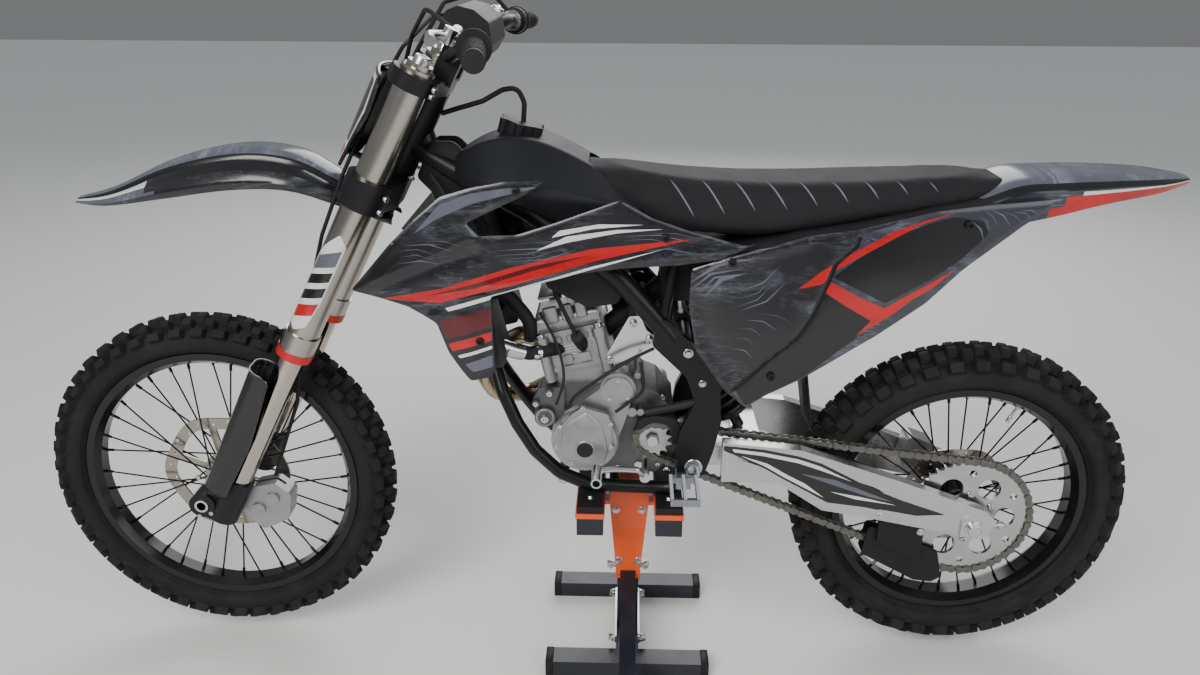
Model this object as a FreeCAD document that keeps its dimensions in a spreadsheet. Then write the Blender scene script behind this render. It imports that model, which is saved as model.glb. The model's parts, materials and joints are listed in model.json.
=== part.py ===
import FreeCAD
import Part
import Sketcher
import math
import os

# Dirt bike on its lift stand, in millimetres.
# X runs from the front axle towards the tail, Y to the rider's right, Z up from the floor.
# The finished pieces are moved along X so that the model's origin lies under its middle.

Vector = FreeCAD.Vector
Rotation = FreeCAD.Rotation
Placement = FreeCAD.Placement
LEFT = -1
RIGHT = 1
SIDES = (LEFT, RIGHT)
STEP_ANGLE = 360
Y_AXIS = Vector(0, 1, 0)

# Driving sizes: alias, value, meaning.
SIZE_TABLE = (
    ("Wheelbase", 1490, "front axle to rear axle"),
    ("FrontAxleHeight", 373, "front axle above the floor, wheel lifted by the stand"),
    ("RearAxleHeight", 349, "rear axle above the floor"),
    ("Rake", 27.3, "steering axis from the vertical, degrees"),
    ("AxleLead", 42, "front axle ahead of the fork legs' line"),
    ("ClampOffset", 22, "fork legs' line ahead of the steering axis"),
    ("ForkHalfSpacing", 107, "middle plane to each fork leg"),
    ("FrontTyreRadius", 350, "front tyre to the tips of its middle lugs"),
    ("FrontTreadArc", 50, "cross-section arc of the front lug tips"),
    ("FrontLugHeight", 13, "height of the front lugs"),
    ("FrontLugRows", 32, "rows of lugs round the front tyre"),
    ("FrontRimSeat", 267, "front bead seat radius"),
    ("FrontRimHalfWidth", 27, "half width of the front rim"),
    ("RearTyreRadius", 333, "rear tyre to the tips of its middle lugs"),
    ("RearTreadArc", 62, "cross-section arc of the rear lug tips"),
    ("RearLugHeight", 15, "height of the rear lugs"),
    ("RearLugRows", 26, "rows of lugs round the rear tyre"),
    ("RearRimSeat", 241.5, "rear bead seat radius"),
    ("RearRimHalfWidth", 33, "half width of the rear rim"),
    ("RimFlange", 9, "height of a rim flange above the bead seat"),
    ("RimFlangeThickness", 3.5, "thickness of a rim flange"),
    ("RimDepth", 15, "bead seat down to the spoke bed"),
    ("SpokeRadius", 1.8, "radius of a spoke"),
    ("NippleRadius", 3.2, "radius of a spoke nipple"),
    ("NippleLength", 14, "length of a spoke nipple"),
    ("SpokesPerSide", 18, "spokes on each hub flange"),
    ("SpokeLead", 40, "degrees that a spoke leans round the hub"),
    ("HubFlangeRadius", 33, "radius of a hub flange"),
    ("HubFlangeThickness", 8, "thickness of a hub flange"),
    ("HubBarrelRadius", 23, "radius of a hub between its flanges"),
    ("FrontHubLeft", 66, "middle plane to the front hub's left end"),
    ("FrontHubRight", 52, "middle plane to the front hub's right end"),
    ("FrontHubFlangeY", 34, "middle plane to a front hub flange's outer face"),
    ("RearHubLeft", 87, "middle plane to the rear hub's left end"),
    ("RearHubRight", 72, "middle plane to the rear hub's right end"),
    ("RearHubFlangeY", 40, "middle plane to a rear hub flange's outer face"),
    ("AxleClearance", 0.05, "radial running clearance of an axle"),
    ("FrontAxleRadius", 13, "radius of the hollow front axle"),
    ("FrontAxleBore", 9, "bore radius of the front axle"),
    ("FrontAxleHalf", 134, "half length of the front axle"),
    ("RearAxleRadius", 12.5, "radius of the hollow rear axle"),
    ("RearAxleBore", 7, "bore radius of the rear axle"),
    ("RearAxleHalf", 138, "half length of the rear axle"),
    ("FrontDiscRadius", 130, "radius of the front brake disc"),
    ("FrontDiscY", -62, "plane of the front brake disc"),
    ("RearDiscRadius", 110, "radius of the rear brake disc"),
    ("RearDiscY", 66, "plane of the rear brake disc"),
    ("DiscThickness", 4, "thickness of a brake disc"),
    ("DiscBand", 24, "width of a brake disc's braking band"),
    ("ForkOuterRadius", 29.5, "radius of a fork's outer tube"),
    ("ForkInnerRadius", 24, "radius of a fork's inner tube"),
    ("ForkOuterBottom", 372, "bottom of the outer tubes along the steering axis"),
    ("ForkTop", 950, "top of the outer tubes along the steering axis"),
    ("LowerClampBottom", 690, "underside of the lower clamp along the steering axis"),
    ("LowerClampHeight", 54, "height of the lower clamp"),
    ("UpperClampBottom", 914, "underside of the upper clamp along the steering axis"),
    ("UpperClampHeight", 28, "height of the upper clamp"),
    ("StemRadius", 14, "radius of the steering stem"),
    ("HeadTubeRadius", 31, "outer radius of the frame's head tube"),
    ("HeadBearingRadius", 24, "radius of the stem's bearings"),
    ("BearingClearance", 0.3, "clearance round a steering bearing"),
    ("BarHalfWidth", 405, "middle plane to a handlebar end"),
    ("BarRadius", 11.1, "radius of the handlebar's ends"),
    ("BarMiddleRadius", 14.3, "radius of the handlebar where it is clamped"),
    ("GripRadius", 16.5, "radius of a grip"),
    ("GripLength", 122, "length of a grip"),
    ("ChainPitch", 15.875, "distance from chain pin to chain pin"),
    ("RearTeeth", 48, "teeth of the rear sprocket"),
    ("FrontTeeth", 13, "teeth of the front sprocket"),
    ("ChainLineY", -80, "plane of the chain"),
    ("ChainHalfWidth", 8.5, "half width of the chain"),
    ("ChainHalfHeight", 7.5, "half height of a chain plate"),
    ("SprocketThickness", 7, "thickness of a sprocket"),
    ("FrontSprocketX", 873, "front sprocket's shaft behind the front axle"),
    ("FrontSprocketZ", 508, "front sprocket's shaft above the floor"),
    ("PivotX", 950, "swingarm pivot behind the front axle"),
    ("PivotZ", 466, "swingarm pivot above the floor"),
    ("PivotPlateY", 112, "middle plane to a pivot plate's outer face"),
    ("StandFootLength", 330, "length of the stand's two floor bars"),
    ("StandFootY", 132, "middle plane to each floor bar's middle"),
    ("StandX", 830, "stand's middle behind the front axle"),
    ("StandBarWidth", 45, "width of the stand's bars"),
    ("StandBarHeight", 35, "height of the stand's bars"),
    ("StandPadZ", 394.8, "top of the stand's pads"),
    ("StandPadThickness", 20, "thickness of the stand's rubber pads"),
    ("StandArmHalf", 150, "half length of the stand's two arms"),
    ("StandArmSpread", 75.5, "stand's middle to each arm's middle"),
    ("PanelWall", 4, "wall of the plastic panels"),
    ("GuardWall", 3, "wall of the fork guards"),
)

doc = FreeCAD.newDocument("DirtBike")
sheet = doc.addObject("Spreadsheet::Sheet", "Sizes")
for row, (alias, value, meaning) in enumerate(SIZE_TABLE, start=1):
    sheet.set("A%d" % row, alias)
    sheet.set("B%d" % row, str(value))
    sheet.set("C%d" % row, meaning)
    sheet.setAlias("B%d" % row, alias)
doc.recompute()


class Size:
    """A number read from the sheet that also keeps its formula, so that a property can be bound to it."""

    def __init__(self, value, text):
        self.value = value
        self.text = text

    def __float__(self):
        return float(self.value)

    def __add__(self, other):
        other = as_size(other)
        return Size(self.value + other.value, "(%s + %s)" % (self.text, other.text))

    def __sub__(self, other):
        other = as_size(other)
        return Size(self.value - other.value, "(%s - %s)" % (self.text, other.text))

    def __mul__(self, other):
        other = as_size(other)
        return Size(self.value * other.value, "(%s * %s)" % (self.text, other.text))

    def __truediv__(self, other):
        other = as_size(other)
        return Size(self.value / other.value, "(%s / %s)" % (self.text, other.text))

    def __neg__(self):
        return self * -1

    __radd__ = __add__
    __rmul__ = __mul__


def as_size(number):
    """A Size from a Size or a plain number."""
    if isinstance(number, Size):
        return number
    return Size(float(number), repr(float(number)))


def size(alias):
    """The Size kept in the sheet under an alias."""
    return Size(float(sheet.get(alias)), "Sizes." + alias)


def num(alias):
    """The plain number kept in the sheet under an alias."""
    return float(sheet.get(alias))


RAKE = math.radians(num("Rake"))
AXIS_FROM_AXLE = num("AxleLead") + num("ClampOffset")
AXIS_X = AXIS_FROM_AXLE * math.cos(RAKE)
AXIS_Z = num("FrontAxleHeight") - AXIS_FROM_AXLE * math.sin(RAKE)
ORIGIN_X = (num("Wheelbase") + num("RearTyreRadius") - num("FrontTyreRadius")) / 2
HOME = Placement(Vector(-ORIGIN_X, 0, 0), Rotation())
FRONT_WHEEL = Placement(Vector(-ORIGIN_X, 0, num("FrontAxleHeight")), Rotation())
REAR_WHEEL = Placement(Vector(num("Wheelbase") - ORIGIN_X, 0, num("RearAxleHeight")), Rotation())
# Steering frame: its Z runs up the steering axis, its X points backwards, square to the axis.
STEERING_LOCAL = Placement(Vector(AXIS_X, 0, AXIS_Z), Rotation(Vector(0, 1, 0), num("Rake")))
STEERING = Placement(Vector(AXIS_X - ORIGIN_X, 0, AXIS_Z), Rotation(Vector(0, 1, 0), num("Rake")))


def steer(back, across, along):
    """A point of the steering frame in the bike's frame, measured from the front axle."""
    x = AXIS_X + back * math.cos(RAKE) + along * math.sin(RAKE)
    z = AXIS_Z - back * math.sin(RAKE) + along * math.cos(RAKE)
    return Vector(x, across, z)


def feature(label, shape, place=HOME):
    """A sub-part from a shape made with Part's functions."""
    node = doc.addObject("Part::Feature", label)
    node.Shape = shape
    node.Placement = place
    NODES.append(node)
    return node


def compound(label, solids, place=HOME):
    """A sub-part of several solids that don't touch."""
    return feature(label, Part.makeCompound(solids), place)


def polygon(points):
    """A closed flat face from corner points."""
    return Part.Face(Part.makePolygon(list(points) + [points[0]]))


def side_plate(outline, low_y, high_y, corner=0):
    """A plate from an outline of x, z points, from one y to another, with rounded corners."""
    points = [Vector(x, low_y, z) for x, z in outline]
    if corner:
        face = Part.Face(rounded_wire(points, corner))
    else:
        face = polygon(points)
    return face.extrude(Vector(0, high_y - low_y, 0))


def corner_arc(before, at, after, radius):
    """The two tangent points and the middle of the arc that rounds a corner."""
    back = (before - at)
    ahead = (after - at)
    reach = min(back.Length, ahead.Length) / 2
    back.normalize()
    ahead.normalize()
    half = math.acos(max(-1.0, min(1.0, back.dot(ahead)))) / 2
    cut = min(radius / math.tan(half), reach * 0.98)
    used = cut * math.tan(half)
    inward = back + ahead
    inward.normalize()
    centre = at + inward * (used / math.sin(half))
    return at + back * cut, centre - inward * used, at + ahead * cut


def rounded_wire(points, radius):
    """A closed wire of straight runs and tangent arcs."""
    count = len(points)
    arcs = [corner_arc(points[i - 1], points[i], points[(i + 1) % count], radius) for i in range(count)]
    edges = []
    for i in range(count):
        start, middle, end = arcs[i]
        edges.append(Part.Arc(start, middle, end).toShape())
        edges.append(Part.makeLine(end, arcs[(i + 1) % count][0]))
    return Part.Wire(edges)


def tube(points, radius, bend):
    """A round bar along a route of points: straight runs with tangent bends of the given radius."""
    points = [Vector(p) for p in points]
    shapes = []
    last = points[0]
    for i in range(1, len(points) - 1):
        start, middle, end = corner_arc(points[i - 1], points[i], points[i + 1], bend)
        arc = Part.Arc(start, middle, end).toShape()
        if arc.Curve.Radius > radius * 1.02:
            shapes.append(rod(last, start, radius))
            disc = Part.Face(Part.Wire(Part.makeCircle(radius, start, start - last)))
            turn = math.degrees(arc.LastParameter - arc.FirstParameter)
            shapes.append(disc.revolve(arc.Curve.Center, arc.Curve.Axis, turn))
            last = end
        else:
            shapes.append(rod(last, points[i], radius))
            shapes.append(Part.makeSphere(radius, points[i]))
            last = points[i]
    shapes.append(rod(last, points[-1], radius))
    return fuse(shapes)


def rod(start, end, radius):
    """A straight round bar between two points."""
    start = Vector(start)
    end = Vector(end)
    return Part.makeCylinder(radius, (end - start).Length, start, end - start)


def sleeve(start, end, outer, inner):
    """A straight tube with a bore between two points."""
    return rod(start, end, outer).cut(rod(start, end, inner))


def across(x, z, low_y, high_y, radius):
    """A round bar across the bike."""
    return rod(Vector(x, low_y, z), Vector(x, high_y, z), radius)


def box(low, high):
    """A box from its lowest to its highest corner."""
    low = Vector(low)
    high = Vector(high)
    return Part.makeBox(high.x - low.x, high.y - low.y, high.z - low.z, low)


def hexahedron(outline, x):
    """A bar with an outline of y, z points, square to X."""
    face = polygon([Vector(x - LEVER_HALF, y, z) for y, z in outline])
    return face.extrude(Vector(2 * LEVER_HALF, 0, 0))


def fuse(shapes):
    """One solid from several that overlap."""
    joined = shapes[0].multiFuse(shapes[1:])
    return joined.removeSplitter()


def placed(shape, place):
    """A copy of a shape moved by a placement."""
    return shape.transformed(place.toMatrix(), copy=True)


def mirrored(shape):
    """The same shape on the other side of the bike."""
    return shape.mirror(Vector(0, 0, 0), Vector(0, 1, 0))


def folded_wire(x, half, wall):
    """A thin folded cross-section square to X, from half an outline of y, z points, the middle first."""
    last = len(half) - 1
    shares = [(i / last) ** 2 for i in range(len(half))]
    inner = [(y - wall * share, z - wall * (1 - share)) for (y, z), share in zip(half, shares)]
    outer_loop = [(-y, z) for y, z in reversed(half[1:])] + list(half)
    inner_loop = list(reversed(inner)) + [(-y, z) for y, z in inner[1:]]
    points = [Vector(x, y, z) for y, z in outer_loop + inner_loop]
    return Part.makePolygon(points + points[:1])


def loaf_wire(x, low_half, high_half, low_z, high_z, corner):
    """A rounded cross-section square to X that narrows from its bottom to its top."""
    points = [Vector(x, -low_half, low_z), Vector(x, low_half, low_z),
              Vector(x, high_half, high_z), Vector(x, -high_half, high_z)]
    return rounded_wire(points, corner)


def barrel_wire(x, rows, corner):
    """A rounded cross-section square to X from rows of half width and height, the lowest first."""
    points = [Vector(x, half, z) for half, z in rows]
    points += [Vector(x, -half, z) for half, z in reversed(rows)]
    return rounded_wire(points, corner)


def bind(node, prop, value):
    """Ties a property of an object to its formula in the sheet."""
    node.setExpression(prop, as_size(value).text)


def sketch_on(body, role, label):
    """An empty sketch on one of a body's own origin planes."""
    plane = [item for item in body.Origin.OriginFeatures if item.Role == role][0]
    sketch = body.newObject("Sketcher::SketchObject", label)
    sketch.AttachmentSupport = [(plane, "")]
    sketch.MapMode = "FlatFace"
    return sketch


def draw_outline(sketch, points):
    """A closed outline of straight lines whose corners are bound to formulas."""
    points = [(as_size(a), as_size(b)) for a, b in points]
    count = len(points)
    for i in range(count):
        start = points[i]
        end = points[(i + 1) % count]
        sketch.addGeometry(Part.LineSegment(Vector(start[0].value, start[1].value, 0),
                                            Vector(end[0].value, end[1].value, 0)), False)
    for i in range(count):
        sketch.addConstraint(Sketcher.Constraint("Coincident", i, 2, (i + 1) % count, 1))
    for i, (a, b) in enumerate(points):
        for kind, value in (("DistanceX", a), ("DistanceY", b)):
            index = sketch.addConstraint(Sketcher.Constraint(kind, -1, 1, i, 1, value.value))
            sketch.setExpression("Constraints[%d]" % index, value.text)


def turned_body(label, points, place):
    """A body turned about the Y axis from a profile of y, radius points."""
    body = doc.addObject("PartDesign::Body", label)
    profile = sketch_on(body, "YZ_Plane", label + "_profile")
    draw_outline(profile, points)
    turning = body.newObject("PartDesign::Revolution", label + "_turning")
    turning.Profile = profile
    turning.ReferenceAxis = (profile, ["H_Axis"])
    turning.Angle = STEP_ANGLE
    doc.recompute()
    body.Placement = place
    NODES.append(body)
    return body


NODES = []


def tyre_profile(seat, flange, half_seat, tread_radius, arc, lug, bulge, rows):
    """Half cross-section points (y, radius) of a tyre's carcass, from its bead up to its crown."""
    carcass = arc - lug
    centre = tread_radius - arc
    bead = seat / math.cos(math.pi / rows)
    points = [(half_seat, bead), (half_seat, bead + flange + 1), (bulge, centre - 6)]
    for degrees in TYRE_FACETS:
        angle = math.radians(degrees)
        points.append((carcass * math.sin(angle), centre + carcass * math.cos(angle)))
    return points


def tyre(label, seat, flange, half_seat, tread_radius, arc, lug, bulge, rows, lug_table, place):
    """A knobbly tyre: a ring of flat facets with blocks of rubber fused on."""
    half = tyre_profile(seat, flange, half_seat, tread_radius, arc, lug, bulge, rows)
    section = half + [(-y, r) for y, r in reversed(half)]
    rings = []
    for k in range(rows):
        angle = 2 * math.pi * (k + 0.5) / rows
        rings.append([Vector(r * math.cos(angle), y, r * math.sin(angle)) for y, r in section])
    faces = []
    count = len(section)
    for k in range(rows):
        here = rings[k]
        there = rings[(k + 1) % rows]
        for i in range(count):
            j = (i + 1) % count
            faces.append(polygon([here[i], here[j], there[j], there[i]]))
    carcass = Part.Solid(Part.Shell(faces))
    if carcass.Volume < 0:
        carcass.reverse()
    blocks = []
    for k in range(rows):
        for lean, length, width in lug_table[k % 2]:
            blocks.append(lug_block(k * STEP_ANGLE / rows, lean, length, width, tread_radius, arc, lug))
    return feature(label, carcass.multiFuse(blocks), place)


def lug_block(turn, lean, length, width, tread_radius, arc, lug):
    """One tapered block of tread at an angle round the wheel, leaned over on the tread's arc."""
    root = arc - lug - LUG_ROOT
    foot = [(length / 2 * a, width / 2 * b) for a, b in ((-1, -1), (1, -1), (1, 1), (-1, 1))]
    low = Part.makePolygon([Vector(a, b, root) for a, b in foot + foot[:1]])
    top = Part.makePolygon([Vector(a * LUG_TAPER, b * LUG_TAPER, arc) for a, b in foot + foot[:1]])
    block = Part.makeLoft([low, top], True, True)
    block.rotate(Vector(0, 0, 0), Vector(1, 0, 0), -lean)
    block.translate(Vector(0, 0, tread_radius - arc))
    block.rotate(Vector(0, 0, 0), Vector(0, 1, 0), turn)
    return block


LUG_ROOT = 9
LUG_TAPER = 0.84
# Corners of the carcass on its tread arc, in degrees from the middle.
TYRE_FACETS = (60, 26)
# Lug tables: lean on the tread's arc in degrees, length along the tyre, width across it.
FRONT_LUGS = (
    ((0, 21, 25), (-56, 26, 17), (56, 26, 17)),
    ((-27, 23, 19), (27, 23, 19)),
)
REAR_LUGS = (
    ((0, 19, 34), (-52, 25, 23), (52, 25, 23)),
    ((-25, 20, 25), (25, 20, 25)),
)


def build_tyres():
    """Front and rear tyre with their lugs."""
    tyre("front_tyre", num("FrontRimSeat"), num("RimFlange"),
         num("FrontRimHalfWidth") - num("RimFlangeThickness"), num("FrontTyreRadius"),
         num("FrontTreadArc"), num("FrontLugHeight"), 41, int(num("FrontLugRows")), FRONT_LUGS, FRONT_WHEEL)
    tyre("rear_tyre", num("RearRimSeat"), num("RimFlange"),
         num("RearRimHalfWidth") - num("RimFlangeThickness"), num("RearTyreRadius"),
         num("RearTreadArc"), num("RearLugHeight"), 54, int(num("RearLugRows")), REAR_LUGS, REAR_WHEEL)


def build_rim(label, seat, half_width, place):
    """A wheel rim with two flanges and a narrower spoke bed."""
    flange_top = seat + size("RimFlange")
    inner = half_width - size("RimFlangeThickness")
    bed = seat - size("RimDepth")
    shoulder = seat - size("RimDepth") / 3
    turned_body(label, [
        (-half_width, flange_top), (-inner, flange_top), (-inner, seat), (inner, seat),
        (inner, flange_top), (half_width, flange_top), (half_width, shoulder),
        (half_width / 2, bed), (-half_width / 2, bed), (-half_width, shoulder),
    ], place)


def build_hub(label, flange_y, left, right, bore, place):
    """A wheel hub: two spoke flanges on a barrel with a bore."""
    flange = size("HubFlangeRadius")
    barrel = size("HubBarrelRadius")
    inner = flange_y - size("HubFlangeThickness")
    turned_body(label, [
        (-left, bore), (right, bore), (right, barrel), (flange_y, barrel),
        (flange_y, flange), (inner, flange), (inner, barrel),
        (-inner, barrel), (-inner, flange), (-flange_y, flange), (-flange_y, barrel), (-left, barrel),
    ], place)


def hexagon_bar(start, end, radius):
    """A straight six-sided bar between two points."""
    along = end - start
    turn = Rotation(Vector(0, 0, 1), along)
    corners = []
    for i in range(7):
        angle = math.radians(60 * i)
        corners.append(start + turn.multVec(Vector(radius * math.cos(angle), radius * math.sin(angle), 0)))
    return Part.Face(Part.makePolygon(corners)).extrude(along)


def build_spokes(label, seat, flange_y, place):
    """Crossed spokes with their nipples, from the hub's flanges to the rim's bed."""
    per_side = int(num("SpokesPerSide"))
    pitch = STEP_ANGLE / per_side
    bed = seat - num("RimDepth")
    hub_radius = num("HubFlangeRadius") - 3.5
    spokes = []
    for side in SIDES:
        for i in range(per_side):
            outward = 1 if i % 2 == 0 else -1
            hub_angle = math.radians(i * pitch + (side + 1) * pitch / 4)
            rim_angle = hub_angle + outward * math.radians(num("SpokeLead"))
            hub_y = side * (flange_y + (2.4 if outward > 0 else -num("HubFlangeThickness") - 2.4))
            rim_y = side * (7.5 if outward > 0 else 2.8)
            start = Vector(hub_radius * math.cos(hub_angle), hub_y, hub_radius * math.sin(hub_angle))
            end = Vector(bed * math.cos(rim_angle), rim_y, bed * math.sin(rim_angle))
            along = end - start
            along.normalize()
            knee = end - along * num("NippleLength")
            wire = hexagon_bar(start, knee + along, num("SpokeRadius"))
            nipple = hexagon_bar(knee, end - along * 0.9, num("NippleRadius"))
            spokes.append(wire.fuse(nipple))
    compound(label, spokes, place)


def disc_outline(radius, lobes, wave, steps):
    """Points of a wavy round outline in the XZ plane."""
    points = []
    for i in range(steps):
        angle = 2 * math.pi * i / steps
        here = radius - wave / 2 + wave / 2 * math.cos(lobes * angle)
        points.append(Vector(here * math.cos(angle), 0, here * math.sin(angle)))
    return points


def build_disc(label, radius, middle_y, place):
    """A wavy brake disc with an open carrier and a drilled braking band."""
    thickness = num("DiscThickness")
    band = num("DiscBand")
    outer = polygon(disc_outline(radius, 6, 7, 72))
    inner = polygon(disc_outline(radius - band, 6, 7, 72))
    ring = outer.extrude(Vector(0, thickness, 0)).cut(inner.extrude(Vector(0, thickness, 0)))
    spider = [Part.makeCylinder(46, thickness, Vector(0, 0, 0), Vector(0, 1, 0))]
    for i in range(6):
        arm = Part.makeBox(radius - band - 20, thickness, 15, Vector(20, 0, -7.5))
        arm.rotate(Vector(0, 0, 0), Vector(0, 1, 0), 60 * i + 20)
        spider.append(arm)
    whole = fuse([ring] + spider)
    whole = whole.cut(Part.makeCylinder(num("HubBarrelRadius"), thickness, Vector(0, 0, 0), Vector(0, 1, 0)))
    holes = []
    for i in range(24):
        angle = 2 * math.pi * (i + 0.5) / 24
        reach = radius - band / 2 - 4 + (4 if i % 2 else -4)
        centre = Vector(reach * math.cos(angle), 0, reach * math.sin(angle))
        holes.append(Part.makeCylinder(3, thickness, centre, Y_AXIS))
    whole = whole.cut(Part.makeCompound(holes))
    whole.translate(Vector(0, middle_y - thickness / 2, 0))
    feature(label, whole, place)


def build_axle(label, radius, bore, half, place):
    """A hollow axle across the bike, the same length to both sides of its middle."""
    shaft = doc.addObject("Part::Cylinder", label + "_shaft")
    bind(shaft, "Radius", radius)
    bind(shaft, "Height", half + half)
    hollow = doc.addObject("Part::Cylinder", label + "_hollow")
    bind(hollow, "Radius", bore)
    bind(hollow, "Height", half + half)
    axle = doc.addObject("Part::Cut", label)
    axle.Base = shaft
    axle.Tool = hollow
    doc.recompute()
    lie = Rotation(Vector(1, 0, 0), -90)
    axle.Placement = place.multiply(Placement(Vector(0, -float(half), 0), lie))
    NODES.append(axle)
    return axle


def build_wheels():
    """Both wheels with hubs, spokes, discs and the rear sprocket."""
    build_tyres()
    build_rim("front_rim", size("FrontRimSeat"), size("FrontRimHalfWidth"), FRONT_WHEEL)
    build_rim("rear_rim", size("RearRimSeat"), size("RearRimHalfWidth"), REAR_WHEEL)
    build_hub("front_hub", size("FrontHubFlangeY"), size("FrontHubLeft"), size("FrontHubRight"),
              size("FrontAxleRadius") + size("AxleClearance"), FRONT_WHEEL)
    build_hub("rear_hub", size("RearHubFlangeY"), size("RearHubLeft"), size("RearHubRight"),
              size("RearAxleRadius") + size("AxleClearance"), REAR_WHEEL)
    build_spokes("front_spokes", num("FrontRimSeat"), num("FrontHubFlangeY"), FRONT_WHEEL)
    build_spokes("rear_spokes", num("RearRimSeat"), num("RearHubFlangeY"), REAR_WHEEL)
    build_disc("front_disc", num("FrontDiscRadius"), num("FrontDiscY"), FRONT_WHEEL)
    build_disc("rear_disc", num("RearDiscRadius"), num("RearDiscY"), REAR_WHEEL)


def pitch_radius(teeth):
    """Pitch radius of a chain sprocket."""
    return num("ChainPitch") / (2 * math.sin(math.pi / teeth))


def sprocket_face(teeth, first_angle):
    """The toothed outline of a sprocket in the XZ plane about the origin."""
    reach = pitch_radius(teeth)
    points = []
    # Columns: share of a tooth's pitch, distance from the pitch circle.
    for i in range(teeth):
        for share, rise in ((0.0, -6.0), (0.3, -2.0), (0.44, 3.2), (0.56, 3.2), (0.7, -2.0)):
            angle = first_angle + 2 * math.pi * (i + share) / teeth
            points.append(Vector((reach + rise) * math.cos(angle), 0, (reach + rise) * math.sin(angle)))
    return polygon(points)


def chain_geometry():
    """The chain's loop: wrap centres, radii and the two tangent angles."""
    front = Vector(num("FrontSprocketX"), 0, num("FrontSprocketZ"))
    rear = Vector(num("Wheelbase"), 0, num("RearAxleHeight"))
    small = pitch_radius(int(num("FrontTeeth")))
    large = pitch_radius(int(num("RearTeeth")))
    gap = rear - front
    heading = math.atan2(gap.z, gap.x)
    spread = math.acos((large - small) / gap.Length)
    return front, rear, small, large, heading, spread


def chain_points(offset, per_link=1, waist=1.0):
    """Points of the chain's loop beside its pitch line, each second one drawn in to a waist."""
    front, rear, small, large, heading, spread = chain_geometry()
    top = heading + math.pi - spread
    bottom = heading - math.pi + spread
    start = Vector(math.cos(top), 0, math.sin(top))
    end = Vector(math.cos(bottom), 0, math.sin(bottom))
    run = ((rear + start * large) - (front + start * small)).Length
    rear_arc = large * (2 * math.pi - (bottom - top) % (2 * math.pi))
    front_arc = small * ((bottom - top) % (2 * math.pi))
    total = 2 * run + rear_arc + front_arc
    links = int(round(total / num("ChainPitch")))
    points = []
    for k in range(per_link * links):
        along = total * k / (per_link * links)
        reach = offset if k % 2 == 0 else offset * waist
        if along < run:
            base = front + start * small + ((rear + start * large) - (front + start * small)) * (along / run)
            out = start
        elif along < run + rear_arc:
            angle = top - (along - run) / large
            out = Vector(math.cos(angle), 0, math.sin(angle))
            base = rear + out * large
        elif along < 2 * run + rear_arc:
            share = (along - run - rear_arc) / run
            base = rear + end * large + ((front + end * small) - (rear + end * large)) * share
            out = end
        else:
            angle = bottom - (along - 2 * run - rear_arc) / small
            out = Vector(math.cos(angle), 0, math.sin(angle))
            base = front + out * small
        points.append(base + out * reach)
    return points


SPROCKET_SHAFT = 11
# Waist of a chain plate between two pins, and the room that a tooth has inside the chain.
CHAIN_WAIST = 0.72
TOOTH_ROOM = 4.0
TOOTH_GAP = 0.8


def tooth_room(centre, teeth, thickness):
    """A many-sided disc that keeps the inside of the chain free for a sprocket's teeth."""
    sides = max(teeth // 2, 13)
    reach = (pitch_radius(teeth) + TOOTH_ROOM) / math.cos(math.pi / sides)
    corners = []
    for i in range(sides):
        angle = 2 * math.pi * i / sides
        corners.append(centre + Vector(reach * math.cos(angle), 0, reach * math.sin(angle)))
    room = polygon(corners).extrude(Vector(0, thickness, 0))
    room.translate(Vector(0, num("ChainLineY") - thickness / 2, 0))
    return room


def build_chain_drive():
    """Both sprockets and the chain as one fixed loop with its links in the outline."""
    half = num("ChainHalfHeight")
    width = num("ChainHalfWidth")
    line = num("ChainLineY")
    thickness = num("SprocketThickness")
    loop = polygon(chain_points(half, 2, CHAIN_WAIST)).cut(polygon(chain_points(-half * CHAIN_WAIST)))
    loop.translate(Vector(0, line - width, 0))
    ring = loop.extrude(Vector(0, 2 * width, 0))
    front, rear, _, _, heading, _ = chain_geometry()
    for centre, teeth in ((front, int(num("FrontTeeth"))), (rear, int(num("RearTeeth")))):
        ring = ring.cut(tooth_room(centre, teeth, thickness + 2 * TOOTH_GAP))
    feature("chain", ring)
    front_plate = sprocket_face(int(num("FrontTeeth")), heading + math.pi).extrude(Vector(0, thickness, 0))
    front_plate.translate(Vector(front.x, line - thickness / 2, front.z))
    front_plate = front_plate.cut(across(front.x, front.z, line - 20, line + 20, SPROCKET_SHAFT))
    feature("front_sprocket", front_plate)
    rear_plate = sprocket_face(int(num("RearTeeth")), 0).extrude(Vector(0, thickness, 0))
    rear_plate.translate(Vector(0, line - thickness / 2, 0))
    window = []
    for i in range(6):
        cut = Part.makeCylinder(22, thickness * 3, Vector(72, line - thickness * 1.5, 0), Y_AXIS)
        cut.rotate(Vector(0, 0, 0), Vector(0, 1, 0), 60 * i)
        window.append(cut)
        small_hole = Part.makeCylinder(7, thickness * 3, Vector(97, line - thickness * 1.5, 0), Y_AXIS)
        small_hole.rotate(Vector(0, 0, 0), Vector(0, 1, 0), 60 * i + 30)
        window.append(small_hole)
    middle = Vector(0, line - thickness * 1.5, 0)
    window.append(Part.makeCylinder(num("HubBarrelRadius"), thickness * 3, middle, Y_AXIS))
    feature("rear_sprocket", rear_plate.cut(Part.makeCompound(window)), REAR_WHEEL)


def both_legs(make):
    """One solid on each fork leg."""
    return [make(side * num("ForkHalfSpacing")) for side in SIDES]


def leg_point(leg_y, along):
    """A point of the steering frame on a fork leg's line."""
    return Vector(-num("ClampOffset"), leg_y, along)


def guard_section(along, front, back, half_width, outward, leg_y):
    """A rectangle round a fork leg, square to the steering axis."""
    corners = [(front, -half_width), (back, -half_width), (back, half_width), (front, half_width)]
    return Part.makePolygon([Vector(x, leg_y + outward + y, along) for x, y in corners + corners[:1]])


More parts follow.
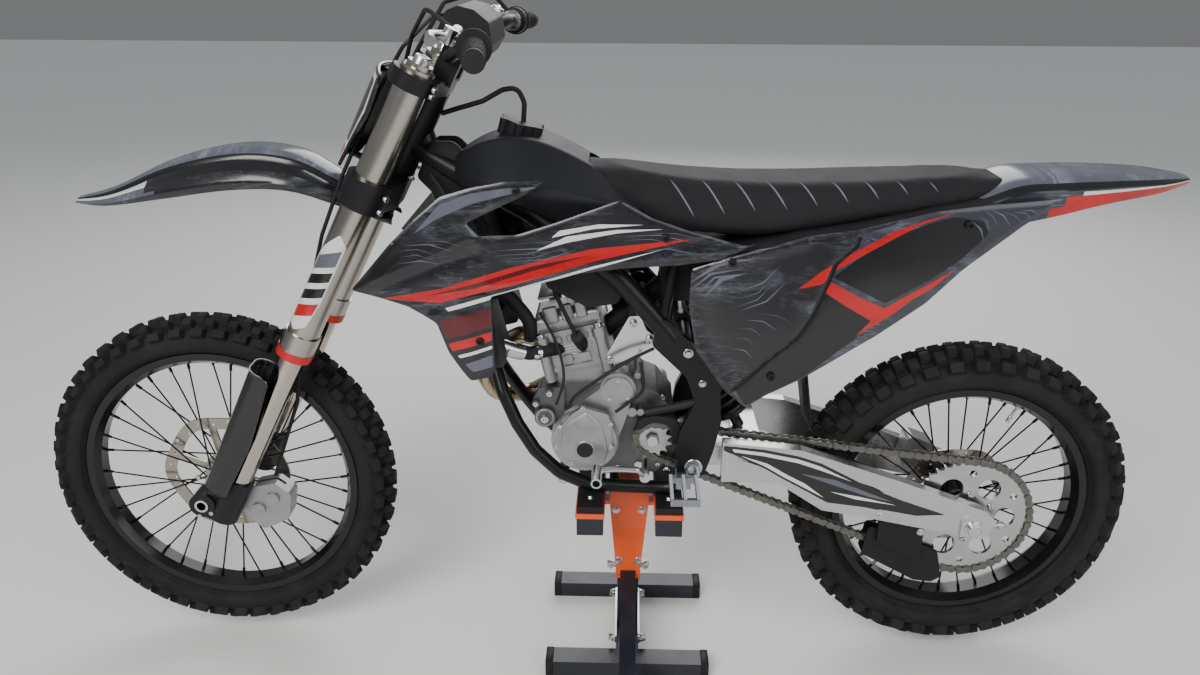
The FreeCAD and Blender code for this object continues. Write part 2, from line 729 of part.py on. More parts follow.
# Fork guard sections: along the axis, front, back, half width.
GUARD = ((46, -72, -4, 34), (180, -76, -8, 33), (324, -80, -24, 32))


def fork_guard(leg_y):
    """A U-shaped guard round the front and sides of one fork leg, open behind."""
    wall = num("GuardWall")
    outward = 5 if leg_y > 0 else -5
    outer = Part.makeLoft([guard_section(a, f, b, w, outward, leg_y) for a, f, b, w in GUARD], True, True)
    inner = Part.makeLoft([guard_section(a, f + wall, b + 40, w - wall, outward, leg_y)
                           for a, f, b, w in ((GUARD[0][0] - 1,) + GUARD[0][1:], GUARD[1],
                                              (GUARD[2][0] + 1,) + GUARD[2][1:])], True, True)
    return outer.cut(inner)


def build_fork():
    """Fork tubes, seal rings, axle lugs, guards and the two clamps, in the steering frame."""
    bottom = num("ForkOuterBottom")
    top = num("ForkTop")
    outer = num("ForkOuterRadius")
    inner = num("ForkInnerRadius")

    def outer_tube(leg_y):
        barrel = rod(leg_point(leg_y, bottom + 16), leg_point(leg_y, top), outer)
        collar = rod(leg_point(leg_y, bottom + 16), leg_point(leg_y, bottom + 52), outer + 3.5)
        cap = rod(leg_point(leg_y, top), leg_point(leg_y, top + 9), outer - 7)
        bore = rod(leg_point(leg_y, bottom), leg_point(leg_y, bottom + 60), inner)
        return fuse([barrel, collar, cap]).cut(bore)

    def seal_ring(leg_y):
        return sleeve(leg_point(leg_y, bottom), leg_point(leg_y, bottom + 16), outer + 4.5, inner)

    def inner_tube(leg_y):
        return rod(leg_point(leg_y, 78), leg_point(leg_y, bottom + 60), inner)

    def lug(leg_y):
        cup = rod(leg_point(leg_y, -18), leg_point(leg_y, 78), inner + 5)
        boss = rod(Vector(-AXIS_FROM_AXLE, leg_y - 24, 0), Vector(-AXIS_FROM_AXLE, leg_y + 22, 0), 25)
        foot = box(Vector(-AXIS_FROM_AXLE, leg_y - 17, -26), Vector(-num("ClampOffset"), leg_y + 17, 34))
        bore = rod(Vector(-AXIS_FROM_AXLE, leg_y - 40, 0), Vector(-AXIS_FROM_AXLE, leg_y + 40, 0),
                   num("FrontAxleRadius"))
        return fuse([cup, boss, foot]).cut(bore)

    compound("fork_outer_tubes", both_legs(outer_tube), STEERING)
    compound("fork_seal_rings", both_legs(seal_ring), STEERING)
    compound("fork_inner_tubes", both_legs(inner_tube), STEERING)
    lugs = both_legs(lug)
    guards = [max(guard.cut(leg).Solids, key=lambda solid: solid.Volume)
              for guard, leg in zip(both_legs(fork_guard), lugs)]
    compound("fork_lugs", lugs, STEERING)
    compound("fork_guards", guards, STEERING)
    return build_front_brake(lugs, guards)


def build_clamps():
    """The lower and upper clamp with the steering stem between them."""
    spacing = num("ForkHalfSpacing")
    outer = num("ForkOuterRadius")
    low = num("LowerClampBottom")
    high = num("UpperClampBottom")
    stem = num("StemRadius")
    shapes = []
    for base, height in ((low, num("LowerClampHeight")), (high, num("UpperClampHeight"))):
        plan = [Vector(-48, -spacing, base), Vector(-48, spacing, base), Vector(8, spacing + 24, base),
                Vector(30, 34, base), Vector(30, -34, base), Vector(8, -spacing - 24, base)]
        plate = Part.Face(rounded_wire(plan, 14)).extrude(Vector(0, 0, height))
        rings = [rod(leg_point(side * spacing, base), leg_point(side * spacing, base + height), outer + 11)
                 for side in SIDES]
        bores = [rod(leg_point(side * spacing, base - 1), leg_point(side * spacing, base + height + 1),
                     outer) for side in SIDES]
        shapes.append(fuse([plate] + rings).cut(Part.makeCompound(bores)))
    shapes.append(rod(Vector(0, 0, low), Vector(0, 0, high + 44), stem))
    bearing = num("HeadBearingRadius") - num("BearingClearance")
    shapes.append(rod(Vector(0, 0, low + 50), Vector(0, 0, low + 70), bearing))
    shapes.append(rod(Vector(0, 0, high - 16), Vector(0, 0, high), bearing))
    bar = num("BarMiddleRadius")
    for side in SIDES:
        post = box(Vector(BAR_BACK - 19, side * 42 - 14, high + 20), Vector(BAR_BACK + 19, side * 42 + 14,
                                                                           BAR_ALONG + 18))
        inner = Vector(BAR_BACK, side * 42 - 20, BAR_ALONG)
        post = post.cut(rod(inner, inner + Vector(0, 40, 0), bar))
        shapes.append(post)
    clamps = fuse(shapes)
    feature("fork_clamps", clamps, STEERING)
    return clamps


# The front caliper's body seen from the side: x, z.
FRONT_CALIPER = ((60, 330), (96, 292), (150, 318), (160, 372), (128, 398), (84, 388))
# The handlebar's middle in the steering frame: behind the axis and along it.
BAR_BACK = 12
BAR_ALONG = 985
PERCH_FROM_END = 152
THROTTLE_WIDTH = 18
THROTTLE_RADIUS = 25
SWITCH_WIDTH = 12
SWITCH_RADIUS = 18
# The bar pad's outline behind and along the steering axis.
BAR_PAD_HALF = 92
BAR_PAD = ((-22, 1003), (-22, 1050), (-8, 1066), (18, 1072), (48, 1066), (68, 1036), (66, 1003))
# Hoses and cables in the steering frame: behind the axis, across, along it.
BRAKE_HOSE = ((21, 212, 1045), (-70, 150, 1000), (-76, 0, 948), (-74, -60, 880), (-72, -78, 720),
              (-64, -80, 600), (-30, -67, 400), (14, -67, 260), (34, -72, 92))
THROTTLE_CABLE = ((45, 275, 1056), (-10, 262, 1078), (-62, 150, 1030), (-56, 34, 950), (-56, 30, 760),
                  (-46, 30, 730))
CLUTCH_HOSE = ((21, -212, 1045), (-40, -170, 1050), (-60, -60, 985), (-56, -30, 930), (-56, -30, 760),
               (-46, -30, 730))
# The number plate's span along the axis, and its outline across and above its low edge.
PLATE_SPAN = (724, 908)
PLATE_OUTLINE = ((-74, 0), (74, 0), (112, 120), (96, 184), (-96, 184), (-112, 120))
# Handlebar route on one side: behind the axis, in from the bar's end, along the axis.
BAR_ROUTE = ((79, 0, 1050), (50, 191, 1047), (BAR_BACK, 317, BAR_ALONG))


def bar_points(side):
    """The handlebar's route on one side, from its end inwards."""
    reach = num("BarHalfWidth")
    return [Vector(back, side * (reach - inward), along) for back, inward, along in BAR_ROUTE]


def curved_panel(outline, low_plan, high_plan, low_z, high_z, corner):
    """A thin panel with a side outline, bowed in plan and leaning from a low plan arc to a high one."""
    wall = num("PanelWall")
    sections = []
    for plan, z in ((low_plan, low_z), (high_plan, high_z)):
        outer = [Vector(x, y, z) for x, y in plan]
        inner = [Vector(x, y + wall, z) for x, y in reversed(plan)]
        sections.append(Part.Wire([Part.Arc(*outer).toShape(), Part.makeLine(outer[2], inner[0]),
                                   Part.Arc(*inner).toShape(), Part.makeLine(inner[2], outer[0])]))
    slab = Part.makeLoft(sections, True, True)
    return slab.common(side_plate(outline, -260, -60, corner))


def build_handlebar(clamps):
    """Handlebar with its pad, grips, hand levers and their housings, in the steering frame."""
    left = bar_points(LEFT)
    right = bar_points(RIGHT)
    route = left + list(reversed(right))
    bar = tube(route, num("BarRadius"), 62)
    middle = rod(Vector(BAR_BACK, -66, BAR_ALONG), Vector(BAR_BACK, 66, BAR_ALONG), num("BarMiddleRadius"))
    bar = fuse([bar, middle])
    feature("handlebar", bar, STEERING)
    pad = rounded_wire([Vector(back, -BAR_PAD_HALF, along) for back, along in BAR_PAD], 9)
    pad = Part.Face(pad).extrude(Vector(0, 2 * BAR_PAD_HALF, 0))
    pad = pad.cut(bar).cut(clamps)
    grips = []
    levers = []
    housings = []
    grip_length = num("GripLength")
    bar_radius = num("BarRadius")
    for side in SIDES:
        end, knee, _ = bar_points(side)
        inward = knee - end
        inward.normalize()
        grip = rod(end - inward * 3, end + inward * grip_length, num("GripRadius"))
        flange = rod(end + inward * (grip_length - 5), end + inward * grip_length, 27)
        ribs = [rod(end + inward * (14 + 12 * i), end + inward * (19 + 12 * i), num("GripRadius") + 1.2)
                for i in range(8)]
        grips.append(fuse([grip, flange] + ribs).cut(rod(end, end + inward * 200, bar_radius)))
        perch = end + inward * PERCH_FROM_END
        clamp = sleeve(perch - inward * 11, perch + inward * 11, 19, bar_radius)
        pivot = perch + Vector(-38, 0, -4) - inward * 14
        arm = rod(perch + Vector(-14, 0, -2), pivot, 9)
        knuckle = rod(pivot - Vector(0, 0, 12), pivot + Vector(0, 0, 12), 11)
        pump = rod(pivot + inward * 10 + Vector(6, 0, 2), pivot + inward * 62 + Vector(10, 0, 2), 11)
        tip = end + inward * 22 + Vector(-62, 0, -6)
        bend = end + inward * 100 + Vector(-66, 0, -10)
        blade = tube([pivot + inward * 4 + Vector(-6, 0, -2), bend, tip], 6, 40)
        along = tip - bend
        along.normalize()
        knob = rod(tip - along * 9, tip + along * 3, 8)
        levers.append(fuse([clamp, arm, knuckle, pump, blade, knob]).cut(bar))
        width = THROTTLE_WIDTH if side == RIGHT else SWITCH_WIDTH
        radius = THROTTLE_RADIUS if side == RIGHT else SWITCH_RADIUS
        start = end + inward * grip_length
        housing = sleeve(start, start + inward * width, radius, bar_radius)
        housings.append(housing.cut(bar))
    compound("grips", grips, STEERING)
    compound("hand_levers", levers, STEERING)
    compound("bar_fittings", [pad] + housings, STEERING)
    return levers, housings


# Front mudguard sections: x, half width, edge height, crown height.
FRONT_FENDER = (
    (-193, 22, 944, 952),
    (-120, 52, 946, 973),
    (0, 74, 966, 1026),
    (120, 84, 984, 1052),
    (220, 84, 984, 1044),
    (300, 66, 955, 1000),
    (392, 44, 914, 938),
)


def build_front_bodywork(clamps):
    """Front mudguard and the blank number plate."""
    wall = num("PanelWall")
    sections = []
    for x, half, edge, crown in FRONT_FENDER:
        drop = crown - edge
        ridge = crown - 0.16 * drop
        groove = ridge - min(10, 0.24 * drop)
        sections.append(folded_wire(x, [(0, crown), (0.5 * half, ridge), (0.55 * half, groove),
                                        (half, edge + 0.25 * drop), (0.9 * half, edge)], wall))
    boss_foot = num("LowerClampBottom")
    bosses = [rod(steer(-14, side * 32, boss_foot - 35), steer(-14, side * 32, boss_foot), 8)
              for side in SIDES]
    fender = fuse([Part.makeLoft(sections, True, False)] + bosses)
    feature("front_fender", fender)
    low, high = PLATE_SPAN
    front_arc = [Vector(-68, -118, low), Vector(-100, 0, low), Vector(-68, 118, low)]
    back_arc = [point + Vector(wall, 0, 0) for point in reversed(front_arc)]
    rim = Part.Wire([Part.Arc(*front_arc).toShape(), Part.makeLine(front_arc[2], back_arc[0]),
                     Part.Arc(*back_arc).toShape(), Part.makeLine(back_arc[2], front_arc[0])])
    sheet_shape = Part.Face(rim).extrude(Vector(0, 0, high - low))
    outline = [Vector(-140, across, low + rise) for across, rise in PLATE_OUTLINE]
    stamp = Part.Face(rounded_wire(outline, 22)).extrude(Vector(120, 0, 0))
    struts = [rod((-97, 0, low + 14), (-48, 0, low + 14), 6),
              rod((-97, 0, high - 12), (-46, 0, high + 16), 6)]
    plate = fuse([sheet_shape.common(stamp)] + struts).cut(clamps)
    feature("number_plate", plate, STEERING)
    return plate


def build_cables(levers, housings, clamps, plate, caliper):
    """The front brake's hose and the two cables from the handlebar, held by the steered parts."""
    caliper_here = placed(caliper, STEERING_LOCAL.inverse())
    taken = Part.makeCompound(list(levers) + list(housings) + [clamps, plate, caliper_here])
    cables = []
    for route, radius in ((BRAKE_HOSE, 3.6), (THROTTLE_CABLE, 4.0), (CLUTCH_HOSE, 3.6)):
        cable = tube(route, radius, 30).cut(taken)
        cables.append(max(cable.Solids, key=lambda solid: solid.Volume))
    compound("cables", cables, STEERING)


def build_front_brake(lugs, guards):
    """Front caliper on its bracket behind the left fork leg."""
    y = num("FrontDiscY")
    body = side_plate(FRONT_CALIPER, y - 22, y + 20, 14)
    pistons = [across(x, z, y - 27, y - 20, 13) for x, z in ((92, 340), (122, 364))]
    slot = box(Vector(0, y - 4, 200), Vector(144, y + 4, 420))
    bracket = side_plate([(18, 400), (60, 330), (84, 388), (44, 440)], y - 22, y - 10, 6)
    caliper = fuse([body, bracket] + pistons).cut(slot)
    for leg in list(lugs) + list(guards):
        caliper = caliper.cut(placed(leg, STEERING_LOCAL))
    feature("front_caliper", caliper)
    return caliper


def build_frame():
    """The welded frame: head tube, backbone, down tube, cradle, mounts and pivot plates."""
    low = num("LowerClampBottom") + num("LowerClampHeight")
    high = num("UpperClampBottom")
    head = rod(steer(0, 0, low + 6), steer(0, 0, high - 2), num("HeadTubeRadius"))
    bore = rod(steer(0, 0, low), steer(0, 0, high), num("HeadBearingRadius"))
    shapes = [head]
    for side in SIDES:
        shapes.append(tube([(x, side * y, z) for x, y, z in SPINE_ROUTE], SPINE_RADIUS, 60))
        shapes.append(tube([(x, side * y, z) for x, y, z in CRADLE_ROUTE], CRADLE_RADIUS, 40))
    shapes.append(tube([steer(4, 0, 842), (478, 0, 975), (560, 0, 668), (560, 0, 630)], 20, 60))
    for side in SIDES:
        low_y, high_y = sorted((side * 54, side * 62))
        shapes.append(side_plate(STAY_TAB, low_y, high_y, 6))
        low_y, high_y = sorted((side * 54, side * 92))
        shapes.append(across(840, 780, low_y, high_y, 9))
    shapes.append(across(800, 409, -84, 84, 10))
    shapes.append(across(700, 417, -80, 80, 10))
    for x, z in RADIATOR_MOUNTS:
        shapes.append(across(x, z, -RADIATOR_INNER_Y, RADIATOR_INNER_Y, 7))
    shapes.append(across(SHOCK_TOP[0], SHOCK_TOP[1], -100, 100, 12))
    outer = num("PivotPlateY")
    for side in SIDES:
        low_y, high_y = sorted((side * (outer - PLATE_WALL), side * outer))
        shapes.append(side_plate(PIVOT_PLATE, low_y, high_y, 12))
    shapes.append(across(num("PivotX"), num("PivotZ"), -outer, outer, PIVOT_RADIUS))
    frame = fuse(shapes).cut(bore)
    feature("frame", frame)
    return frame


def build_subframe(frame, panels):
    """The bolted subframe's rails with the bosses that carry the side panels."""
    rails = []
    for side in SIDES:
        rails.append(tube([(905, side * 80, 872), (1180, side * 78, 897), (1436, side * 62, 936)], 10, 120))
        rails.append(tube([(985, side * 90, 620), (1210, side * 80, 790), (1430, side * 62, 930)], 10, 200))
        rails.append(rod((905, side * 80, 872), (886, side * 94, 764), 10))
        for x, z in ((1000, 880), (1400, 928)):
            inner, outer = sorted((side * 66, side * 150))
            rails.append(across(x, z, inner, outer, 7))
    rails.append(across(1432, 934, -62, 62, 8))
    subframe = fuse(rails).cut(frame)
    for panel in panels:
        subframe = subframe.cut(panel)
    subframe = max(subframe.Solids, key=lambda solid: solid.Volume)
    feature("subframe", subframe)
    return subframe


# The cylinder leans forward by this many degrees from its base.
LEAN = 13
ENGINE_BASE = (740, 0, 604)
# In the cylinder's own frame: stud columns' x, the head pads' x spans, and the intake port.
COLUMN_PLACES = (-56, 54)
HEAD_PADS = ((-30, -6), (4, 28))
INTAKE_PORT = (48, 0, 84)
INTAKE_END = (900, 0, 806)
# Engine outlines seen from the side: x, z.
CRANKCASE = ((676, 560), (700, 470), (760, 436), (880, 428), (914, 470), (912, 560), (880, 600), (850, 612),
             (840, 642), (810, 646), (796, 618), (700, 612))
IGNITION_FACE = ((697, 546), (690, 500), (715, 468), (770, 466), (795, 505), (793, 555), (787, 573),
                 (739, 587), (721, 574))
LEFT_WEB = ((704, 470), (796, 480), (822, 560), (834, 606), (822, 640), (782, 622), (704, 566))
RIGHT_WEB = ((740, 460), (830, 440), (830, 570), (740, 540))
AIRBOX = ((880, 780), (1180, 806), (1180, 880), (880, 880))
STAY_BOLTS = ((832, 741), (862, 710))
IGNITION_HOLE = (745, 505)
# Round bosses on the crankcase: x, z, outer y, radius.
CASE_BOSSES = ((667, 553, -86, 20), (667, 553, -90, 14), (650, 581, -84, 7), (676, 602, -82, 8))
CASE_NOSE = ((690, 538), (652, 556), (642, 578), (656, 610), (704, 612), (704, 560))
# Round engine covers: x, z, outer y, inner y, radius.
LEFT_COVERS = (
    (743, 512, -104, -66, 60),
    (743, 512, -96, -66, 64),
    (805, 619, -98, -66, 33),
    (805, 619, -106, -66, 28),
    (832, 566, -84, -66, 9),
    (848, 566, -84, -66, 7),
    (816, 652, -80, -66, 8),
    (841, 640, -80, -66, 6),
)
RIGHT_COVERS = (
    (826, 508, 106, 66, 74),
    (826, 508, 112, 66, 62),
    (740, 500, 98, 66, 44),
    (740, 500, 104, 66, 30),
    (882, 560, 92, 66, 24),
)


def build_engine(frame):
    """Crankcase, cylinder with head, side covers, head stays, plug lead and intake."""
    case = side_plate(CRANKCASE, -66, 66, 14)
    shaft = across(num("FrontSprocketX"), num("FrontSprocketZ"), num("ChainLineY") - 10, -60, SPROCKET_SHAFT)
    bosses = [across(x, z, outer, -50, radius) for x, z, outer, radius in CASE_BOSSES]
    case = fuse([case, shaft, side_plate(CASE_NOSE, -76, -40, 6)] + bosses)
    feature("crankcase", case)
    lean_place = Placement(Vector(*ENGINE_BASE), Rotation(Vector(0, 1, 0), -LEAN))
    barrel = box(Vector(-58, -54, -8), Vector(58, 54, 72))
    barrel = barrel.makeFillet(16, [edge for edge in barrel.Edges if edge.BoundBox.ZLength > 70])
    base_flange = box(Vector(-66, -60, -8), Vector(66, 60, 6))
    head_shape = box(Vector(-68, -58, 46), Vector(66, 58, 114))
    head_shape = head_shape.makeFillet(12, [edge for edge in head_shape.Edges if edge.BoundBox.ZLength > 60])
    parts = [barrel, base_flange, head_shape]
    for side in SIDES:
        for x in COLUMN_PLACES:
            parts.append(rod((x, side * 60, 28), (x, side * 60, 112), 11))
            parts.append(rod((x, side * 60, 100), (x, side * 60, 118), 14))
        for low_x, high_x in HEAD_PADS:
            low_y, high_y = sorted((side * 50, side * 66))
            parts.append(box((low_x, low_y, 58), (high_x, high_y, 74)))
        low_y, high_y = sorted((side * 50, side * 63))
        parts.append(box((-60, low_y, 44), (60, high_y, 52)))
    cylinder = placed(fuse(parts), lean_place).cut(case)
    feature("cylinder", cylinder)
    cover = box(Vector(-64, -54, 118), Vector(60, 54, 152))
    cover = cover.makeFillet(12, [edge for edge in cover.Edges if edge.BoundBox.ZMin > 150])
    rim = box(Vector(-70, -58, 114), Vector(66, 58, 122))
    ridge = box(Vector(-52, -30, 148), Vector(44, 30, 157))
    feature("cam_cover", placed(fuse([cover, rim, ridge]), lean_place).cut(cylinder))
    left = [across(x, z, outer, inner, radius) for x, z, outer, inner, radius in LEFT_COVERS]
    left.append(side_plate(IGNITION_FACE, -110, -100, 5))
    left.append(side_plate(LEFT_WEB, -88, -66, 8))
    sight = across(*IGNITION_HOLE, -112, -96, 18)
    left_cover = fuse(left).cut(sight).cut(cylinder).cut(case)
    right = [across(x, z, inner, outer, radius) for x, z, outer, inner, radius in RIGHT_COVERS]
    right_cover = fuse(right + [side_plate(RIGHT_WEB, 66, 96, 6)])
    compound("engine_covers", [left_cover, right_cover])
    stays = []
    for side in SIDES:
        low_y, high_y = sorted((side * 62, side * 70))
        stay = side_plate(HEAD_STAY, low_y, high_y, 7)
        heads = [across(x, z, low_y, high_y + 4, 7) if side > 0 else across(x, z, low_y - 4, high_y, 7)
                 for x, z in STAY_BOLTS]
        stays.append(fuse([stay] + heads).cut(cylinder).cut(frame))
    compound("head_stays", [max(stay.Solids, key=lambda solid: solid.Volume) for stay in stays])
    boot = rod((738, -50, 688), (728, -80, 718), 12)
    lead = tube([(731, -74, 709), (716, -84, 744), (688, -74, 800), (680, -62, 900), (680, -62, 918)], 4, 30)
    plug_lead = fuse([boot, lead]).cut(cylinder).cut(frame)
    throat_start = lean_place.multVec(Vector(*INTAKE_PORT))
    throat = rod(throat_start, INTAKE_END, 19)
    span = Vector(*INTAKE_END) - throat_start
    body = rod(throat_start + span * 0.3, throat_start + span * 0.72, 28)
    filter_box = side_plate(AIRBOX, -62, 62, 20)
    feature("airbox", fuse([throat, body, filter_box]).cut(cylinder))
    return cylinder, right_cover, plug_lead


# Exhaust routes: x, y, z.
HEADER_ROUTE = ((668, 14, 672), (616, 34, 676), (560, 64, 638), (530, 66, 575), (552, 88, 522),
                (620, 114, 512), (720, 134, 562), (800, 140, 640), (930, 141, 704), (1090, 142.6, 783.7))
# The silencer's middle line: x, y, z of its ends.
SILENCER_ENDS = ((1120, 143, 792), (1540, 148, 908))
HEADER_RADIUS = 18
SILENCER_RADIUS = 44
SILENCER_CAP_RADIUS = 46
TAIL_PIPE_BORE = 16
# Shares of the silencer's length where its inlet cone starts and ends, and its end cap starts.
SILENCER_SHARES = (-0.07, 0.06, 0.93)


def build_exhaust(cylinder):
    """Header pipe round the right of the engine and the silencer under the tail."""
    start = Vector(*SILENCER_ENDS[0])
    span = Vector(*SILENCER_ENDS[1]) - start
    cone_at, can_at, cap_at = [start + span * share for share in SILENCER_SHARES]
    cone = Part.makeCone(HEADER_RADIUS + 4, SILENCER_CAP_RADIUS, (can_at - cone_at).Length, cone_at, span)
    header = tube(HEADER_ROUTE, HEADER_RADIUS, 40).cut(cone)
    header = max(header.Solids, key=lambda solid: solid.Volume)
    feature("exhaust_header", header.cut(cylinder))
    bore = rod(start + span * 0.9, start + span * 1.02, TAIL_PIPE_BORE)
    feature("silencer", rod(can_at, cap_at, SILENCER_RADIUS).cut(bore))
    end_cap = rod(cap_at, start + span, SILENCER_CAP_RADIUS).cut(bore)
    compound("silencer_caps", [cone, end_cap])


def build_cooling(frame, shrouds, engine, other_hoses):
    """Two radiators beside the down tube with the bosses that carry the shrouds, and all hoses."""
    radiators = []
    for side, shroud in zip(SIDES, shrouds):
        low_y, high_y = sorted((side * RADIATOR_INNER_Y, side * 158))
        core = side_plate(RADIATOR, low_y, high_y, 8)
        low_y, high_y = sorted((side * 150, side * 190))
        bosses = [across(x, z, low_y, high_y, 8) for x, z in SHROUD_MOUNTS]
        radiator = fuse([core] + bosses).cut(frame).cut(shroud)
        radiators.append(max(radiator.Solids, key=lambda solid: solid.Volume))
    compound("radiators", radiators)
    taken = Part.makeCompound(radiators + engine)
    hoses = []
    for route in (LEFT_HOSE, RIGHT_HOSE):
        hose = tube(route, 13, 22).cut(taken)
        hoses.append(max(hose.Solids, key=lambda solid: solid.Volume))
    compound("hoses", hoses + other_hoses)


# Frame tube routes on one side: x, distance from the middle plane, z.
SPINE_ROUTE = ((424, 8, 1056), (530, 26, 1000), (650, 56, 942), (800, 88, 838), (905, 98, 722))
CRADLE_ROUTE = ((560, 8, 650), (584, 46, 585), (612, 66, 530), (646, 76, 478), (694, 80, 432),
                (750, 82, 408), (916, 91, 408), (940, 103, 442))
SPINE_RADIUS = 19
CRADLE_RADIUS = 13
PLATE_WALL = 18
PIVOT_RADIUS = 11
# Coolant hoses: x, y, z.
LEFT_HOSE = ((698, -48, 682), (640, -84, 684), (590, -108, 708))
RIGHT_HOSE = ((712, 84, 520), (690, 86, 600), (626, 104, 670), (590, 110, 716))
CAP_LOBES = 6
CAP_LOBE_REACH = 34
CAP_LOBE_RADIUS = 9
# Footpeg sizes: x span, heights of its underside, tooth roots and tooth tips.
PEG_SPAN = (903, 957)
PEG_HEIGHTS = (446, 458, 465)
PEG_BAR = 6
PEG_TEETH = 7
# Foot levers: x, y, z.
SHIFT_ROUTE = ((858, -66.2, 453), (857, -126, 453), (844, -140, 474), (800, -146, 478), (768, -150, 476))
PEDAL_ROUTE = ((884, 98, 412), (876, 124, 420), (820, 150, 420), (730, 156, 452))
# Stand sizes. The post's lower corners are given from its middle: x, z.
TRAY_FLOOR = 4
STAND_ARM_HEIGHT = 36
STAND_POST = ((-40, 340), (-26, 180), (-26, 152), (26, 152), (26, 180), (40, 340))
# The step lever's side outline: y, z, and its half width.
STAND_LEVER = ((34, 192), (34, 158), (-336, 44), (-336, 76))
LEVER_HALF = 16
# Shock mount across the frame: x, z.
SHOCK_TOP = (926, 722)
# Outlines seen from the side: x, z.
PIVOT_PLATE = ((876, 776), (932, 724), (992, 650), (998, 560), (986, 500), (972, 452), (948, 432),
               (920, 440), (916, 500), (922, 540), (948, 600), (930, 652), (866, 714))
STAY_TAB = ((826, 800), (852, 800), (874, 716), (860, 698), (822, 742))
# Swingarm outlines: share of the way from the pivot to the axle, height above that line.
SWINGARM = ((-0.04, 30), (0.08, 68), (0.37, 88), (0.73, 66), (1.035, 41), (1.08, 24), (1.05, -20),
            (0.85, -24), (0.6, -26), (0.46, -30), (0.3, 8), (0.09, -14), (-0.04, -34))
SWINGARM_RECESS = ((0.15, 60), (0.27, 66), (0.44, 56), (0.65, 42), (0.71, 20), (0.66, -4), (0.49, -4),
                   (0.38, 10), (0.27, 34), (0.15, 42))
# Rear parts' outlines behind and above the rear axle.
CHAIN_GUIDE = ((-190, -19), (-50, -73), (-36, -132), (-54, -144), (-90, -140), (-200, -80))
GUIDE_HANGER = ((-174, 30), (-86, 22), (-86, -91), (-174, -49))
REAR_CALIPER = ((-102, 47), (-50, 31), (-38, 91), (-90, 111))
REAR_BRACKET = ((-90, 47), (-50, 47), (10, 23), (10, -23), (-20, -23))
SHROUD = ((352, 842), (419, 919), (461, 960), (507, 999), (557, 1013), (615, 1023), (682, 1024),
          (643, 998), (599, 978), (548, 954), (568, 932), (632, 933), (695, 952), (806, 990), (858, 960),
          (915, 939), (1020, 908), (1041, 912), (986, 885), (908, 876), (808, 872), (732, 863), (655, 845),
          (585, 826), (590, 700), (586, 681), (547, 674), (532, 694), (511, 727), (492, 781), (446, 811),
          (407, 825))
# Plan arcs of the shrouds and side panels, low and high: x, y of three points on the left.
SHROUD_LOW = ((340, -205), (640, -182), (1050, -134))
SHROUD_HIGH = ((340, -188), (640, -160), (1050, -124))
SHROUD_SPAN = (660, 1030)
SIDE_PANEL = ((930, 866), (1000, 890), (1124, 926), (1216, 940), (1346, 970), (1426, 979), (1563, 989),
              (1496, 943), (1401, 867), (1342, 807), (1260, 747), (1132, 665), (1072, 634), (1036, 610),
              (997, 642), (942, 719), (928, 800))
PANEL_LOW = ((900, -150), (1200, -144), (1580, -108))
PANEL_HIGH = ((900, -122), (1200, -124), (1580, -98))
PANEL_SPAN = (590, 1000)
SHROUD_MOUNTS = ((530, 900), (566, 760))
# Cross bars that carry the radiators: x, z.
RADIATOR_MOUNTS = ((512, 925), (570, 722))
RADIATOR_INNER_Y = 62
HEAD_STAY = ((782, 676), (798, 656), (868, 696), (876, 712), (856, 728), (844, 756), (824, 754))
RADIATOR = ((492, 948), (536, 962), (606, 690), (560, 678))
# Tank sections: x, corner radius, then half width and height of the bottom, the shoulder and the top.
TANK = (
    (512, 9, (30, 990), (50, 1006), (28, 1040)),
    (560, 14, (60, 976), (112, 1000), (52, 1066)),
    (630, 16, (78, 960), (146, 1000), (62, 1078)),
    (700, 16, (74, 926), (138, 992), (60, 1058)),
    (800, 14, (60, 914), (116, 968), (50, 1004)),
    (872, 10, (46, 912), (62, 936), (42, 956)),
)
# Seat sections: x, half width below and above, bottom, top, corner radius.
SEAT = (
    (690, 24, 20, 1010, 1040, 8),
    (760, 70, 52, 976, 1031, 14),
    (900, 104, 78, 924, 1009, 18),
    (1060, 112, 84, 915, 1001, 20),
    (1250, 106, 82, 945, 1006, 18),
    (1400, 88, 66, 972, 1014, 12),
    (1478, 60, 48, 996, 1017, 7),
)
# Rear mudguard sections: x, half width, low edge, crease and crown height.
REAR_FENDER = (
    (1320, 78, 922, 944, 960),
    (1420, 84, 930, 966, 988),
    (1490, 90, 938, 991, 1018),
    (1556, 90, 952, 997, 1024),
    (1640, 84, 973, 1001, 1026),
    (1740, 64, 990, 1006, 1022),
    (1802, 30, 1001, 1008, 1013),
)
FENDER_TUCK = 0.88
INNER_MUDGUARD = ((1122, 812), (1139, 688), (1148, 631), (1166, 521), (1192, 522), (1158, 631), (1166, 688),
                  (1150, 812))
INNER_MUDGUARD_SHEET = ((1122, 812), (1139, 688), (1148, 631), (1166, 521), (1172, 521), (1154, 631),
                        (1145, 688), (1128, 812))
# The tank's vent hose from its cap to the head tube: x, y, z.
VENT_HOSE = ((631, 0, 1090), (634, 0, 1128), (622, 0, 1154), (596, 0, 1150), (560, 0, 1130), (512, 0, 1116),
             (486, 0, 1108))


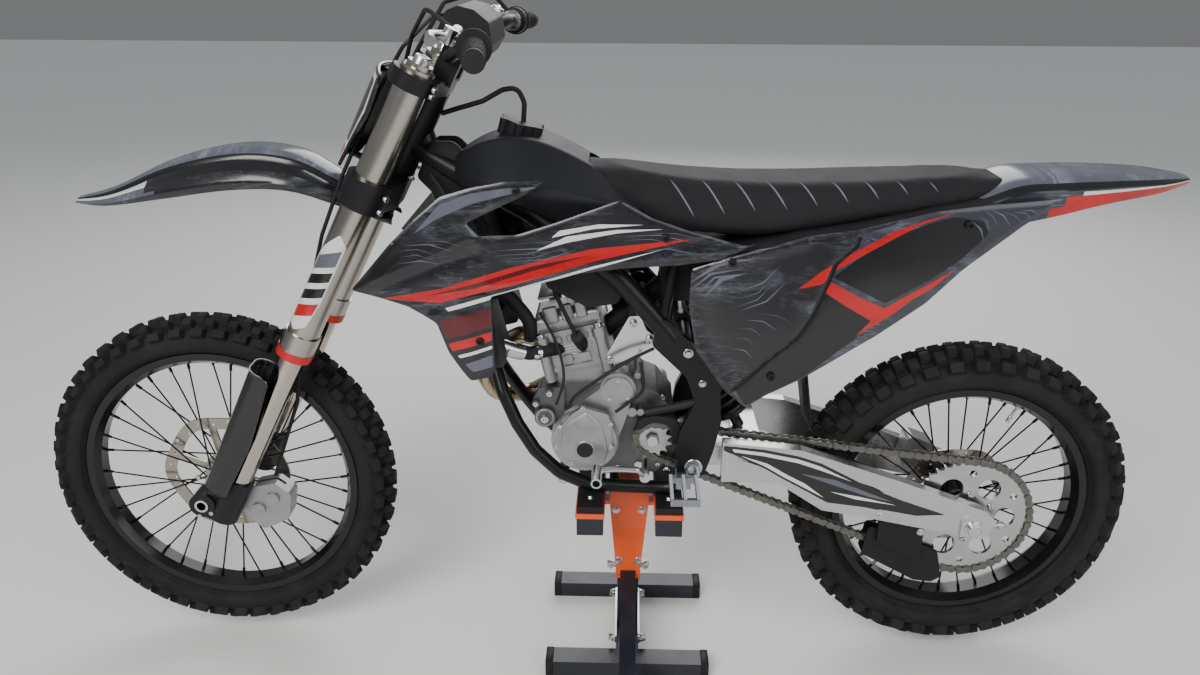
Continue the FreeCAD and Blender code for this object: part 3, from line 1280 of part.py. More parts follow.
def build_bodywork(frame):
    """Tank, cap, seat, shrouds, side panels and rear mudguard."""
    tank = Part.makeLoft([barrel_wire(row[0], row[2:], row[1]) for row in TANK], True, False)
    seat = Part.makeLoft([loaf_wire(*row) for row in SEAT], True, False)
    tunnels = [tube([(x, side * y, z) for x, y, z in SPINE_ROUTE], SPINE_RADIUS + 0.3, 60) for side in SIDES]
    tank = tank.cut(seat).cut(Part.makeCompound(tunnels)).cut(frame)
    tank = max(tank.Solids, key=lambda solid: solid.Volume)
    feature("fuel_tank", tank)
    cap_foot = Vector(623, 0, 1070)
    cap_top = Vector(630, 0, 1096)
    lift = cap_top - cap_foot
    lobes = []
    for i in range(CAP_LOBES):
        turn = Rotation(lift, STEP_ANGLE * i / CAP_LOBES)
        side_step = turn.multVec(Vector(0, CAP_LOBE_REACH, 0))
        lobes.append(rod(cap_foot + side_step, cap_top + side_step, CAP_LOBE_RADIUS))
    cap = fuse([rod(cap_foot, cap_top, CAP_LOBE_REACH + 2)] + lobes).cut(tank)
    cap = max(cap.Solids, key=lambda solid: solid.Volume)
    feature("tank_cap", cap)
    hose = tube(VENT_HOSE, 4.5, 22).cut(cap).cut(frame)
    hose = max(hose.Solids, key=lambda solid: solid.Volume)
    feature("seat", seat)
    shroud_left = curved_panel(SHROUD, SHROUD_LOW, SHROUD_HIGH, *SHROUD_SPAN, 6)
    compound("shrouds", [shroud_left, mirrored(shroud_left)])
    panel_left = curved_panel(SIDE_PANEL, PANEL_LOW, PANEL_HIGH, *PANEL_SPAN, 8)
    room = rod(*SILENCER_ENDS, SILENCER_CAP_RADIUS + 5)
    mouth = Vector(*SILENCER_ENDS[0]) * 1.16 - Vector(*SILENCER_ENDS[1]) * 0.16
    room = room.fuse(rod(mouth, SILENCER_ENDS[0], SILENCER_CAP_RADIUS + 5))
    pipe_room = tube(HEADER_ROUTE, HEADER_RADIUS + 6, 60)
    panel_right = mirrored(panel_left).cut(room).cut(pipe_room)
    panel_right = max(panel_right.Solids, key=lambda solid: solid.BoundBox.ZMax)
    compound("side_panels", [panel_left, panel_right])
    subframe = build_subframe(frame, (panel_left, panel_right))
    wall = num("PanelWall")
    sections = []
    for x, half, edge, crease, crown in REAR_FENDER:
        shoulder = crown - 0.18 * (crown - crease)
        sections.append(folded_wire(x, [(0, crown), (0.62 * half, shoulder), (half, crease),
                                        (half * FENDER_TUCK, edge)], wall))
    fender = Part.makeLoft(sections, True, False)
    fender = max(fender.cut(seat).cut(subframe).Solids, key=lambda solid: solid.Volume)
    flanges = []
    for side in SIDES:
        low_y, high_y = sorted((side * 56, side * 60))
        flanges.append(side_plate(INNER_MUDGUARD, low_y, high_y))
    flap = fuse([side_plate(INNER_MUDGUARD_SHEET, -58, 58)] + flanges)
    flap = flap.cut(side_plate(AIRBOX, -62, 62, 20))
    flap = max(flap.Solids, key=lambda solid: solid.Volume)
    compound("rear_fender", [fender, flap])
    return (shroud_left, mirrored(shroud_left)), hose


def arm_point(share, rise):
    """A point beside the line from the swingarm's pivot to the rear axle, seen from the side."""
    x = num("PivotX") + share * (num("Wheelbase") - num("PivotX"))
    z = num("PivotZ") + share * (num("RearAxleHeight") - num("PivotZ")) + rise
    return x, z


def by_axle(outline):
    """An outline given behind and above the rear axle, in the bike's frame."""
    return [(num("Wheelbase") + x, num("RearAxleHeight") + z) for x, z in outline]


def build_rear_end():
    """Swingarm, shock, chain guide and rear brake."""
    axle = (num("Wheelbase"), num("RearAxleHeight"))
    pivot = (num("PivotX"), num("PivotZ"))
    outline = [arm_point(*row) for row in SWINGARM]
    recess = [arm_point(*row) for row in SWINGARM_RECESS]
    arms = []
    pockets = []
    for side in SIDES:
        low_y, high_y = sorted((side * 98, side * 122))
        arms.append(side_plate(outline, low_y, high_y, 10))
        low_y, high_y = sorted((side * 118, side * 124))
        pockets.append(side_plate(recess, low_y, high_y, 12))
        low_y, high_y = sorted((side * 110, side * 128))
        arms.append(box((axle[0] - 24, low_y, axle[1] - 17), (axle[0] + 26, high_y, axle[1] + 17)))
        arms.append(rod((axle[0] + 20, side * 110, axle[1]), (axle[0] + 64, side * 110, axle[1]), 4.5))
        arms.append(rod((axle[0] + 52, side * 110, axle[1]), (axle[0] + 58, side * 110, axle[1]), 8))
    arms.append(box((pivot[0] + 80, -112, pivot[1] - 20), (pivot[0] + 132, 112, pivot[1] + 34)))
    arms.append(across(*pivot, -66, 66, 24))
    arms.append(box((pivot[0], -66, pivot[1] - 20), (pivot[0] + 90, 66, pivot[1] + 20)))
    arm = fuse(arms).cut(Part.makeCompound(pockets))
    arm = arm.cut(across(axle[0], axle[1], -140, 140, num("RearAxleRadius")))
    arm = arm.cut(across(*pivot, -140, 140, PIVOT_RADIUS))
    for side in SIDES:
        low_y, high_y = sorted((side * 90, side * 200))
        arm = arm.cut(box((pivot[0] - 60, low_y, pivot[1] - 90), (pivot[0] + 53, high_y, pivot[1] + 100)))
    arm = max(arm.Solids, key=lambda solid: solid.Volume)
    feature("swingarm", arm)
    top = Vector(SHOCK_TOP[0], 0, SHOCK_TOP[1])
    foot = Vector(pivot[0] + 96, 0, pivot[1] + 34)
    line = (foot - top)
    line.normalize()
    coils = [rod(top + line * (52 + 14 * i), top + line * (60 + 14 * i), 36) for i in range(11)]
    shock = fuse([rod(top + line * 12, foot, 14), rod(top + line * 20, top + line * 212, 27)] + coils)
    feature("shock", shock.cut(across(top.x, top.z, -100, 100, 12)).cut(arm))
    line_y = num("ChainLineY")
    guide = side_plate(by_axle(CHAIN_GUIDE), line_y - 15, line_y + 15, 8)
    room = polygon(chain_points(num("ChainHalfHeight") + 4)).cut(polygon(chain_points(-60)))
    room = room.extrude(Vector(0, 22, 0))
    room.translate(Vector(0, line_y - 11, 0))
    hanger = side_plate(by_axle(GUIDE_HANGER), -104, line_y - 12, 5)
    feature("chain_guide", fuse([guide.cut(room), hanger]).cut(arm))
    disc_y = num("RearDiscY")
    caliper = side_plate(by_axle(REAR_CALIPER), disc_y - 22, disc_y + 26, 10)
    slot_reach = num("RearDiscRadius")
    caliper = caliper.cut(box((axle[0] - slot_reach, disc_y - 4, axle[1] - 49),
                              (axle[0] + slot_reach, disc_y + 4, axle[1] + 75)))
    bracket = side_plate(by_axle(REAR_BRACKET), disc_y + 14, disc_y + 26, 6)
    bracket = bracket.cut(across(axle[0], axle[1], 0, 140, num("RearAxleRadius")))
    feature("rear_caliper", fuse([caliper, bracket]))


def toothed_bar(low_x, inner_y, outer_y, side):
    """One toothed edge of a footpeg, its teeth along the top."""
    low_z, root_z, tip_z = PEG_HEIGHTS
    step = (outer_y - inner_y) / PEG_TEETH
    points = [(inner_y, low_z), (outer_y, low_z)]
    for i in range(PEG_TEETH, 0, -1):
        points.append((inner_y + step * i, root_z))
        points.append((inner_y + step * (i - 0.5), tip_z))
    points.append((inner_y, root_z))
    face = polygon([Vector(low_x, side * y, z) for y, z in points])
    return face.extrude(Vector(PEG_BAR, 0, 0))


def build_controls(frame):
    """Footpegs, shift lever and brake pedal."""
    pegs = []
    low_x, high_x = PEG_SPAN
    low_z, root_z, _ = PEG_HEIGHTS
    for side in SIDES:
        bars = [toothed_bar(x, 132, 222, side)
                for x in (low_x, (low_x + high_x - PEG_BAR) / 2, high_x - PEG_BAR)]
        low_y, high_y = sorted((side * 214, side * 222))
        bars.append(box((low_x, low_y, low_z), (high_x, high_y, root_z + 2)))
        low_y, high_y = sorted((side * 128, side * 140))
        bars.append(box((low_x, low_y, low_z), (high_x, high_y, root_z)))
        low_y, high_y = sorted((side * 96, side * 134))
        bars.append(box((low_x + 14, low_y, low_z - 16), (high_x - 12, high_y, root_z - 4)))
        pegs.append(max(fuse(bars).cut(frame).Solids, key=lambda solid: solid.Volume))
    compound("footpegs", pegs)
    shift = tube(SHIFT_ROUTE, 6, 8)
    tip = sleeve((768, -142, 476), (768, -198, 476), 10, 7)
    pedal = tube(PEDAL_ROUTE, 8, 20)
    toe = rod((730, 150, 452), (730, 190, 452), 9)
    clamp = rod((858, -118, 453), (858, -134, 453), 10)
    shift_arm = fuse([shift, clamp, rod((768, -143, 476), (768, -150, 476), 9)])
    compound("foot_levers", [fuse([shift_arm, tip]), fuse([pedal, toe]).cut(frame)])


def build_stand():
    """The lift stand: floor bars, step lever, tapered post, arms and their pads."""
    x = num("StandX")
    width = num("StandBarWidth")
    height = num("StandBarHeight")
    half = num("StandFootLength") / 2
    foot_y = num("StandFootY")
    top = num("StandPadZ")
    arm_half = num("StandArmHalf")
    spread = num("StandArmSpread")
    bars = [box((x - half, side * foot_y - width / 2, 0), (x + half, side * foot_y + width / 2, height))
            for side in SIDES]
    spine = box((x - 23, -foot_y, 0), (x + 23, foot_y, height))
    cheeks = [box((x + lean * 18 - 4, -34, height - 5), (x + lean * 18 + 4, 34, 150)) for lean in SIDES]
    lever = hexahedron(STAND_LEVER, x)
    pedal = box((x - 50, -352, 44), (x + 50, -322, 70))
    bolt = rod((x - 36, 0, 166), (x + 36, 0, 166), 6)
    base = fuse(bars + [spine, lever, pedal] + cheeks).cut(bolt)
    low_z = top - num("StandPadThickness") - TRAY_FLOOR
    arm_low = low_z - STAND_ARM_HEIGHT
    outline = [(x + side_x, z) for side_x, z in STAND_POST]
    post = side_plate(outline + [(x + 37, low_z), (x - 37, low_z)], -30, 30)
    outline = [(x + side_x * 0.86, z) for side_x, z in STAND_POST]
    hollow = side_plate(outline + [(x + 32, arm_low - 12), (x - 32, arm_low - 12)], -24, 40)
    tie = box((x - spread - 25, -24, arm_low - 8), (x + spread + 25, 24, arm_low))
    trays = []
    arms = []
    pads = []
    pad_low = top - num("StandPadThickness")
    for lean in SIDES:
        middle = x + lean * spread
        tray = box((middle - 28, -arm_half, low_z), (middle + 28, arm_half, pad_low + 6))
        room = box((middle - 25, -arm_half + 3, pad_low), (middle + 25, arm_half - 3, top))
        trays.append(tray.cut(room))
        arm = box((middle - 25.5, -arm_half, arm_low), (middle + 25.5, arm_half, low_z))
        pads.append(box((middle - 25, -arm_half + 3, pad_low), (middle + 25, arm_half - 3, top)))
        arms.append(arm)
    post = fuse([post.cut(hollow), tie] + trays)
    post = post.cut(Part.makeCompound(arms)).cut(base).cut(bolt)
    compound("stand_post", post.Solids)
    compound("stand_base", [base] + arms)
    compound("stand_pads", pads)
    links = []
    for lean in SIDES:
        inner, outer = sorted((lean * 22, lean * 26))
        link = box((x + inner, -100, 42), (x + outer, 66, 58))
        heads = [rod((x + inner, y, 50), (x + outer + lean * 5, y, 50), 9) for y in (-92, 58)]
        links.append(fuse([link] + heads).cut(base))
    links.append(bolt)
    compound("stand_links", links)


build_wheels()
build_chain_drive()
build_axle("front_axle", size("FrontAxleRadius"), size("FrontAxleBore"), size("FrontAxleHalf"), FRONT_WHEEL)
build_axle("rear_axle", size("RearAxleRadius"), size("RearAxleBore"), size("RearAxleHalf"), REAR_WHEEL)
brake_caliper = build_fork()
fork_clamps = build_clamps()
hand_lever_pair, housing_pair = build_handlebar(fork_clamps)
front_plate = build_front_bodywork(fork_clamps)
build_cables(hand_lever_pair, housing_pair, fork_clamps, front_plate, brake_caliper)
bike_frame = build_frame()
engine_top, pump_cover, plug_wire = build_engine(bike_frame)
build_exhaust(engine_top)
side_shrouds, vent_pipe = build_bodywork(bike_frame)
build_cooling(bike_frame, side_shrouds, [engine_top, pump_cover], [vent_pipe, plug_wire])
build_rear_end()
build_controls(bike_frame)
build_stand()

doc.recompute()
for node in doc.Objects:
    if "Invalid" in node.State or "Error" in node.State:
        raise RuntimeError("object %s failed: %s" % (node.Label, node.State))
for node in NODES:
    if node.Shape.isNull() or not node.Shape.isValid():
        raise RuntimeError("shape of %s is not valid" % node.Label)
    for solid in node.Shape.Solids:
        if solid.Volume <= 0:
            raise RuntimeError("solid of %s is inside out" % node.Label)

os.makedirs("parts", exist_ok=True)
for node in NODES:
    node.Shape.exportStep("parts/%s.step" % node.Label)
print("pieces:", len(NODES))
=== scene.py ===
"""Looks of a motocross bike on its lift stand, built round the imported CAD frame.

Every place below is in millimetres behind the front axle, to the rider's right and above the floor,
and at() or steer() turns it into metres of the frame.
"""

from __future__ import annotations

import json
import logging
import math
from dataclasses import dataclass
from enum import Enum
from typing import Callable, Sequence

import bmesh
import bpy
import numpy as np
from bpy.types import Material, Mesh, Node, NodeSocket, NodeTree, Object
from mathutils import Matrix, Vector
from mathutils.bvhtree import BVHTree
from mathutils.geometry import delaunay_2d_cdt

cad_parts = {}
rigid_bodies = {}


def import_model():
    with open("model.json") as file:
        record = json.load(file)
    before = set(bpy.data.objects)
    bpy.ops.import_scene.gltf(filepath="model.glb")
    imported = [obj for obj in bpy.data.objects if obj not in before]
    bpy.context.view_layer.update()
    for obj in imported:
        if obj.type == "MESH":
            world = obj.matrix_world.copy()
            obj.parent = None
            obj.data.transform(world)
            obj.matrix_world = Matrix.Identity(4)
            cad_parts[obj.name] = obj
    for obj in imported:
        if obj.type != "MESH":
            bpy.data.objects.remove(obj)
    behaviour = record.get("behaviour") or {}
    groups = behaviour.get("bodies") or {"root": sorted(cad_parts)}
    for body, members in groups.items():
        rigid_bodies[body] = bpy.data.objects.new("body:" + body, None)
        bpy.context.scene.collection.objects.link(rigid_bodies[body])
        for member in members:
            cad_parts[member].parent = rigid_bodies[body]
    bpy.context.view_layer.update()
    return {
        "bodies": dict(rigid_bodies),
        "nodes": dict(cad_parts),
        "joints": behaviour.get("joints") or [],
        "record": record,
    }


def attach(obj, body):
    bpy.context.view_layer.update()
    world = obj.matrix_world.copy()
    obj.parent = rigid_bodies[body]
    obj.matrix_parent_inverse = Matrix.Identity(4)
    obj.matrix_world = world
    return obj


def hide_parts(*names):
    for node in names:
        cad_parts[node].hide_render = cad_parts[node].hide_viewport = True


LOG = logging.getLogger("dirt_bike")
MM = 0.001
ORIGIN_X = 736.5
RAKE = math.radians(27.3)
AXIS_X = 56.87
AXIS_Z = 343.65
FORK_SPREAD = 107
SHARP = math.radians(38)
SIDES = (-1, 1)
LEFT = Vector((0, -1, 0))
RIGHT = Vector((0, 1, 0))
UP = Vector((0, 0, 1))
MIRROR = Vector((1, -1, 1))

Colour = tuple[float, float, float]
Place = tuple[float, float, float]
Flat = tuple[float, float]
Line = Sequence[Flat]

FRONT_AXLE: Place = (0, 0, 373)
REAR_AXLE: Place = (1490, 0, 349)


class Body(Enum):
    """The CAD bodies that pieces ride on."""

    ROOT = "root"
    STEERING = "steering"
    FRONT_WHEEL = "front_wheel"
    REAR_WHEEL = "rear_wheel"


def at(x: float, y: float, z: float) -> Vector:
    """Turns a place in millimetres from the front axle into metres of the frame."""
    return Vector((x - ORIGIN_X, y, z)) * MM


def around(centre: Place, reach: float, count: int, first: float) -> list[Vector]:
    """Gives places round a crosswise axis; first is the first one's angle in radians."""
    turns = [first + 2 * math.pi * k / count for k in range(count)]
    return [at(centre[0] + reach * math.cos(turn), centre[1], centre[2] + reach * math.sin(turn)) for turn in turns]


def steer(back: float, across: float, along: float) -> Vector:
    """Turns a place beside the steering axis into metres of the frame.

    Args:
        back: millimetres behind the axis, square to it.
        across: millimetres to the right.
        along: millimetres up the axis from the front axle's level.

    Returns:
        The place in metres.
    """
    x = AXIS_X + back * math.cos(RAKE) + along * math.sin(RAKE)
    z = AXIS_Z - back * math.sin(RAKE) + along * math.cos(RAKE)
    return at(x, across, z)


class Wiring:
    """A node tree with short calls for adding nodes and joining sockets."""

    def __init__(self, tree: NodeTree) -> None:
        """Keeps the tree that the calls add to."""
        self.tree = tree

    def feed(self, target: Node, inputs: dict[str | int, object]) -> None:
        """Gives a node's inputs, by name or number, a value or a link."""
        for key, value in inputs.items():
            if isinstance(value, NodeSocket):
                self.tree.links.new(value, target.inputs[key])
            else:
                target.inputs[key].default_value = value

    def node(self, kind: str, inputs: dict[str | int, object] | None = None, **settings: object) -> Node:
        """Adds a node.

        Args:
            kind: the node's type name.
            inputs: a value or a socket for its inputs, by name or number.
            settings: its properties by name.

        Returns:
            The new node.
        """
        made = self.tree.nodes.new(kind)
        for name, value in settings.items():
            setattr(made, name, value)
        self.feed(made, inputs or {})
        return made

    def place(self) -> NodeSocket:
        """Gives the object's own coordinates."""
        return self.node("ShaderNodeTexCoord").outputs["Object"]

    def math(self, operation: str, first: object, second: object = 0.0) -> NodeSocket:
        """Works out two numbers or sockets."""
        return self.node("ShaderNodeMath", {0: first, 1: second}, operation=operation).outputs[0]

    def mix(self, factor: object, first: object, second: object) -> NodeSocket:
        """Mixes two colours by a factor."""
        made = self.node("ShaderNodeMix", {0: factor, 6: first, 7: second}, data_type="RGBA", clamp_factor=True)
        return made.outputs[2]

    def noise(self, vector: NodeSocket, scale: object, detail: float = 4.0, roughness: float = 0.55,
              distortion: float = 0.0) -> NodeSocket:
        """Gives a noise from 0 to 1 over the coordinates; distortion makes it swirl."""
        return self.node("ShaderNodeTexNoise", {
            "Vector": vector, "Scale": scale, "Detail": detail, "Roughness": roughness,
            "Distortion": distortion}, noise_dimensions="3D").outputs["Fac"]

    def span(self, value: NodeSocket, low: float, high: float, to_low: float = 0.0,
             to_high: float = 1.0) -> NodeSocket:
        """Maps a range of a value smoothly onto another range and clamps it."""
        return self.node("ShaderNodeMapRange", {
            "Value": value, "From Min": low, "From Max": high, "To Min": to_low,
            "To Max": to_high}, interpolation_type="SMOOTHSTEP").outputs["Result"]

    def stretched(self, settings: dict[str | int, object]) -> NodeSocket:
        """Gives the object's coordinates after a Mapping node."""
        return self.node("ShaderNodeMapping", {"Vector": self.place(), **settings}).outputs["Vector"]


def rgba(colour: Colour) -> tuple[float, float, float, float]:
    """Adds full opacity to a colour."""
    return (*colour, 1.0)


def new_group(name: str, inputs: dict[str, object],
              outputs: Sequence[str]) -> tuple[Wiring, dict[str, NodeSocket], Node]:
    """Starts a shader node group.

    Args:
        name: the group's name.
        inputs: each input's default, whose length gives the socket's type.
        outputs: the outputs' names; Colour is a colour and any other a number.

    Returns:
        Its wiring, the sockets of its inputs by name and its output node.
    """
    wire = Wiring(bpy.data.node_groups.new(name, "ShaderNodeTree"))
    new_socket = wire.tree.interface.new_socket
    for label, default in inputs.items():
        kind = "Float" if isinstance(default, float) else {3: "Vector", 4: "Color"}[len(default)]
        new_socket(label, in_out="INPUT", socket_type="NodeSocket" + kind).default_value = default
    for label in outputs:
        kind = "Color" if label == "Colour" else "Float"
        new_socket(label, in_out="OUTPUT", socket_type="NodeSocket" + kind)
    given = wire.node("NodeGroupInput").outputs
    return wire, {label: given[label] for label in inputs}, wire.node("NodeGroupOutput")


class Effects:
    """Shader node groups that several finishes share, each built once."""

    def __init__(self) -> None:
        """Builds every group."""
        self.mottle = self.build_mottle()
        self.grain = self.build_grain()
        self.dust = self.build_dust()
        self.streaks = self.build_streaks()

    @staticmethod
    def build_mottle() -> NodeTree:
        """Builds slow changes of colour and gloss over a surface.

        Returns:
            A group with the outputs Colour and Gloss.
        """
        wire, given, end = new_group(
            "Mottle", {"Colour": (0.5, 0.5, 0.5, 1), "Scale": 20.0, "Amount": 0.1}, ("Colour", "Gloss"))
        centred = wire.math("SUBTRACT", wire.noise(wire.place(), given["Scale"], 5.0), 0.5)
        change = wire.math("MULTIPLY", centred, given["Amount"])
        bright = wire.math("ADD", wire.math("MULTIPLY", change, 2.4), 1.0)
        tinted = wire.node("ShaderNodeHueSaturation", {"Value": bright, "Color": given["Colour"]})
        wire.feed(end, {"Colour": tinted.outputs["Color"], "Gloss": change})
        return wire.tree

    @staticmethod
    def build_grain() -> NodeTree:
        """Builds the fine relief of cast metal, moulded plastic or rubber.

        Returns:
            A group with the output Height.
        """
        wire, given, end = new_group("Grain", {"Scale": 400.0, "Cells": 0.4, "Stretch": (1, 1, 1)}, ("Height",))
        vector = wire.stretched({"Scale": given["Stretch"]})
        cells = wire.node("ShaderNodeTexVoronoi", {
            "Vector": vector, "Scale": wire.math("MULTIPLY", given["Scale"], 1.6)}, feature="SMOOTH_F1")
        pebble = wire.math("MULTIPLY", cells.outputs["Distance"], given["Cells"])
        wire.feed(end, {"Height": wire.math("ADD", wire.noise(vector, given["Scale"], 3.0), pebble)})
        return wire.tree

    @staticmethod
    def build_dust() -> NodeTree:
        """Builds a thin film that lies on faces which look up and in patches elsewhere.

        Returns:
            A group with the outputs Colour and Film.
        """
        wire, given, end = new_group(
            "Dust", {"Colour": (0.5, 0.5, 0.5, 1), "Dust": (0.35, 0.31, 0.26, 1), "Amount": 0.1},
            ("Colour", "Film"))
        normal = wire.node("ShaderNodeNewGeometry").outputs["Normal"]
        up = wire.node("ShaderNodeSeparateXYZ", {0: normal}).outputs["Z"]
        patches = wire.span(wire.noise(wire.place(), 14.0, 6.0, 0.65), 0.35, 0.75)
        film = wire.math("MULTIPLY", wire.span(up, -0.3, 1.0, 0.35, 1.0), patches)
        film = wire.math("MULTIPLY", film, given["Amount"])
        wire.feed(end, {"Colour": wire.mix(film, given["Colour"], given["Dust"]), "Film": film})
        return wire.tree

    @staticmethod
    def build_streaks() -> NodeTree:
        """Builds long pale brush strokes over a dark ground.

        Returns:
            A group with the output Colour.
        """
        wire, given, end = new_group(
            "Streaks", {"Ground": (0.03, 0.03, 0.035, 1), "Stroke": (0.3, 0.31, 0.35, 1), "Amount": 0.6,
                        "Turn": (0, 0, 0), "Stretch": (3, 3, 14)}, ("Colour",))
        vector = wire.stretched({"Rotation": given["Turn"], "Scale": given["Stretch"]})
        broad = wire.span(wire.noise(vector, 1.0, 3.0, distortion=1.6), 0.46, 0.68)
        hair = wire.span(wire.noise(vector, 3.4, 7.0, 0.7, 2.6), 0.5, 0.62)
        cloud = wire.span(wire.noise(wire.place(), 7.0, 4.0, distortion=0.8), 0.38, 0.66)
        strokes = wire.math("MULTIPLY", wire.math("MULTIPLY", wire.math("ADD", broad, hair), cloud), 0.6)
        mask = wire.math("MULTIPLY", strokes, given["Amount"])
        wire.feed(end, {"Colour": wire.mix(mask, given["Ground"], given["Stroke"])})
        return wire.tree


@dataclass(frozen=True)
class Finish:
    """A surface finish, with the detail that the real surface shows."""

    name: str
    colour: Colour
    roughness: float = 0.5
    metallic: float = 0.0
    grain_scale: float = 500.0
    grain_depth: float = 0.15
    cells: float = 0.4
    stretch: Place = (1.0, 1.0, 1.0)
    grain_height: float = 0.0006
    mottle: float = 0.12
    mottle_scale: float = 22.0
    dust: float = 0.05
    coat: float = 0.0
    specular: float = 0.5
    sheen: float = 0.0

    def ground(self, wire: Wiring, effects: Effects) -> object:
        """Gives the colour, a value or a socket, before mottling and dust."""
        return rgba(self.colour)

    def material(self, effects: Effects) -> Material:
        """Makes the material, or gives the one that exists.

        Args:
            effects: the shared node groups.

        Returns:
            The material.
        """
        name = f"finish_{self.name}"
        made = bpy.data.materials.get(name)
        if made is not None:
            return made
        made = bpy.data.materials.new(name)
        made.use_nodes = True
        wire = Wiring(made.node_tree)
        mottle = wire.node("ShaderNodeGroup", {
            "Colour": self.ground(wire, effects), "Scale": self.mottle_scale,
            "Amount": self.mottle}, node_tree=effects.mottle).outputs
        film = wire.node("ShaderNodeGroup", {
            "Colour": mottle["Colour"], "Amount": self.dust}, node_tree=effects.dust).outputs
        gloss = wire.math("ADD", mottle["Gloss"], self.roughness)
        rough = wire.math("ADD", gloss, wire.math("MULTIPLY", film["Film"], 0.5))
        relief = wire.node("ShaderNodeGroup", {
            "Scale": self.grain_scale, "Cells": self.cells, "Stretch": self.stretch}, node_tree=effects.grain)
        bump = wire.node("ShaderNodeBump", {
            "Strength": self.grain_depth, "Distance": self.grain_height, "Height": relief.outputs["Height"]})
        wire.feed(made.node_tree.nodes["Principled BSDF"], {
            "Base Color": film["Colour"], "Roughness": wire.span(rough, 0.0, 1.0, 0.02, 1.0),
            "Normal": bump.outputs["Normal"], "Metallic": self.metallic, "Coat Weight": self.coat,
            "Specular IOR Level": self.specular, "Sheen Weight": self.sheen})
        return made


@dataclass(frozen=True)
class StreakedFinish(Finish):
    """Printed plastic: a dark ground under long pale brush strokes."""

    roughness: float = 0.3
    grain_depth: float = 0.05
    dust: float = 0.015
    coat: float = 0.25
    stroke: Colour = (0.24, 0.25, 0.3)
    amount: float = 0.8
    turn: Place = (0.0, 0.0, 0.0)
    spread: Place = (5.0, 5.0, 26.0)

    def ground(self, wire: Wiring, effects: Effects) -> NodeSocket:
        """Gives the streaked colour."""
        return wire.node("ShaderNodeGroup", {
            "Ground": rgba(self.colour), "Stroke": rgba(self.stroke), "Amount": self.amount, "Turn": self.turn,
            "Stretch": self.spread}, node_tree=effects.streaks).outputs["Colour"]


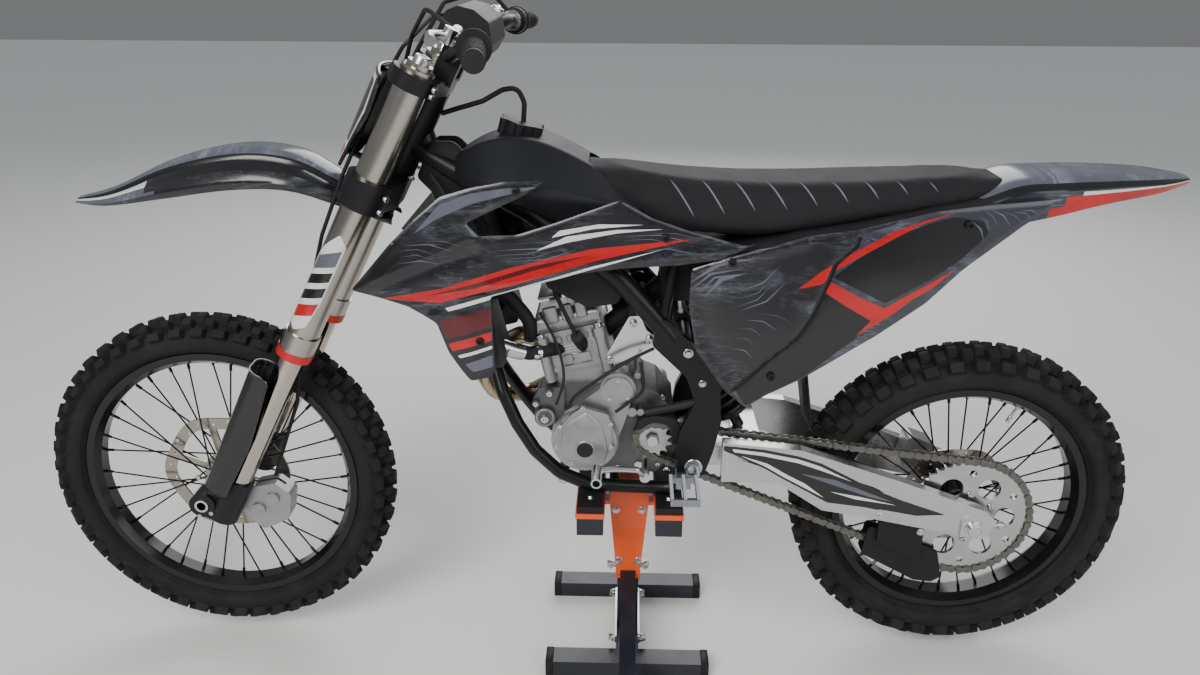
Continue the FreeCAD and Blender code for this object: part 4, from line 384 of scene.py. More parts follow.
class Finishes:
    """The finishes of this bike and its stand."""

    BLACK_PLASTIC = Finish("black_plastic", (0.007, 0.007, 0.008), 0.5, grain_scale=900, grain_depth=0.2,
                           dust=0.01, specular=0.3)
    MATT_PLASTIC = Finish("matt_plastic", (0.009, 0.009, 0.011), 0.55, grain_scale=1100, grain_depth=0.35,
                          dust=0.02, specular=0.35)
    TANK_PLASTIC = Finish("tank_plastic", (0.01, 0.011, 0.015), 0.52, grain_scale=1100, grain_depth=0.3,
                          dust=0.01, specular=0.3)
    PRINT = StreakedFinish("printed_plastic", (0.009, 0.009, 0.012), stroke=(0.13, 0.14, 0.175), amount=0.75,
                           turn=(0.0, 0.45, 0.0), spread=(6, 6, 30))
    PRINT_TAIL = StreakedFinish("printed_tail", (0.03, 0.031, 0.042), stroke=(0.2, 0.21, 0.27),
                                turn=(0.0, -0.75, 0.0), spread=(6, 6, 30))
    # Pale print; on the mudguards' crowns it also paints the sheen that lies on their tops.
    PRINT_PALE_AND_SHEEN = StreakedFinish("printed_pale", (0.085, 0.09, 0.115), stroke=(0.27, 0.29, 0.35),
                                turn=(0.0, 0.15, 0.0), spread=(30, 6, 6))
    RED_PRINT = StreakedFinish("red_print", (0.5, 0.004, 0.006), 0.28, coat=0.3, dust=0.01,
                               stroke=(0.1, 0.002, 0.004), amount=0.7, turn=(0.0, 0.6, 0.0), spread=(9, 9, 60))
    # Painted shade: a darker copy of the red print, laid where the red lies in shade.
    DEEP_RED = StreakedFinish("deep_red_print", (0.09, 0.003, 0.006), 0.32, coat=0.3, dust=0.01,
                              stroke=(0.02, 0.002, 0.004), turn=(0.0, 0.6, 0.0))
    WHITE_PRINT = Finish("white_print", (0.7, 0.7, 0.7), 0.3, grain_depth=0.03, mottle=0.05, coat=0.25, dust=0.02)
    GREY_PRINT = Finish("grey_print", (0.1, 0.105, 0.135), 0.3, grain_depth=0.03, mottle=0.25, coat=0.25,
                        dust=0.015)
    BLACK_PRINT = Finish("black_print", (0.005, 0.005, 0.006), 0.3, grain_depth=0.03, coat=0.25, dust=0.01)
    TYRE = Finish("tyre_rubber", (0.009, 0.009, 0.009), 0.72, grain_scale=260, grain_depth=0.6, dust=0.05,
                  mottle=0.3, specular=0.3)
    RUBBER = Finish("black_rubber", (0.007, 0.007, 0.008), 0.6, grain_scale=700, grain_depth=0.35, dust=0.015,
                    specular=0.4)
    SEAT = Finish("seat_cover", (0.008, 0.008, 0.01), 0.62, grain_scale=1500, grain_depth=0.6, cells=0.9,
                  sheen=0.04, dust=0.015, specular=0.3)
    SEAT_RIB = Finish("seat_rib", (0.15, 0.165, 0.2), 0.6, grain_scale=1500, grain_depth=0.3)
    FRAME = Finish("frame_powder_coat", (0.006, 0.006, 0.007), 0.38, grain_scale=650, grain_depth=0.12, dust=0.01,
                   specular=0.3)
    BLACK_ANODISED = Finish("black_anodised", (0.008, 0.008, 0.01), 0.42, dust=0.01, specular=0.3, grain_scale=900,
                            grain_depth=0.08)
    FORK_OUTER = Finish("fork_outer", (0.44, 0.41, 0.365), 0.3, 1.0, grain_scale=600, grain_depth=0.1,
                        stretch=(1.0, 1.0, 0.05), mottle=0.06)
    CHROME = Finish("chrome_tube", (0.5, 0.46, 0.4), 0.12, 1.0, grain_depth=0.02, mottle=0.03, dust=0.02)
    RED_RING = Finish("red_ring", (0.55, 0.02, 0.02), 0.3, 0.25, grain_depth=0.05)
    CAST = Finish("cast_alloy", (0.36, 0.36, 0.37), 0.42, 0.9, grain_scale=420, grain_depth=0.5, mottle=0.22,
                  mottle_scale=30, dust=0.06)
    CAST_DARK = Finish("cast_alloy_dark", (0.13, 0.13, 0.135), 0.44, 0.85, grain_scale=420, grain_depth=0.5,
                       mottle=0.25, mottle_scale=30, dust=0.06)
    ALLOY = Finish("machined_alloy", (0.62, 0.62, 0.62), 0.28, 1.0, grain_scale=300, grain_depth=0.12,
                   stretch=(0.15, 1, 1), mottle=0.08)
    SWINGARM = Finish("swingarm_alloy", (0.58, 0.58, 0.59), 0.33, 0.95, grain_scale=450, grain_depth=0.2,
                      stretch=(0.1, 1, 1), mottle=0.1, dust=0.05)
    DISC = Finish("brake_disc", (0.36, 0.33, 0.28), 0.3, 1.0, grain_scale=240, grain_depth=0.25,
                  stretch=(0.4, 1, 0.4), mottle=0.12)
    CHAIN = Finish("chain_steel", (0.17, 0.16, 0.145), 0.4, 0.95, grain_scale=500, grain_depth=0.2, mottle=0.3,
                   mottle_scale=60, dust=0.15)
    SPROCKET = Finish("sprocket_steel", (0.5, 0.5, 0.5), 0.33, 1.0, grain_scale=300, grain_depth=0.15, mottle=0.12)
    BOLT = Finish("zinc_bolt", (0.55, 0.56, 0.58), 0.3, 1.0, grain_depth=0.08, mottle=0.15)
    RIM = Finish("black_rim", (0.007, 0.007, 0.008), 0.25, 0.25, grain_scale=500, grain_depth=0.06, dust=0.015)
    SPOKE = Finish("black_spoke", (0.012, 0.012, 0.013), 0.3, 0.6, grain_depth=0.05, dust=0.01)
    TITANIUM = Finish("titanium_pipe", (0.42, 0.33, 0.22), 0.3, 1.0, grain_depth=0.1, mottle=0.3, mottle_scale=14)
    SILENCER = Finish("silencer_alloy", (0.5, 0.5, 0.5), 0.34, 1.0, grain_scale=500, grain_depth=0.2,
                      stretch=(0.1, 1, 1))
    RADIATOR = Finish("radiator_core", (0.04, 0.04, 0.045), 0.5, 0.7, grain_scale=900, grain_depth=0.5)
    SHOCK_SPRING = Finish("shock_spring", (0.02, 0.02, 0.022), 0.35, 0.2)
    STAND_DARK = Finish("stand_dark_paint", (0.01, 0.012, 0.02), 0.36, grain_scale=420, grain_depth=0.3, dust=0.05)
    STAND_ORANGE = Finish("stand_orange_paint", (0.8, 0.09, 0.008), 0.36, grain_scale=420, grain_depth=0.3,
                          dust=0.06, coat=0.2)
    ZINC = Finish("zinc_link", (0.52, 0.55, 0.6), 0.34, 1.0, grain_depth=0.1, mottle=0.2)
    PEG = Finish("footpeg_steel", (0.3, 0.32, 0.35), 0.42, 0.95, grain_depth=0.3, mottle=0.3, dust=0.2)


FINISHED_NODES: Sequence[tuple[Finish, str]] = (
    (Finishes.TYRE, "front_tyre rear_tyre"), (Finishes.RIM, "front_rim rear_rim"),
    (Finishes.SPOKE, "front_spokes rear_spokes"), (Finishes.DISC, "front_disc rear_disc"),
    (Finishes.SPROCKET, "rear_sprocket front_sprocket"), (Finishes.CHAIN, "chain"),
    (Finishes.CAST, "front_hub front_caliper rear_caliper cylinder cam_cover engine_covers"),
    (Finishes.CAST_DARK, "crankcase"), (Finishes.FORK_OUTER, "fork_outer_tubes"),
    (Finishes.CHROME, "fork_inner_tubes"), (Finishes.RED_RING, "fork_seal_rings"),
    (Finishes.BLACK_ANODISED, "rear_hub fork_lugs fork_clamps handlebar silencer_caps"),
    (Finishes.ALLOY, "front_axle rear_axle hand_levers head_stays foot_levers"),
    (Finishes.MATT_PLASTIC, "fork_guards airbox"), (Finishes.RUBBER, "grips hoses cables stand_pads"),
    (Finishes.BLACK_PLASTIC, "bar_fittings tank_cap chain_guide"), (Finishes.TANK_PLASTIC, "fuel_tank"),
    (Finishes.PRINT, "number_plate shrouds"), (Finishes.PRINT_PALE_AND_SHEEN, "front_fender rear_fender"),
    (Finishes.PRINT_TAIL, "side_panels"), (Finishes.FRAME, "frame subframe"),
    (Finishes.TITANIUM, "exhaust_header"), (Finishes.SILENCER, "silencer"), (Finishes.RADIATOR, "radiators"),
    (Finishes.SEAT, "seat"), (Finishes.SWINGARM, "swingarm"), (Finishes.SHOCK_SPRING, "shock"),
    (Finishes.PEG, "footpegs"), (Finishes.STAND_DARK, "stand_base"), (Finishes.STAND_ORANGE, "stand_post"),
    (Finishes.ZINC, "stand_links"),
)


class Ink(Enum):
    """The printed colours of the panels, by their place in PRINTS, and CUT for a hole; the dark red among them is
    painted shade on the red print, and the pale one also paints the sheen on the mudguards' tops.
    """

    CUT = -1
    GROUND = 0
    RED = 1
    # Painted shade on the red print.
    DEEP_RED = 2
    WHITE = 3
    GREY = 4
    BLACK = 5
    # Pale print, also painted sheen on the mudguards' tops.
    PALE = 6
    TAIL = 7


PRINTS = (Finishes.PRINT, Finishes.RED_PRINT, Finishes.DEEP_RED, Finishes.WHITE_PRINT, Finishes.GREY_PRINT,
          Finishes.BLACK_PRINT, Finishes.PRINT_PALE_AND_SHEEN, Finishes.PRINT_TAIL)
Design = Sequence[tuple[Ink, Line]]


class Shape:
    """Points in metres and the faces between them, each face with the number of its finish."""

    def __init__(self) -> None:
        """Starts empty."""
        self.points: list[Vector] = []
        self.faces: list[tuple[int, ...]] = []
        self.marks: list[int] = []

    def join(self, *others: "Shape") -> "Shape":
        """Adds other shapes with their finishes."""
        for other in others:
            first = len(self.points)
            self.points.extend(other.points)
            self.faces.extend(tuple(first + number for number in face) for face in other.faces)
            self.marks.extend(other.marks)
        return self

    def inked(self, ink: Ink) -> "Shape":
        """Gives every face one ink."""
        self.marks = [ink.value] * len(self.faces)
        return self

    def mirrored(self) -> "Shape":
        """Gives a copy on the bike's other side."""
        made = Shape()
        made.points = [Vector((point.x, -point.y, point.z)) for point in self.points]
        made.faces = [tuple(reversed(face)) for face in self.faces]
        made.marks = list(self.marks)
        return made

    def both(self) -> "Shape":
        """Gives the shape with its mirror image."""
        return Shape().join(self, self.mirrored())

    def moved(self, matrix: Matrix) -> "Shape":
        """Gives a copy that a matrix has moved."""
        made = Shape()
        made.points = [matrix @ point for point in self.points]
        made.faces = list(self.faces)
        made.marks = list(self.marks)
        return made

    def mesh(self, name: str) -> Mesh:
        """Makes a smooth mesh with sharp edges where faces meet steeply.

        Args:
            name: the mesh's name.

        Returns:
            The mesh.
        """
        made = bpy.data.meshes.new(name)
        made.from_pydata([tuple(point) for point in self.points], [], self.faces)
        made.polygons.foreach_set("material_index", self.marks)
        work = bmesh.new()
        work.from_mesh(made)
        bmesh.ops.remove_doubles(work, verts=work.verts, dist=1e-5)
        bmesh.ops.recalc_face_normals(work, faces=work.faces)
        work.to_mesh(made)
        work.free()
        made.shade_smooth()
        made.set_sharp_from_angle(angle=SHARP)
        return made


def loft(rings: Sequence[Sequence[Vector]], capped: bool = True) -> Shape:
    """Joins rings of points that have the same number of points.

    Args:
        rings: the rings in order.
        capped: whether the first and last ring are filled.

    Returns:
        The shape.
    """
    count = len(rings[0])
    last = (len(rings) - 1) * count
    made = Shape()
    made.points = [point for ring in rings for point in ring]
    made.faces = [(row + i, row + (i + 1) % count, row + count + (i + 1) % count, row + count + i)
                  for row in range(0, last, count) for i in range(count)]
    if capped:
        made.faces += [tuple(reversed(range(count))), tuple(range(last, last + count))]
    made.marks = [0] * len(made.faces)
    return made


def square_to(direction: Vector) -> tuple[Vector, Vector]:
    """Gives two directions square to one direction and to each other."""
    first = direction.orthogonal().normalized()
    return first, direction.cross(first).normalized()


def ring_of(centre: Vector, first: Vector, second: Vector, radius: float, sides: int) -> list[Vector]:
    """Gives the points of a circle in metres."""
    turns = [2 * math.pi * i / sides for i in range(sides)]
    return [centre + (first * math.cos(turn) + second * math.sin(turn)) * radius for turn in turns]


def turned(rows: Line, start: Vector, direction: Vector, sides: int = 32) -> Shape:
    """Turns a profile round an axis.

    Args:
        rows: distance along the axis and radius, in millimetres.
        start: where the axis starts.
        direction: the axis' direction.
        sides: steps round the axis.

    Returns:
        The shape, closed at both ends.
    """
    direction = direction.normalized()
    first, second = square_to(direction)
    rings = [ring_of(start + direction * along * MM, first, second, max(radius, 0.01) * MM, sides)
             for along, radius in rows]
    return loft(rings)


def rod(start: Vector, end: Vector, radius: float, sides: int = 24, round_off: float = 0.8) -> Shape:
    """Makes a round bar with softened ends; radius and round_off are in millimetres."""
    length = (end - start).length / MM
    soft = min(round_off, radius * 0.5, length * 0.3)
    rows = ((0, radius - soft), (soft * 0.3, radius - soft * 0.3), (soft, radius),
            (length - soft, radius), (length - soft * 0.3, radius - soft * 0.3), (length, radius - soft))
    return turned(rows, start, end - start, sides)


def between(four: Sequence[Vector | np.ndarray], t: float) -> Vector | np.ndarray:
    """Gives a place on a smooth curve between the second and the third of four."""
    before, here, there, after = four
    return 0.5 * (2 * here + (there - before) * t + (2 * before - 5 * here + 4 * there - after) * t * t
                  + (3 * here - before - 3 * there + after) * t ** 3)


def curve_through(points: Sequence[Vector], step: float = 0.006) -> list[Vector]:
    """Gives close points on a smooth curve through some places.

    Args:
        points: the places in metres.
        step: about how far apart the new points lie, in metres.

    Returns:
        The new points with both ends.
    """
    made = []
    for i in range(len(points) - 1):
        four = points[max(i - 1, 0)], points[i], points[i + 1], points[min(i + 2, len(points) - 1)]
        count = max(1, round((points[i + 1] - points[i]).length / step))
        made.extend(between(four, k / count) for k in range(count))
    made.append(points[-1])
    return made


def pipe(route: Sequence[Vector], radius: float, sides: int = 14, step: float = 0.006) -> Shape:
    """Makes a round pipe along a smooth curve; radius is in millimetres."""
    line = curve_through([Vector(point) for point in route], step)
    rings = []
    first = None
    for i, point in enumerate(line):
        ahead = (line[min(i + 1, len(line) - 1)] - line[max(i - 1, 0)]).normalized()
        if first is None:
            first = square_to(ahead)[0]
        first = (first - ahead * first.dot(ahead)).normalized()
        rings.append(ring_of(point, first, ahead.cross(first), radius * MM, sides))
    return loft(rings)


def chamfered(x: float, y: float, cut: float) -> Line:
    """Gives the corners of a rectangle of half sizes x and y with its corners cut off."""
    return ((-x + cut, -y), (x - cut, -y), (x, -y + cut), (x, y - cut),
            (x - cut, y), (-x + cut, y), (-x, y - cut), (-x, -y + cut))


def block(low: Vector, high: Vector, soft: float = 1.0) -> Shape:
    """Makes a box with chamfered edges; soft is in millimetres."""
    middle = (low + high) / 2
    half = (high - low) / 2
    cut = soft * MM
    rings = []
    for z, inset in ((-half.z, cut), (-half.z + cut, 0.0), (half.z - cut, 0.0), (half.z, cut)):
        rings.append([middle + Vector((a, b, z)) for a, b in chamfered(half.x - inset, half.y - inset, cut)])
    return loft(rings)


def soften(outline: Line, reach: float, steps: int = 4) -> list[Flat]:
    """Rounds the corners of an outline.

    Args:
        outline: the corners in order.
        reach: how far from a corner its curve starts.
        steps: pieces in each curve.

    Returns:
        The rounded outline.
    """
    made = []
    corners = [np.array(point, float) for point in outline]
    for i, corner in enumerate(corners):
        legs = []
        for other in (corners[i - 1], corners[(i + 1) % len(corners)]):
            length = float(np.linalg.norm(other - corner))
            legs.append(corner + (other - corner) * min(reach, 0.45 * length) / max(length, 1e-6))
        for k in range(steps + 1):
            t = k / steps
            made.append(tuple((1 - t) ** 2 * legs[0] + 2 * t * (1 - t) * corner + t * t * legs[1]))
    return made


def fine_outline(outline: Line, step: float) -> list[Flat]:
    """Divides an outline's long runs."""
    made = []
    for i, point in enumerate(outline):
        here, there = np.array(point, float), np.array(outline[(i + 1) % len(outline)], float)
        count = max(1, int(np.linalg.norm(there - here) / step))
        made.extend(tuple(here + (there - here) * k / count) for k in range(count))
    return made


def inside(points: np.ndarray, outline: Line) -> np.ndarray:
    """Says which points lie inside an outline."""
    x, y = points[:, 0], points[:, 1]
    found = np.zeros(len(points), bool)
    for i in range(len(outline)):
        (ax, ay), (bx, by) = outline[i - 1], outline[i]
        crosses = (ay > y) != (by > y)
        rise = by - ay if by != ay else 1e-9
        found ^= crosses & (x < (bx - ax) * (y - ay) / rise + ax)
    return found


def distance_to(points: np.ndarray, line: Line, closed: bool) -> np.ndarray:
    """Gives each point's distance to a line of straight runs."""
    best = np.full(len(points), 1e9)
    for i in range(0 if closed else 1, len(line)):
        start, end = np.array(line[i - 1], float), np.array(line[i], float)
        run = end - start
        share = np.clip(((points - start) @ run) / max(run @ run, 1e-9), 0.0, 1.0)
        best = np.minimum(best, np.linalg.norm(points - start - share[:, None] * run, axis=1))
    return best


def slivers(start: Line, end: Line, count: int, width: float, bow: float) -> list[list[Flat]]:
    """Makes thin pointed strokes from one line to another.

    Args:
        start: the line's ends where the strokes start.
        end: the line's ends where they stop.
        count: how many strokes.
        width: a stroke's width at its middle.
        bow: how far the strokes bend to their left.

    Returns:
        One outline for each stroke.
    """
    made = []
    for k in range(count):
        share = (k + 0.5 + 0.38 * math.sin(12.9 * k)) / count
        here = np.array(start[0]) * (1 - share) + np.array(start[1]) * share
        there = np.array(end[0]) * (1 - share) + np.array(end[1]) * share
        here = here + (there - here) * 0.16 * math.sin(5.3 * k + 1)
        there = there - (there - here) * (0.2 + 0.2 * math.sin(7.3 * k))
        run = there - here
        side = np.array((-run[1], run[0])) / max(math.hypot(*run), 1e-6)
        middle = (here + there) / 2 + side * bow * (1 + 0.5 * math.sin(3.1 * k))
        half = width / 2 * (0.65 + 0.35 * math.cos(4.1 * k))
        made.append([tuple(here), tuple(middle - side * half), tuple(there), tuple(middle + side * half)])
    return made


@dataclass(frozen=True)
class Ridge:
    """A raised line on a sheet, or a groove where its height is negative."""

    line: Line
    width: float
    height: float

    def relief(self, points: np.ndarray) -> np.ndarray:
        """Gives the height at flat points."""
        away = distance_to(points, self.line, False)
        return self.height * np.exp(-(away / self.width) ** 2)


@dataclass
class Sheet:
    """A moulded sheet with a printed design: an outline on a curved surface, with an edge that turns in."""

    outline: Line
    surface: Callable[[float, float], Vector]
    regions: Design = ()
    ridges: Sequence[Ridge] = ()
    spacing: float = 7.0
    wall: float = 3.0
    lip: float = 2.4
    lip_reach: float = 7.0
    corner: float = 6.0
    region_corner: float = 2.5
    turn: int = 1
    back: Ink = Ink.GROUND

    def flat_points(self, edge: list[Flat]) -> np.ndarray:
        """Gives the inner points of the sheet: a grid and two rings along the edge."""
        corners = np.array(edge)
        low, high = corners.min(axis=0), corners.max(axis=0)
        rows = []
        shift = 0.0
        for y in np.arange(low[1], high[1], self.spacing * 0.87):
            rows.extend((x, y) for x in np.arange(low[0] + shift, high[0], self.spacing))
            shift = self.spacing / 2 - shift
        grid = np.array(rows)
        far = inside(grid, edge) & (distance_to(grid, edge, True) > self.lip_reach + 1.5)
        kept = [grid[far]]
        following = np.roll(corners, -1, axis=0) - np.roll(corners, 1, axis=0)
        length = np.maximum(np.linalg.norm(following, axis=1, keepdims=True), 1e-9)
        normal = np.stack([-following[:, 1], following[:, 0]], axis=1) / length
        for share in (0.35, 0.95):
            for sign in (-1, 1):
                ring = corners + sign * normal * self.lip_reach * share
                near = distance_to(ring, edge, True)
                kept.append(ring[inside(ring, edge) & (near > 0.9 * share * self.lip_reach)])
        return np.concatenate(kept)

    def place(self, points: np.ndarray, edge: list[Flat]) -> tuple[list[Vector], list[Vector]]:
        """Lays flat points on the surface.

        Args:
            points: the flat points.
            edge: the outline that the lip follows.

        Returns:
            Each point's place and the outward direction there.
        """
        depth = np.clip(1.0 - distance_to(points, edge, True) / self.lip_reach, 0.0, 1.0)
        relief = -self.lip * depth ** 2
        for ridge in self.ridges:
            relief = relief + ridge.relief(points)
        places, normals = [], []
        for (u, v), rise in zip(points, relief):
            here = self.surface(u, v)
            across = self.surface(u + 1.0, v) - self.surface(u - 1.0, v)
            up = self.surface(u, v + 1.0) - self.surface(u, v - 1.0)
            outward = across.cross(up).normalized() * self.turn
            places.append(here + outward * float(rise) * MM)
            normals.append(outward)
        return places, normals

    def shape(self) -> Shape:
        """Builds the sheet with its wall.

        Returns:
            The shape, its printed regions marked.
        """
        edge = fine_outline(soften(self.outline, self.corner), 5.0)
        regions = [(ink.value, soften(region, self.region_corner, 2)) for ink, region in self.regions]
        flat = [Vector(point) for point in edge]
        links = [(i, (i + 1) % len(edge)) for i in range(len(edge))]
        for _, region in regions:
            ring = fine_outline(region, 8.0)
            first = len(flat)
            flat.extend(Vector(point) for point in ring)
            links.extend((first + i, first + (i + 1) % len(ring)) for i in range(len(ring)))
        flat.extend(Vector(point) for point in self.flat_points(edge))
        points, _, faces, *_ = delaunay_2d_cdt(flat, links, [], 0, 1e-4)
        places = np.array([tuple(point) for point in points])
        middles = np.array([places[list(face)].mean(axis=0) for face in faces])
        hole = Ink.CUT.value
        marks = np.where(inside(middles, edge), Ink.GROUND.value, hole)
        for mark, region in regions:
            marks = np.where(inside(middles, region) & (marks != hole), mark, marks)
        kept = [(tuple(face), int(mark)) for face, mark in zip(faces, marks) if mark != hole]
        outer, normals = self.place(places, edge)
        inner = [place - normal * self.wall * MM for place, normal in zip(outer, normals)]
        made = Shape()
        made.points = outer + inner
        count = len(outer)
        used: set[tuple[int, int]] = set()
        for face, mark in kept:
            made.faces += [face, tuple(count + number for number in reversed(face))]
            made.marks += [mark, self.back.value]
            used.update((face[i], face[(i + 1) % len(face)]) for i in range(len(face)))
        for start, end in used:
            if (end, start) not in used:
                made.faces.append((end, start, count + start, count + end))
                made.marks.append(self.back.value)
        return made


def baked(piece: Object) -> Mesh:
    """Gives a plain mesh of an object as its modifiers leave it."""
    return bpy.data.meshes.new_from_object(piece.evaluated_get(bpy.context.evaluated_depsgraph_get()))


class Instancer:
    """Geometry Nodes trees that repeat a small shape."""

    def __init__(self) -> None:
        """Builds both trees."""
        self.ring = self.build_ring()
        self.scatter = self.build_scatter()

    @staticmethod
    def start_tree(name: str, inputs: dict[str, str]) -> tuple[Wiring, dict[str, NodeSocket]]:
        """Starts a tree with a geometry input and output.

        Args:
            name: the tree's name.
            inputs: the socket type of each further input.

        Returns:
            Its wiring and the sockets of its inputs by name.
        """
        wire = Wiring(bpy.data.node_groups.new(name, "GeometryNodeTree"))
        new_socket = wire.tree.interface.new_socket
        kinds = {"Geometry": "Geometry", **inputs}
        for label, kind in kinds.items():
            new_socket(label, in_out="INPUT", socket_type="NodeSocket" + kind)
        new_socket("Geometry", in_out="OUTPUT", socket_type="NodeSocketGeometry")
        given = wire.node("NodeGroupInput").outputs
        return wire, {label: given[label] for label in kinds}

    @staticmethod
    def end_tree(wire: Wiring, geometry: NodeSocket, material: NodeSocket) -> NodeTree:
        """Realizes the instances, sets their material and closes the tree."""
        real = wire.node("GeometryNodeRealizeInstances", {"Geometry": geometry}).outputs["Geometry"]
        paint = wire.node("GeometryNodeSetMaterial", {"Geometry": real, "Material": material})
        wire.node("NodeGroupOutput", {"Geometry": paint.outputs["Geometry"]})
        return wire.tree

    def build_ring(self) -> NodeTree:
        """Builds a tree that repeats its geometry round the Y axis.

        Returns:
            The tree, with the inputs Count, Centre and Material.
        """
        wire, given = self.start_tree("Ring", {"Count": "Int", "Centre": "Vector", "Material": "Material"})
        index = wire.node("GeometryNodeInputIndex").outputs["Index"]
        turn = wire.math("MULTIPLY", wire.math("DIVIDE", index, given["Count"]), 2 * math.pi)
        copies = wire.node("GeometryNodeInstanceOnPoints", {
            "Points": wire.node("GeometryNodePoints", {"Count": given["Count"]}).outputs[0],
            "Instance": given["Geometry"],
            "Rotation": wire.node("ShaderNodeCombineXYZ", {"Y": turn}).outputs["Vector"]})
        move = wire.node("GeometryNodeTransform", {
            "Geometry": copies.outputs["Instances"], "Translation": given["Centre"]})
        return self.end_tree(wire, move.outputs["Geometry"], given["Material"])

    def build_scatter(self) -> NodeTree:
        """Builds a tree that sets a unit on each point of its geometry.

        Returns:
            The tree, with the inputs Unit and Material; the points carry the attributes aim and size.
        """
        wire, given = self.start_tree("Scatter", {"Unit": "Object", "Material": "Material"})
        unit = wire.node("GeometryNodeObjectInfo", {"Object": given["Unit"]})
        aim, size = (wire.node("GeometryNodeInputNamedAttribute", {"Name": name}, data_type="FLOAT_VECTOR")
                     for name in ("aim", "size"))
        copies = wire.node("GeometryNodeInstanceOnPoints", {
            "Points": given["Geometry"], "Instance": unit.outputs["Geometry"],
            "Rotation": aim.outputs["Attribute"], "Scale": size.outputs["Attribute"]})
        return self.end_tree(wire, copies.outputs["Instances"], given["Material"])

    @staticmethod
    def bake(tree: NodeTree, carrier: Object, values: dict[str, object]) -> Mesh:
        """Evaluates a tree on a carrier object and gives the plain mesh.

        Args:
            tree: the Geometry Nodes tree.
            carrier: the object whose mesh goes in.
            values: the tree's inputs by name.

        Returns:
            The result; the carrier is gone.
        """
        modifier = carrier.modifiers.new("repeat", "NODES")
        modifier.node_group = tree
        for item in tree.interface.items_tree:
            if item.in_out == "INPUT" and item.name in values:
                modifier[item.identifier] = values[item.name]
        bpy.context.scene.collection.objects.link(carrier)
        bpy.context.view_layer.update()
        made = baked(carrier)
        carrier.modifiers.clear()
        bpy.data.objects.remove(carrier)
        return made

    def round_wheel(self, name: str, unit: Shape, count: int, centre: Vector,
                    material: Material) -> Mesh:
        """Repeats a shape round a wheel's axis."""
        carrier = bpy.data.objects.new(name, unit.mesh(name))
        values = {"Count": count, "Centre": tuple(centre), "Material": material}
        return self.bake(self.ring, carrier, values)

    def on_points(self, name: str, unit: Shape, spots: Sequence[tuple[Vector, Sequence[float], Sequence[float]]],
                  material: Material) -> Mesh:
        """Sets a shape on places.

        Args:
            name: the result's name.
            unit: the shape, about the origin.
            spots: place, Euler angles and scale of each copy.
            material: the copies' material.

        Returns:
            The mesh of all copies.
        """
        mesh = bpy.data.meshes.new(name + "_spots")
        mesh.from_pydata([tuple(spot[0]) for spot in spots], [], [])
        for label, column in (("aim", 1), ("size", 2)):
            values = mesh.attributes.new(label, "FLOAT_VECTOR", "POINT")
            values.data.foreach_set("vector", [part for spot in spots for part in spot[column]])
        source = bpy.data.objects.new(name + "_unit", unit.mesh(name + "_unit"))
        bpy.context.scene.collection.objects.link(source)
        made = self.bake(self.scatter, bpy.data.objects.new(name, mesh), {"Unit": source, "Material": material})
        bpy.data.objects.remove(source)
        return made


class Workshop:
    """Turns shapes into finished pieces that ride on their bodies."""

    def __init__(self, effects: Effects) -> None:
        """Keeps the shared effects and builds the repeating trees."""
        self.effects = effects
        self.instancer = Instancer()

    def paint(self, finish: Finish) -> Material:
        """Gives a finish's material."""
        return finish.material(self.effects)

    def settle(self, name: str, mesh: Mesh, body: Body,
               replaces: Sequence[str] = ()) -> Object:
        """Makes an object of a mesh, gives it its body and hides the CAD nodes that it stands for.

        Args:
            name: its name.
            mesh: its mesh, already in place.
            body: the body that it rides on.
            replaces: CAD nodes that it stands for.

        Returns:
            The object.
        """
        mesh.name = name
        piece = bpy.data.objects.new(name, mesh)
        bpy.context.scene.collection.objects.link(piece)
        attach(piece, body.value)
        if replaces:
            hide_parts(*replaces)
        LOG.info("%s: %d faces on %s", name, len(mesh.polygons), body.value)
        return piece

    def piece(self, name: str, shape: Shape, finishes: Sequence[Finish], body: Body, slot: str,
              replaces: Sequence[str] = ()) -> Object:
        """Makes a piece of a shape; the shape's marks choose among the finishes."""
        mesh = shape.mesh(name)
        for finish in finishes:
            mesh.materials.append(self.paint(finish))
        return self.settle(name, mesh, body, replaces)

    def bolts(self, name: str, spots: Sequence[tuple[Vector, Vector, float]], finish: Finish, body: Body,
              hexagonal: bool = False) -> Object:
        """Sets bolt heads on places.

        Args:
            name: its name.
            spots: place, outward direction and radius in millimetres of each head.
            finish: their finish.
            body: the body that they ride on.
            hexagonal: six-sided heads on a washer instead of round ones with a socket.

        Returns:
            The piece.
        """
        rows = [(place, tuple(outward.to_track_quat("Z", "Y").to_euler()), (radius,) * 3)
                for place, outward, radius in spots]
        unit = hexagon_head() if hexagonal else socket_head()
        mesh = self.instancer.on_points(name, unit, rows, self.paint(finish))
        return self.settle(name, mesh, body)


def socket_head() -> Shape:
    """Makes a round bolt head of radius 1 mm with a six-sided socket, standing on the origin."""
    rows = ((-0.4, 1.0), (0.55, 1.0), (0.72, 0.92), (0.78, 0.8), (0.78, 0.5))
    rings = [ring_of(Vector((0, 0, z * MM)), Vector((1, 0, 0)), RIGHT, radius * MM, 18)
             for z, radius in rows]
    for z, reach in ((0.78, 0.5), (0.3, 0.46)):
        ring = []
        for i in range(18):
            turn = 2 * math.pi * i / 18
            flat_side = reach * math.cos(math.pi / 6) / math.cos((turn % (math.pi / 3)) - math.pi / 6)
            ring.append(Vector((flat_side * math.cos(turn) * MM, flat_side * math.sin(turn) * MM, z * MM)))
        rings.append(ring)
    return loft(rings)


